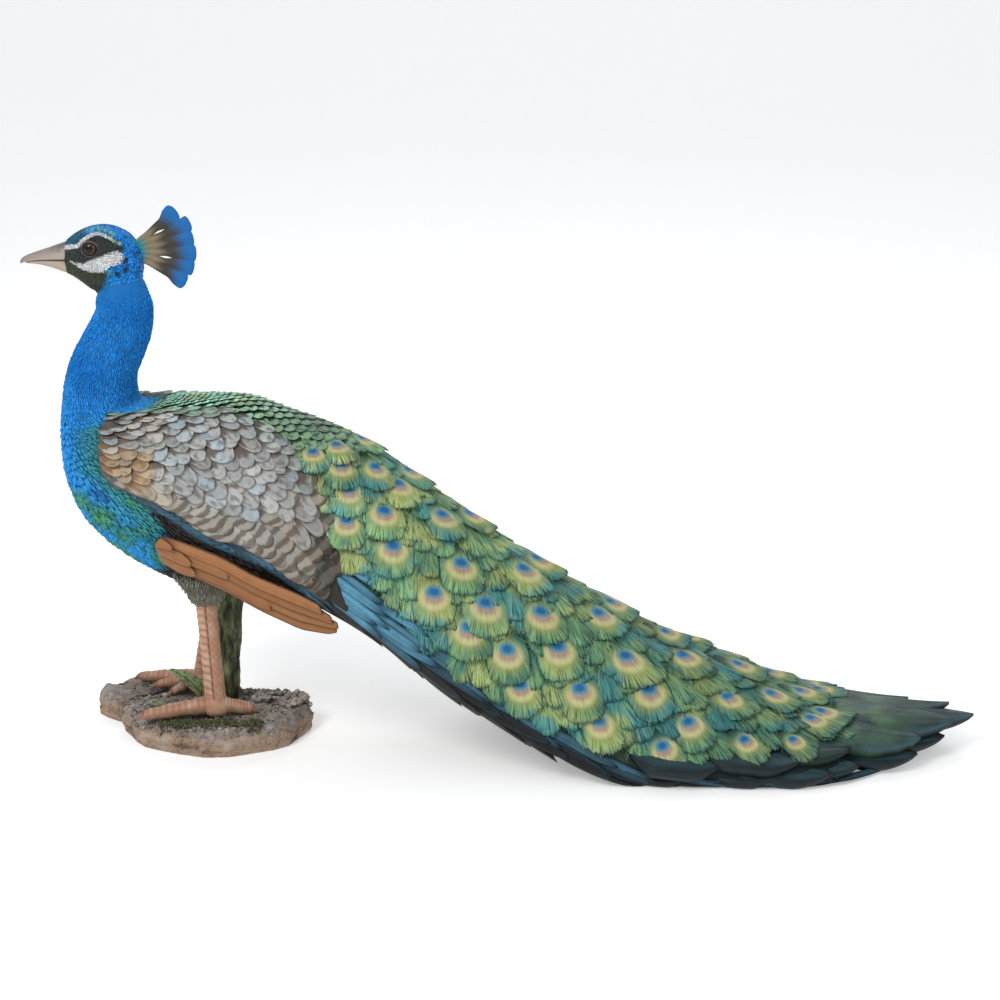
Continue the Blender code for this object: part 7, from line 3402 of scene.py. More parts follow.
@dataclass
class Crest:
    """Six joined plumes in the middle plane, each with a round tip and fine barbs."""

    centre: tuple[float, float] = (-0.0916, 0.5267)
    root: float = 10.0 * MM
    thick: float = 2.5 * MM
    lengths: tuple[float, ...] = (70 * MM, 76 * MM, 74 * MM, 75 * MM, 74 * MM, 71 * MM)
    edges: tuple[float, ...] = (46.0, 30.0, 18.0, 5.5, -7.5, -19.5, -34.0)
    slits: tuple[int, ...] = (1, 4)

    def plume(self, number: int) -> Shape:
        """One plume.

        Args:
            number: Its number, from the front.

        Returns:
            The plume.
        """
        length = self.lengths[number]
        middle = math.radians(self.edges[number] + self.edges[number + 1]) / 2
        half = math.radians(self.edges[number] - self.edges[number + 1]) / 2
        tip = (0.55 if number in (0, 5) else 0.34) * half * length
        shoulder = length - tip
        last = np.sin(np.linspace(0, 0.5 * math.pi, 16)[1:])
        v = np.concatenate([np.linspace(0, 0.8, 34), 1 - 0.2 * (1 - last)])
        radius = self.root + (length - self.root) * v
        past = np.clip((radius - shoulder) / tip, 0, 0.9995)
        spread = np.minimum(half * 1.10 * (1 - past**2) ** 0.36, half * 1.10)
        slit = np.exp(-(((radius / length - 0.58) / 0.085) ** 2)) * 1.5 * MM / radius
        out = radius / length
        waist = spread * (1.0 - 0.42 * smooth(out, 0.20, 0.45) * smooth(out, 0.86, 0.70))
        above = (waist if number == 0 else spread) - slit * (number in self.slits)
        below = (waist if number == 5 else spread) - slit * (number + 1 in self.slits)
        sides = 26
        turn = np.linspace(0, 2 * math.pi, sides, endpoint=False)
        u = np.cos(turn)
        out = np.sign(np.sin(turn)) * np.abs(np.sin(turn)) ** 0.55
        angle = middle + np.where(u[None] > 0, u[None] * above[:, None], u[None] * below[:, None])
        bars = 0.16 * MM * np.sin(u[None] * 15.0 + 6.0 * v[:, None])
        thick = self.thick * (0.62 + 0.38 * np.exp(-((u[None] / 0.35) ** 2)))
        thick = thick * np.sqrt(1 - past[:, None] ** 3)
        x = self.centre[0] + radius[:, None] * np.cos(angle)
        z = self.centre[1] + radius[:, None] * np.sin(angle)
        shape = closed_tube(np.stack([x, out[None] * thick + np.sign(out)[None] * bars, z], -1))
        vane = np.stack([np.repeat(u[None], len(v), 0), np.repeat(v[:, None], sides, 1)], -1).reshape(-1, 2)
        vane = np.concatenate([vane, [[0.0, 0.0], [0.0, 1.0]]])
        shape.vectors["vane"] = np.column_stack([vane, np.full(len(vane), 0.13 * (number + 1))])
        return shape

    def build(self) -> bpy.types.Object:
        """Makes the crest.

        Returns:
            The piece.
        """
        whole, flat = None, []
        for number in range(6):
            plume = self.plume(number)
            u, v, _ = plume.vectors["vane"].T
            near = np.where(plume.points[:, 1] < 0, 0.0, 0.5)
            flat.append(np.stack([(number + 0.5 + 0.45 * u) / 6, near + 0.02 + 0.45 * v], -1))
            whole = plume if whole is None else whole.joined(plume)
        piece = add_shape("crest", whole, np.concatenate(flat), PlumePaint().mix(), "crest_plume", True)
        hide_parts(*[f"crest_plume_{k}" for k in range(1, 7)])
        return piece


@dataclass
class Bill:
    """The two halves of the bill, with the nostrils and a slight hook."""

    nostril: tuple[float, float] = (-0.1612, 0.5288)

    def half(self, name: str, sections: Sequence[Section]) -> bpy.types.Object:
        """One half of the bill.

        Args:
            name: Its name, which is its solid's too.
            sections: Its sections.

        Returns:
            The piece.
        """
        form = Form(sections)
        places = len(sections) - 1 - (len(sections) - 1) * np.linspace(1, 0, 64) ** 1.3
        turn = np.linspace(-math.pi, math.pi, 56, endpoint=False)
        rings = form.points(places[:, None], turn[None])
        x, y, z = rings[..., 0], rings[..., 1], rings[..., 2]
        away = np.hypot((x - self.nostril[0]) * 0.62, z - self.nostril[1])
        dent = smooth(away, 1.9 * MM, 0.7 * MM) * smooth(np.abs(y), 2 * MM, 5 * MM)
        lump = np.exp(-(((away - 2.5 * MM) / (0.8 * MM)) ** 2)) * smooth(np.abs(y), 2 * MM, 5 * MM)
        rings[..., 1] += np.sign(y) * (0.5 * MM * lump - 1.5 * MM * dent)
        shape, paint = closed_tube(rings), HornPaint(f"painted_{name}").mix()
        piece = add_shape(f"{name}_horn", shape, tube_map(*rings.shape[:2]), paint, "horn", True)
        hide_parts(name)
        return piece

    def build(self) -> None:
        """Makes both halves."""
        self.half("bill_upper", UPPER_BILL)
        self.half("bill_lower", LOWER_BILL)


@dataclass
class Eye:
    """One glossy eye in a beaded ring of lid."""

    side: int
    name: str
    x: float = EYE_AT[0]
    y: float = 0.0166
    z: float = EYE_AT[1]
    radius: float = 9.2 * MM
    lid: float = 7.6 * MM

    def ball(self) -> bpy.types.Object:
        """The eyeball.

        Returns:
            The piece.
        """
        centre = (self.x, self.side * self.y, self.z)
        made = bmesh.new()
        bmesh.ops.create_uvsphere(made, u_segments=48, v_segments=28, radius=self.radius)
        bmesh.ops.rotate(made, verts=made.verts, matrix=Matrix.Rotation(math.pi / 2, 3, "X"))
        bmesh.ops.translate(made, verts=made.verts, vec=centre)
        mesh = bpy.data.meshes.new("ball")
        made.to_mesh(mesh)
        made.free()
        mesh.polygons.foreach_set("use_smooth", np.ones(len(mesh.polygons), bool))
        paint = EyePaint(f"painted_eye_{self.name}", centre).mix()
        piece = add_piece(f"eyeball_{self.name}", mesh, paint, "eye_gloss")
        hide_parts(f"eye_{self.name}")
        return piece

    def lids(self) -> bpy.types.Object:
        """The ring of lid, with small beads and a thicker upper rim.

        Returns:
            The piece.
        """
        turns, sides = 96, 14
        round_ = np.linspace(0, 2 * math.pi, turns, endpoint=False)
        tube = np.linspace(0, 2 * math.pi, sides, endpoint=False)
        beads = 0.14 * MM * np.abs(np.sin(round_ * 14))
        thick = (1.25 * MM + 0.35 * MM * smooth(np.sin(round_), 0.0, 1.0) + beads)[:, None]
        far = self.lid + thick * np.cos(tube)[None] * 0.9
        x = self.x + far * np.cos(round_)[:, None] * 1.06
        z = self.z + far * np.sin(round_)[:, None] * 0.97
        out = self.y + 5.9 * MM + thick * np.sin(tube)[None] - 0.5 * MM * np.cos(2 * round_)[:, None]
        points = np.stack([x, self.side * out, z], -1).reshape(-1, 3)
        at = np.arange(turns * sides).reshape(turns, sides)
        quads = np.stack([at, np.roll(at, -1, 0), np.roll(np.roll(at, -1, 0), -1, 1), np.roll(at, -1, 1)], -1)
        shade = np.where(np.cos(tube)[None] < -0.2, 0.05, 1.0) * np.ones((turns, 1))
        tint = shade.reshape(-1, 1) * np.array((0.150, 0.125, 0.115))
        shape = Shape(points, quads.reshape(-1, 4), colours={"tint": tint})
        flat = np.stack([x.ravel() * 12 + 2.0, z.ravel() * 12 - 5.9], -1)
        paint = SkinPaint(f"painted_lid_{self.name}").mix()
        return add_shape(f"eyelid_{self.name}", shape, flat, paint, "blue_feather", True)


@dataclass
class Leg:
    """One leg: a tufted thigh, a plated shank, and a foot with four toes and claws."""

    side: int
    name: str
    hip: tuple[float, float, float]
    ankle: tuple[float, float, float]
    toes: tuple[tuple[float, float, float], ...] = (
        (-0.077, 0.021, 10.6 * MM), (-0.052, -0.006, 9.0 * MM), (-0.030, -0.030, 8.2 * MM),
        (0.039, -0.008, 11.4 * MM),
    )
    deep: float = 11.0 * MM
    wide: float = 8.8 * MM
    knee: float = KNEE_HEIGHT
    seed: int = 109
    # How high the rock's top is under the foot, and the middles of the toes' roots and tips and of the pad.
    ground: float = 0.0295
    root_height: float = 0.0445
    tip_height: float = 0.0365
    pad_height: float = 0.0425

    def tufts(self, skin: Skin, index: int) -> bpy.types.Object:
        """The tufts over the thigh.

        Args:
            skin: The skin that they stand on.
            index: 0 for the left thigh and 1 for the right one.

        Returns:
            The piece.
        """
        rng = np.random.default_rng(self.seed)
        spine = skin.thigh_spine(index)
        radii = ((0.037, 0.025), (0.033, 0.022), (0.0225, 0.0155), (0.0155, 0.0120))
        rings = limb_rings(spine, radii, 64, 46)[0][6:]
        points = rings.reshape(-1, 3)
        points = points + rng.normal(0, 0.5 * MM, points.shape)
        down = np.gradient(rings, axis=0).reshape(-1, 3)
        found, out, _ = skin.settle(points)
        off = ((points - found) * out).sum(axis=1)
        good = (off > -2.0 * MM) & (found[:, 2] < 0.205) & (found[:, 2] > self.knee - 2 * MM)
        found, out, down = found[good], out[good], down[good]
        low = smooth(found[:, 2], 0.185, 0.160)
        size = np.stack([7.0 * MM - 2.2 * MM * low, 2.0 * MM - 0.4 * MM * low, 1.5 * MM + 0 * low], -1)
        size *= rng.uniform(0.8, 1.25, (len(found), 1))
        tint = mixed(rng.random(len(found)), (0.115, 0.108, 0.084), (0.260, 0.245, 0.200))
        tint = lay_over(tint, smooth(wavy(found, 90.0), 0.1, 0.8) * 0.6, (0.07, 0.075, 0.045))
        flat = np.stack([0.5 + (found[:, 0] - self.hip[0]) * 8, (found[:, 2] - 0.14) * 9], -1)
        flat[:, 0] = np.where(out[:, 1] * self.side > 0, flat[:, 0] * 0.48, 0.5 + flat[:, 0] * 0.48)
        turns = turns_of(down, out - 0.22 * unit(down)) + rng.normal(0, 0.12, (len(found), 3))
        cloud = Cloud(found - out * 0.4 * MM, turns, size, tint, np.clip(flat, 0.01, 0.98))
        paint = HairPaint(f"painted_thigh_{self.name}", rough=0.6, root_dark=0.5, mottle=0.3).mix()
        return stand_piece(f"thigh_tufts_{self.name}", Grain.HAIR, cloud, paint, "thigh_down")

    def shank(self) -> bpy.types.Object:
        """The plated shank.

        Returns:
            The piece.
        """
        hip, ankle = np.array(self.hip), np.array(self.ankle)
        knee = hip + (ankle - hip) * (self.knee + 0.008 - hip[2]) / (ankle[2] - hip[2])
        foot = ankle + (0, 0, -0.012)
        sides, steps = 40, 150
        spine = [
            knee, knee + (foot - knee) * 0.12, knee + (foot - knee) * 0.5, foot + (knee - foot) * 0.10, foot
        ]
        grow = ((1.16, 1.04), (1.0, 1.0), (0.95, 0.95), (1.02, 1.06), (1.12, 1.15))
        radii = [(self.deep * fore, self.wide * side) for fore, side in grow]
        rings, share, turn = limb_rings(spine, radii, sides, steps)
        front = smooth(-np.cos(turn), -0.02, 0.16)[None]
        beat = (share[:, None] * 24.0) % 1.0
        plate = np.sqrt(np.clip(1 - ((beat - 0.5) / 0.5) ** 2, 0, 1))
        seam = np.exp(-(((-np.cos(turn)[None] - 0.02) / 0.07) ** 2))
        small = np.sin(share[:, None] * 150.0) * np.sin(turn[None] * 9.0)
        lift = front * (plate - 0.5) * 1.1 * MM + (1 - front) * small * 0.22 * MM - seam * 0.8 * MM
        shape = closed_tube(swollen(rings, lift))
        # Painted shade and highlight: the front plates lighter in their middles and darker in the creases
        # between them, darker in the side seams.
        shade = 0.35 + 0.8 * front * plate + (1 - front) * (0.52 + 0.13 * small) - 0.6 * seam
        shade_tube(shape, np.clip(shade, 0.15, 1.15))
        paint = LegPaint(f"painted_shank_{self.name}").mix()
        piece = add_shape(f"shank_plates_{self.name}", shape, tube_map(steps, sides), paint, "leg_skin", True)
        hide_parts(f"shank_{self.name}")
        return piece

    def toe(self, forward: float, outward: float, radius: float) -> tuple[Shape, Shape]:
        """A toe and its claw.

        Args:
            forward: How far the tip is along X from the ankle.
            outward: How far it is outwards.
            radius: The radius at the root.

        Returns:
            The toe and the claw.
        """
        ankle = np.array(self.ankle)
        root = np.array((ankle[0] - 0.10 * forward, ankle[1] - 0.10 * self.side * outward, self.root_height))
        tip = np.array((ankle[0] + forward, ankle[1] + self.side * outward, self.tip_height))
        ahead = tip - root
        across = unit(np.cross(ahead, (0, 0, 1.0)))
        steps, sides = 60, 24
        v = np.linspace(0, 1, steps)
        turn = np.linspace(0, 2 * math.pi, sides, endpoint=False)
        joints = 0.5 + 0.5 * np.cos(v * 3 * 2 * math.pi)
        wide = (radius + (0.62 * radius - radius) * v) * (0.90 + 0.13 * joints)
        wide *= np.clip(np.sqrt(1.0 - smooth(v, 0.9, 1.04)), 0.2, 1)
        beat = (v * 13.0) % 1.0
        plate = np.sqrt(np.clip(1 - ((beat - 0.5) / 0.5) ** 2, 0, 1))[:, None]
        top = smooth(np.sin(turn), 0.0, 0.6)[None]
        far = wide[:, None] * (1.0 + 0.15 * top * (plate - 0.5))
        height = root[2] + (tip[2] - root[2]) * v + 1.0 * MM * np.sin(math.pi * v)
        points = root[None, None] + ahead * v[:, None, None] + across * (far * np.cos(turn)[None])[..., None]
        points[..., 2] = height[:, None] + far * np.sin(turn)[None] * 0.92
        points[..., 2] = np.maximum(points[..., 2], self.ground)
        toe = closed_tube(points)
        # Painted shade and highlight: lighter on the middles of the plates on top, darker in the creases
        # between them.
        shade = np.clip(0.42 + 0.65 * top * plate + 0.2 * (1 - top), 0.3, 1.1)
        # The toes are darker towards the rock.
        shade = shade * (0.5 + 0.5 * smooth(points[..., 2], 0.030, 0.040))
        shade_tube(toe, shade)
        claw_v = np.linspace(0, 1, 14)
        claw_wide = 0.42 * radius * (1 - claw_v) ** 0.7 + 0.25 * MM
        claw = tip + unit(ahead) * (-3 * MM + 10.0 * MM * claw_v[:, None, None])
        claw = claw + across * (claw_wide[:, None] * np.cos(turn)[None])[..., None]
        bend = tip[2] + 1.2 * MM - 4.5 * MM * claw_v**1.8
        claw[..., 2] = bend[:, None] + claw_wide[:, None] * np.sin(turn)[None]
        nail = closed_tube(claw)
        nail.colours["tint"] = np.full((len(nail.points), 3), 0.55)
        return toe, nail

    def foot(self) -> bpy.types.Object:
        """The foot.

        Returns:
            The piece.
        """
        whole = None
        for forward, outward, radius in self.toes:
            for shape in self.toe(forward, outward, radius):
                whole = shape if whole is None else whole.joined(shape)
        ankle = np.array(self.ankle)
        turn = np.linspace(0, 2 * math.pi, 32, endpoint=False)
        rise = np.linspace(-0.5 * math.pi, 0.5 * math.pi, 18)
        out, up = np.cos(rise)[:, None], np.sin(rise)[:, None]
        pad = np.stack([out * np.cos(turn) * 0.0155, out * np.sin(turn) * 0.0135, up * 0.0125 + 0 * turn], -1)
        pad = pad + (ankle[0], ankle[1], self.pad_height)
        pad[..., 2] = np.maximum(pad[..., 2], self.ground)
        ball = closed_tube(pad)
        ball.colours["tint"] = np.full((len(ball.points), 3), 0.9)
        whole = whole.joined(ball)
        mesh = whole.mesh("foot")
        point_outwards(mesh)
        points = mesh_points(mesh)
        flat = np.stack([0.5 + (points[:, 0] - ankle[0]) * 5, 0.5 + (points[:, 1] - ankle[1]) * 8], -1)
        spread_map(mesh, flat)
        paint = LegPaint(f"painted_foot_{self.name}").mix()
        piece = add_piece(f"foot_plates_{self.name}", mesh, paint, "leg_skin")
        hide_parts(f"foot_{self.name}")
        return piece


@dataclass
class RockBase:
    """The cast rock: the base's solids with a rough surface, rubble, and grass along the front."""

    # How many places are tried for lumps, stones and blades of grass.
    lump_tries: int = 2600
    stone_tries: int = 360
    blade_tries: int = 900
    # The height that places are looked for from, and the least height of a lump, a stone and a blade.
    above: float = 0.2
    least_lump: float = 17 * MM
    least_stone: float = 4 * MM
    least_blade: float = 18 * MM
    seed: int = 131

    def rough(
        self, name: str, nodes: Sequence[str], voxel: float, relief: float, paint: StonePaint, slot: str
    ) -> bpy.types.Object:
        """A rough copy of solids as one mesh, flat below.

        Args:
            name: The piece's name.
            nodes: The solids.
            voxel: The size of its faces.
            relief: How rough it is.
            paint: Its paint.
            slot: Its slot.

        Returns:
            slot: A slot name, which is passed on.
        """
        whole = bmesh.new()
        for node in nodes:
            source = bpy.data.objects[node]
            copy = source.data.copy()
            copy.transform(source.matrix_world)
            whole.from_mesh(copy)
            bpy.data.meshes.remove(copy)
        bmesh.ops.remove_doubles(whole, verts=whole.verts, dist=1e-6)
        mesh = bpy.data.meshes.new(name)
        whole.to_mesh(mesh)
        whole.free()
        made = remeshed_mesh(mesh, voxel, 2)
        points, normals = mesh_points(made), mesh_normals(made)
        lift, hollow_shade, raised = self.relief(points, relief)
        on_floor = smooth(points[:, 2], 1.0 * MM, 5.0 * MM)
        points = points + normals * (lift * on_floor)[:, None]
        points[:, 2] = np.where(points[:, 2] < 1.2 * MM, 0.0, points[:, 2])
        set_points(made, points)
        keep_numbers(made, {}, {"relief": np.stack([hollow_shade, raised, 0 * raised], -1)})
        piece = add_piece(name, made, paint.mix(), slot)
        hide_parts(*nodes)
        return piece

    def relief(self, points: np.ndarray, depth: float) -> tuple[np.ndarray, np.ndarray, np.ndarray]:
        """The rock's relief at points: its height, how sunken and how raised it is, for painted shade and a
        painted highlight.

        Args:
            points: The points.
            depth: How rough the rock is.

        Returns:
            The three values of each point.
        """
        lift = np.empty(len(points))
        crack = np.empty(len(points))
        for k, at in enumerate(points):
            here = Vector(at)
            broad = noise.fractal(here * 38.0, 0.9, 2.1, 4)
            ledge = noise.noise(Vector((at[0] * 22.0, at[1] * 22.0, at[2] * 150.0)))
            cell = noise.voronoi(here * 46.0 + Vector((3.0, 1.0, 2.0)))[0]
            crack[k] = cell[1] - cell[0]
            lift[k] = 0.55 * broad + 0.35 * ledge
        split = smooth(crack, 0.10, 0.0) * smooth(lift, 0.25, -0.1)
        height = depth * (1.25 * lift - 0.35 * split) - 0.35 * depth
        hollow_shade = np.clip(0.35 * split + smooth(lift, -0.10, -0.45) * 0.8, 0, 1)
        return np.minimum(height, 1.8 * MM), hollow_shade, smooth(lift, 0.1, 0.5)

    def build(self) -> None:
        """Makes the rock, its rubble and its grass."""
        pale = StonePaint("painted_rock")
        self.rough("rock_base", ("base_front", "base_back"), 1.7 * MM, 3.4 * MM, pale, "rock")
        dark = StonePaint(
            "painted_rubble", top=(0.180, 0.152, 0.135), side=(0.200, 0.165, 0.140),
            crack=(0.022, 0.018, 0.016), moss=(0.20, 0.175, 0.145), moss_share=0.5,
        )
        self.rough("rubble_bed", ("rubble",), 1.3 * MM, 2.5 * MM, dark, "rubble")
        rng = np.random.default_rng(self.seed)
        self.stones(rng)
        self.crumbs(rng)
        self.grass(rng)

    def crumbs(self, rng: np.random.Generator) -> None:
        """Low lumps all over the top of the rock.

        Args:
            rng: Where the small differences come from.
        """
        tree = mesh_tree(bpy.data.objects["rock_base"].data)
        points, turns, sizes = [], [], []
        for _ in range(self.lump_tries):
            where = Vector((rng.uniform(-0.115, 0.100), rng.uniform(-0.080, 0.075), self.above))
            found, normal, _, _ = tree.ray_cast(where, Vector((0, 0, -1)))
            if found is None or found.z < self.least_lump or normal.z < 0.55:
                continue
            size = rng.uniform(2.2, 5.6) * MM
            points.append(np.array(found) - (0.5 * size, 0.0, 0.3 * MM))
            turns.append(rng.uniform(-0.35, 0.35, 3) + (0, 0, rng.uniform(-3, 3)))
            sizes.append((size, size * rng.uniform(0.7, 1.3), size * rng.uniform(0.30, 0.55)))
        count = len(points)
        tint = mixed(rng.random(count), (0.150, 0.120, 0.098), (0.380, 0.340, 0.305))
        tint = tint * rng.uniform(0.6, 1.2, (count, 1))
        flat = np.clip(np.array(points)[:, :2] * (3.5, 5.0) + (0.52, 0.50), 0.01, 0.99)
        cloud = Cloud(np.array(points), np.array(turns), np.array(sizes), tint, flat)
        paint = HairPaint("painted_crumbs", rough=0.8, root_dark=0.5, mottle=0.4).mix()
        stand_piece("rock_crumbs", Grain.STONE, cloud, paint, "rock")

    def stones(self, rng: np.random.Generator) -> None:
        """Loose stones on the rubble.

        Args:
            rng: Where the small differences come from.
        """
        tree = mesh_tree(bpy.data.objects["rubble_bed"].data)
        points, turns, sizes = [], [], []
        for _ in range(self.stone_tries):
            where = Vector((rng.uniform(0.026, 0.092), rng.uniform(-0.018, 0.045), self.above))
            found, _, _, _ = tree.ray_cast(where, Vector((0, 0, -1)))
            if found is None or found.z < self.least_stone:
                continue
            size = rng.uniform(3.0, 7.5) * MM
            points.append(np.array(found) - (0.5 * size, 0.0, 0.0))
            turns.append(rng.uniform(-0.5, 0.5, 3) + (0, 0, rng.uniform(0, 0.4)))
            sizes.append((size, size * rng.uniform(0.7, 1.1), size * rng.uniform(0.5, 0.8)))
        count = len(points)
        grey = rng.uniform(0.5, 1.4, (count, 1)) * np.array((0.360, 0.320, 0.285))
        flat = np.array(points)[:, :2] * 8 + (0.2, 0.3)
        cloud = Cloud(np.array(points), np.array(turns), np.array(sizes), grey, np.clip(flat, 0.01, 0.99))
        paint = HairPaint("painted_stones", rough=0.8, root_dark=0.4, mottle=0.4).mix()
        stand_piece("rubble_stones", Grain.STONE, cloud, paint, "rubble")

    def grass(self, rng: np.random.Generator) -> None:
        """Short grass and moss along the front top edge of the rock.

        Args:
            rng: Where the small differences come from.
        """
        tree = mesh_tree(bpy.data.objects["rock_base"].data)
        points, turns, sizes, tints = [], [], [], []
        for _ in range(self.blade_tries):
            x, y = rng.uniform(-0.060, 0.050), rng.normal(-0.061, 0.0048)
            found, normal, _, _ = tree.ray_cast(Vector((x, y, self.above)), Vector((0, 0, -1)))
            if found is None or found.z < self.least_blade:
                continue
            length = rng.uniform(3.0, 6.5) * MM
            heading = np.array((rng.normal(0, 0.8), -1.0 + rng.normal(0, 0.5), 0.0))
            points.append(np.array(found) - np.array(normal) * 0.8 * MM)
            turns.append(turns_of(heading[None], np.array(normal)[None])[0])
            sizes.append((length, 1.7 * MM, rng.uniform(1.6, 3.6) * MM))
            tints.append(mixed(rng.random(), (0.055, 0.060, 0.030), (0.165, 0.180, 0.085)))
        points = np.array(points)
        flat = np.clip(points[:, :2] * (8, 12) + (0.5, 1.0), 0.01, 0.98)
        cloud = Cloud(points, np.array(turns), np.array(sizes), np.array(tints), flat)
        paint = HairPaint("painted_grass", rough=0.7, root_dark=0.5, mottle=0.3).mix()
        stand_piece("rock_grass", Grain.GRASS, cloud, paint, "plant")


def mesh_tree(mesh: bpy.types.Mesh) -> BVHTree:
    """A tree for finding places on a mesh.

    Args:
        mesh: The mesh.

    Returns:
        The tree.
    """
    work = bmesh.new()
    work.from_mesh(mesh)
    tree = BVHTree.FromBMesh(work)
    work.free()
    return tree


@dataclass
class Plants:
    """The post behind the legs, a ribbed leaf, and a small sprig on the rock."""

    post_foot: tuple[float, float, float] = (-0.0100, 0.004, 0.020)
    post_head: tuple[float, float, float] = (0.0080, 0.004, 0.205)
    leaf_root: tuple[float, float, float] = (-0.0240, 0.006, 0.0340)
    leaf_tip: tuple[float, float, float] = (-0.0640, 0.012, 0.0640)
    leaf_rise: tuple[float, float, float] = (0.55, -0.25, 0.80)
    leaf_width: float = 24.0 * MM
    sprig_root: tuple[float, float, float] = (-0.0620, -0.0300, 0.0325)
    # The sprig's leaves: which way each points, in radians, and how steeply it rises.
    sprig: tuple[tuple[float, float], ...] = (
        (-0.9, 0.15), (-0.45, 0.30), (0.0, 0.35), (0.5, 0.30), (0.95, 0.15)
    )
    sprig_length: float = 0.014
    seed: int = 149

    def post(self) -> bpy.types.Object:
        """The post, like a mossy trunk with long ridges.

        Returns:
            The piece.
        """
        foot, head = np.array(self.post_foot), np.array(self.post_head)
        spine = [foot, (foot + head) / 2, head]
        sides, steps = 64, 130
        radii = ((0.0222, 0.0128), (0.0197, 0.0118), (0.0172, 0.0118))
        rings, _, _ = limb_rings(spine, radii, sides, steps)
        bump = np.empty(rings.shape[:2])
        for i, j in np.ndindex(bump.shape):
            bump[i, j] = noise.fractal(Vector(rings[i, j] * (190, 190, 42)), 0.8, 2.1, 3)
        shape = closed_tube(swollen(rings, bump * 1.5 * MM - 0.4 * MM))
        # The tint is painted shade in the bark's dips and a painted highlight on its ridges.
        shade_tube(shape, np.clip(0.85 + 0.9 * bump, 0.3, 1.6))
        paint = PlantPaint(
            "painted_post", light=(0.180, 0.200, 0.090), dark=(0.032, 0.040, 0.021), scale=150.0, stretch=0.3
        ).mix()
        piece = add_shape("post_bark", shape, tube_map(steps, sides), paint, "plant", True)
        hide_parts("stem_post")
        return piece

    def leaves(self) -> bpy.types.Object:
        """The leaf and the sprig.

        Returns:
            The piece.
        """
        rng = np.random.default_rng(self.seed)
        vanes = [self.leaf(self.leaf_root, self.leaf_tip, self.leaf_rise, self.leaf_width, rng)]
        for spread, rise in self.sprig:
            away, left = math.cos(spread) * self.sprig_length, math.sin(spread) * self.sprig_length
            tip = np.array(self.sprig_root) + (-away, -left, 0.016 * rise + 0.003)
            vanes.append(self.leaf(self.sprig_root, tuple(tip), (0.4, 0.0, 1.0), 5.5 * MM, rng))
        mesh = join_vanes("leaves", vanes, 3)
        paint = PlantPaint(
            "painted_leaf", light=(0.30, 0.36, 0.17), dark=(0.11, 0.155, 0.07), scale=190.0, stretch=1.0
        ).mix()
        piece = add_piece("leaves", mesh, paint, "plant")
        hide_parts("leaf")
        return piece

    def leaf(
        self, root: tuple[float, float, float], tip: tuple[float, float, float],
        rise: tuple[float, float, float],
        width: float, rng: np.random.Generator,
    ) -> Shape:
        """One ribbed leaf with a wavy edge.

        Args:
            root: Its root.
            tip: Its tip.
            rise: Which way its upper side faces.
            width: Its width.
            rng: Where its own look comes from.

        Returns:
            The leaf.
        """
        v = np.linspace(0, 1, 25)
        start, end = np.array(root), np.array(tip)
        spine = start + (end - start) * v[:, None]
        up = unit(np.array(rise))
        spine = spine + up * (0.10 * np.linalg.norm(end - start) * np.sin(math.pi * v))[:, None]
        across = unit(np.cross(end - start, up))
        half = 0.5 * width * np.sin(math.pi * (0.06 + 0.90 * v) ** 0.8) ** 0.7 * (1 + 0.07 * np.sin(v * 40))
        cut = VaneCut(
            columns=12, rows=24, camber=-1.6 * MM, thickness=2.2 * MM, groove=0.5 * MM, shaft=-0.8 * MM
        )
        half = np.maximum(half, 0.3 * MM)
        white = (1.0, 1.0, 1.0)
        across = np.tile(across, (len(v), 1))
        return free_vane(spine, across, half, cut, float(rng.random()), white, white, rise)

    def build(self) -> None:
        """Makes the plants."""
        self.post()
        self.leaves()


# ---------------------------------------------------------------------------------------------------------
# The studio
# ---------------------------------------------------------------------------------------------------------


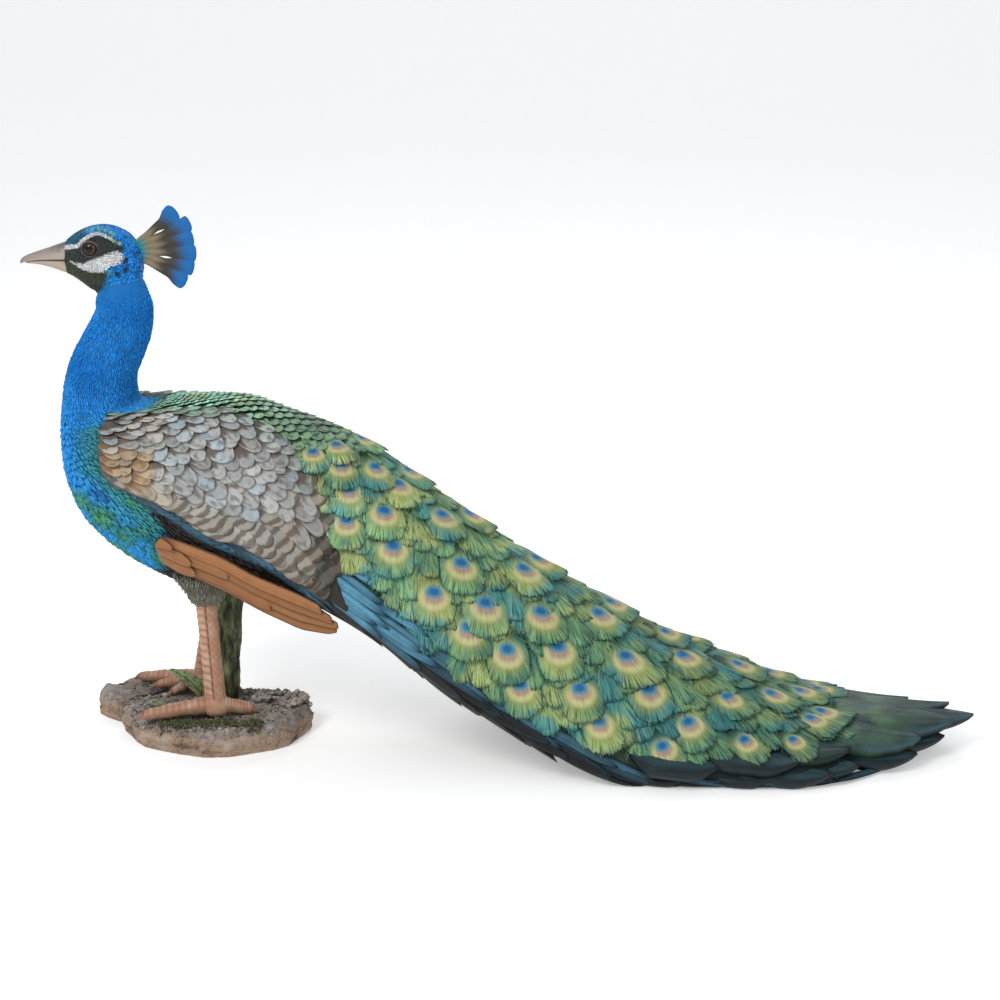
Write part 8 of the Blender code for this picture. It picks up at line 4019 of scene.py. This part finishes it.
@dataclass
class Studio:
    """A plain pale floor, soft light and the camera."""

    azimuth: float = 4.0
    height: float = 14.5
    eye: tuple[float, float, float] = (0.4621, -2.3179, 0.8668)
    lens: float = 81.51
    look_at: tuple[float, float, float] = (0.25, 0.0, 0.22)
    floor_drop: float = 0.0004

    def light(
        self, name: str, at: tuple[float, float, float], size: float, power: float, colour: Colour
    ) -> None:
        """A soft light that shines at the statue.

        Args:
            name: The name of the light.
            at: Where it is.
            size: How wide it is.
            power: Its power in watts.
            colour: Its colour.
        """
        lamp = bpy.data.lights.new(name, "AREA")
        lamp.shape = "DISK"
        lamp.size = size
        lamp.energy = power
        lamp.color = colour
        holder = bpy.data.objects.new(name, lamp)
        holder.location = at
        holder.rotation_euler = (Vector(self.look_at) - Vector(at)).to_track_quat("-Z", "Y").to_euler()
        bpy.context.scene.collection.objects.link(holder)

    def build(self) -> None:
        """Sets up the floor, the lights, the world and the camera."""
        scene = bpy.context.scene
        run = np.linspace(0.0, 1.0, 41)
        deep = np.concatenate([[-8.0], 3.0 + 3.0 * np.sin(run * math.pi / 2), [6.0]])
        tall = np.concatenate([[0.0], 3.0 - 3.0 * np.cos(run * math.pi / 2), [9.0]]) - self.floor_drop
        count = len(deep)
        rows = np.stack([np.stack([np.full(count, x), deep, tall], -1) for x in (-9.0, 9.0)], 1)
        at = np.arange(2 * count).reshape(count, 2)
        floor = Shape(rows.reshape(-1, 3), np.stack([at[:-1, 0], at[:-1, 1], at[1:, 1], at[1:, 0]], -1))
        mesh = floor.mesh("floor")
        mesh.materials.append(FloorPaint().mix())
        piece = bpy.data.objects.new("studio_floor", mesh)
        scene.collection.objects.link(piece)
        self.light("key_light", (-0.9, -2.1, 2.3), 1.3, 46.0, (1.0, 0.985, 0.96))
        self.light("fill_light", (2.2, -1.9, 1.5), 2.0, 13.0, (0.96, 0.98, 1.0))
        self.light("back_light", (0.4, 2.4, 2.4), 1.8, 18.0, (1.0, 1.0, 1.0))
        world = bpy.data.worlds.new("studio_air")
        world.use_nodes = True
        world.node_tree.nodes["Background"].inputs["Color"].default_value = (0.95, 0.97, 1.0, 1.0)
        world.node_tree.nodes["Background"].inputs["Strength"].default_value = 0.5
        scene.world = world
        scene.view_settings.view_transform = "Standard"
        camera = bpy.data.cameras.new("camera")
        camera.lens = self.lens
        camera.sensor_width = 36.0
        camera.clip_end = 30.0
        holder = bpy.data.objects.new("camera", camera)
        holder.location = self.eye
        tilt = math.radians(90.0 - self.height)
        holder.rotation_euler = (tilt, 0.0, math.radians(self.azimuth))
        scene.collection.objects.link(holder)
        scene.camera = holder


def main() -> None:
    """Builds the statue and its studio."""
    face = FaceMarks()
    skin = Skin()
    skin.build(face)
    NeckCoat().build(skin)
    HeadCoat().build(skin, face)
    Mantle().build()
    for side, name in SIDES:
        Wing(side, name).build()
        DarkBand(side, name).build()
        FlightFeathers(side, name).build()
        SideBlades(side, name).build()
        Eye(side, name).ball()
        Eye(side, name).lids()
    Train().build()
    TrainTips().build()
    Crest().build()
    Bill().build()
    for index, (side, name) in enumerate(SIDES):
        leg = Leg(side, name, skin.hips[index], skin.ankles[index])
        leg.tufts(skin, index)
        leg.shank()
        leg.foot()
    RockBase().build()
    Plants().build()
    Studio().build()


if __name__ == "__main__":
    main()
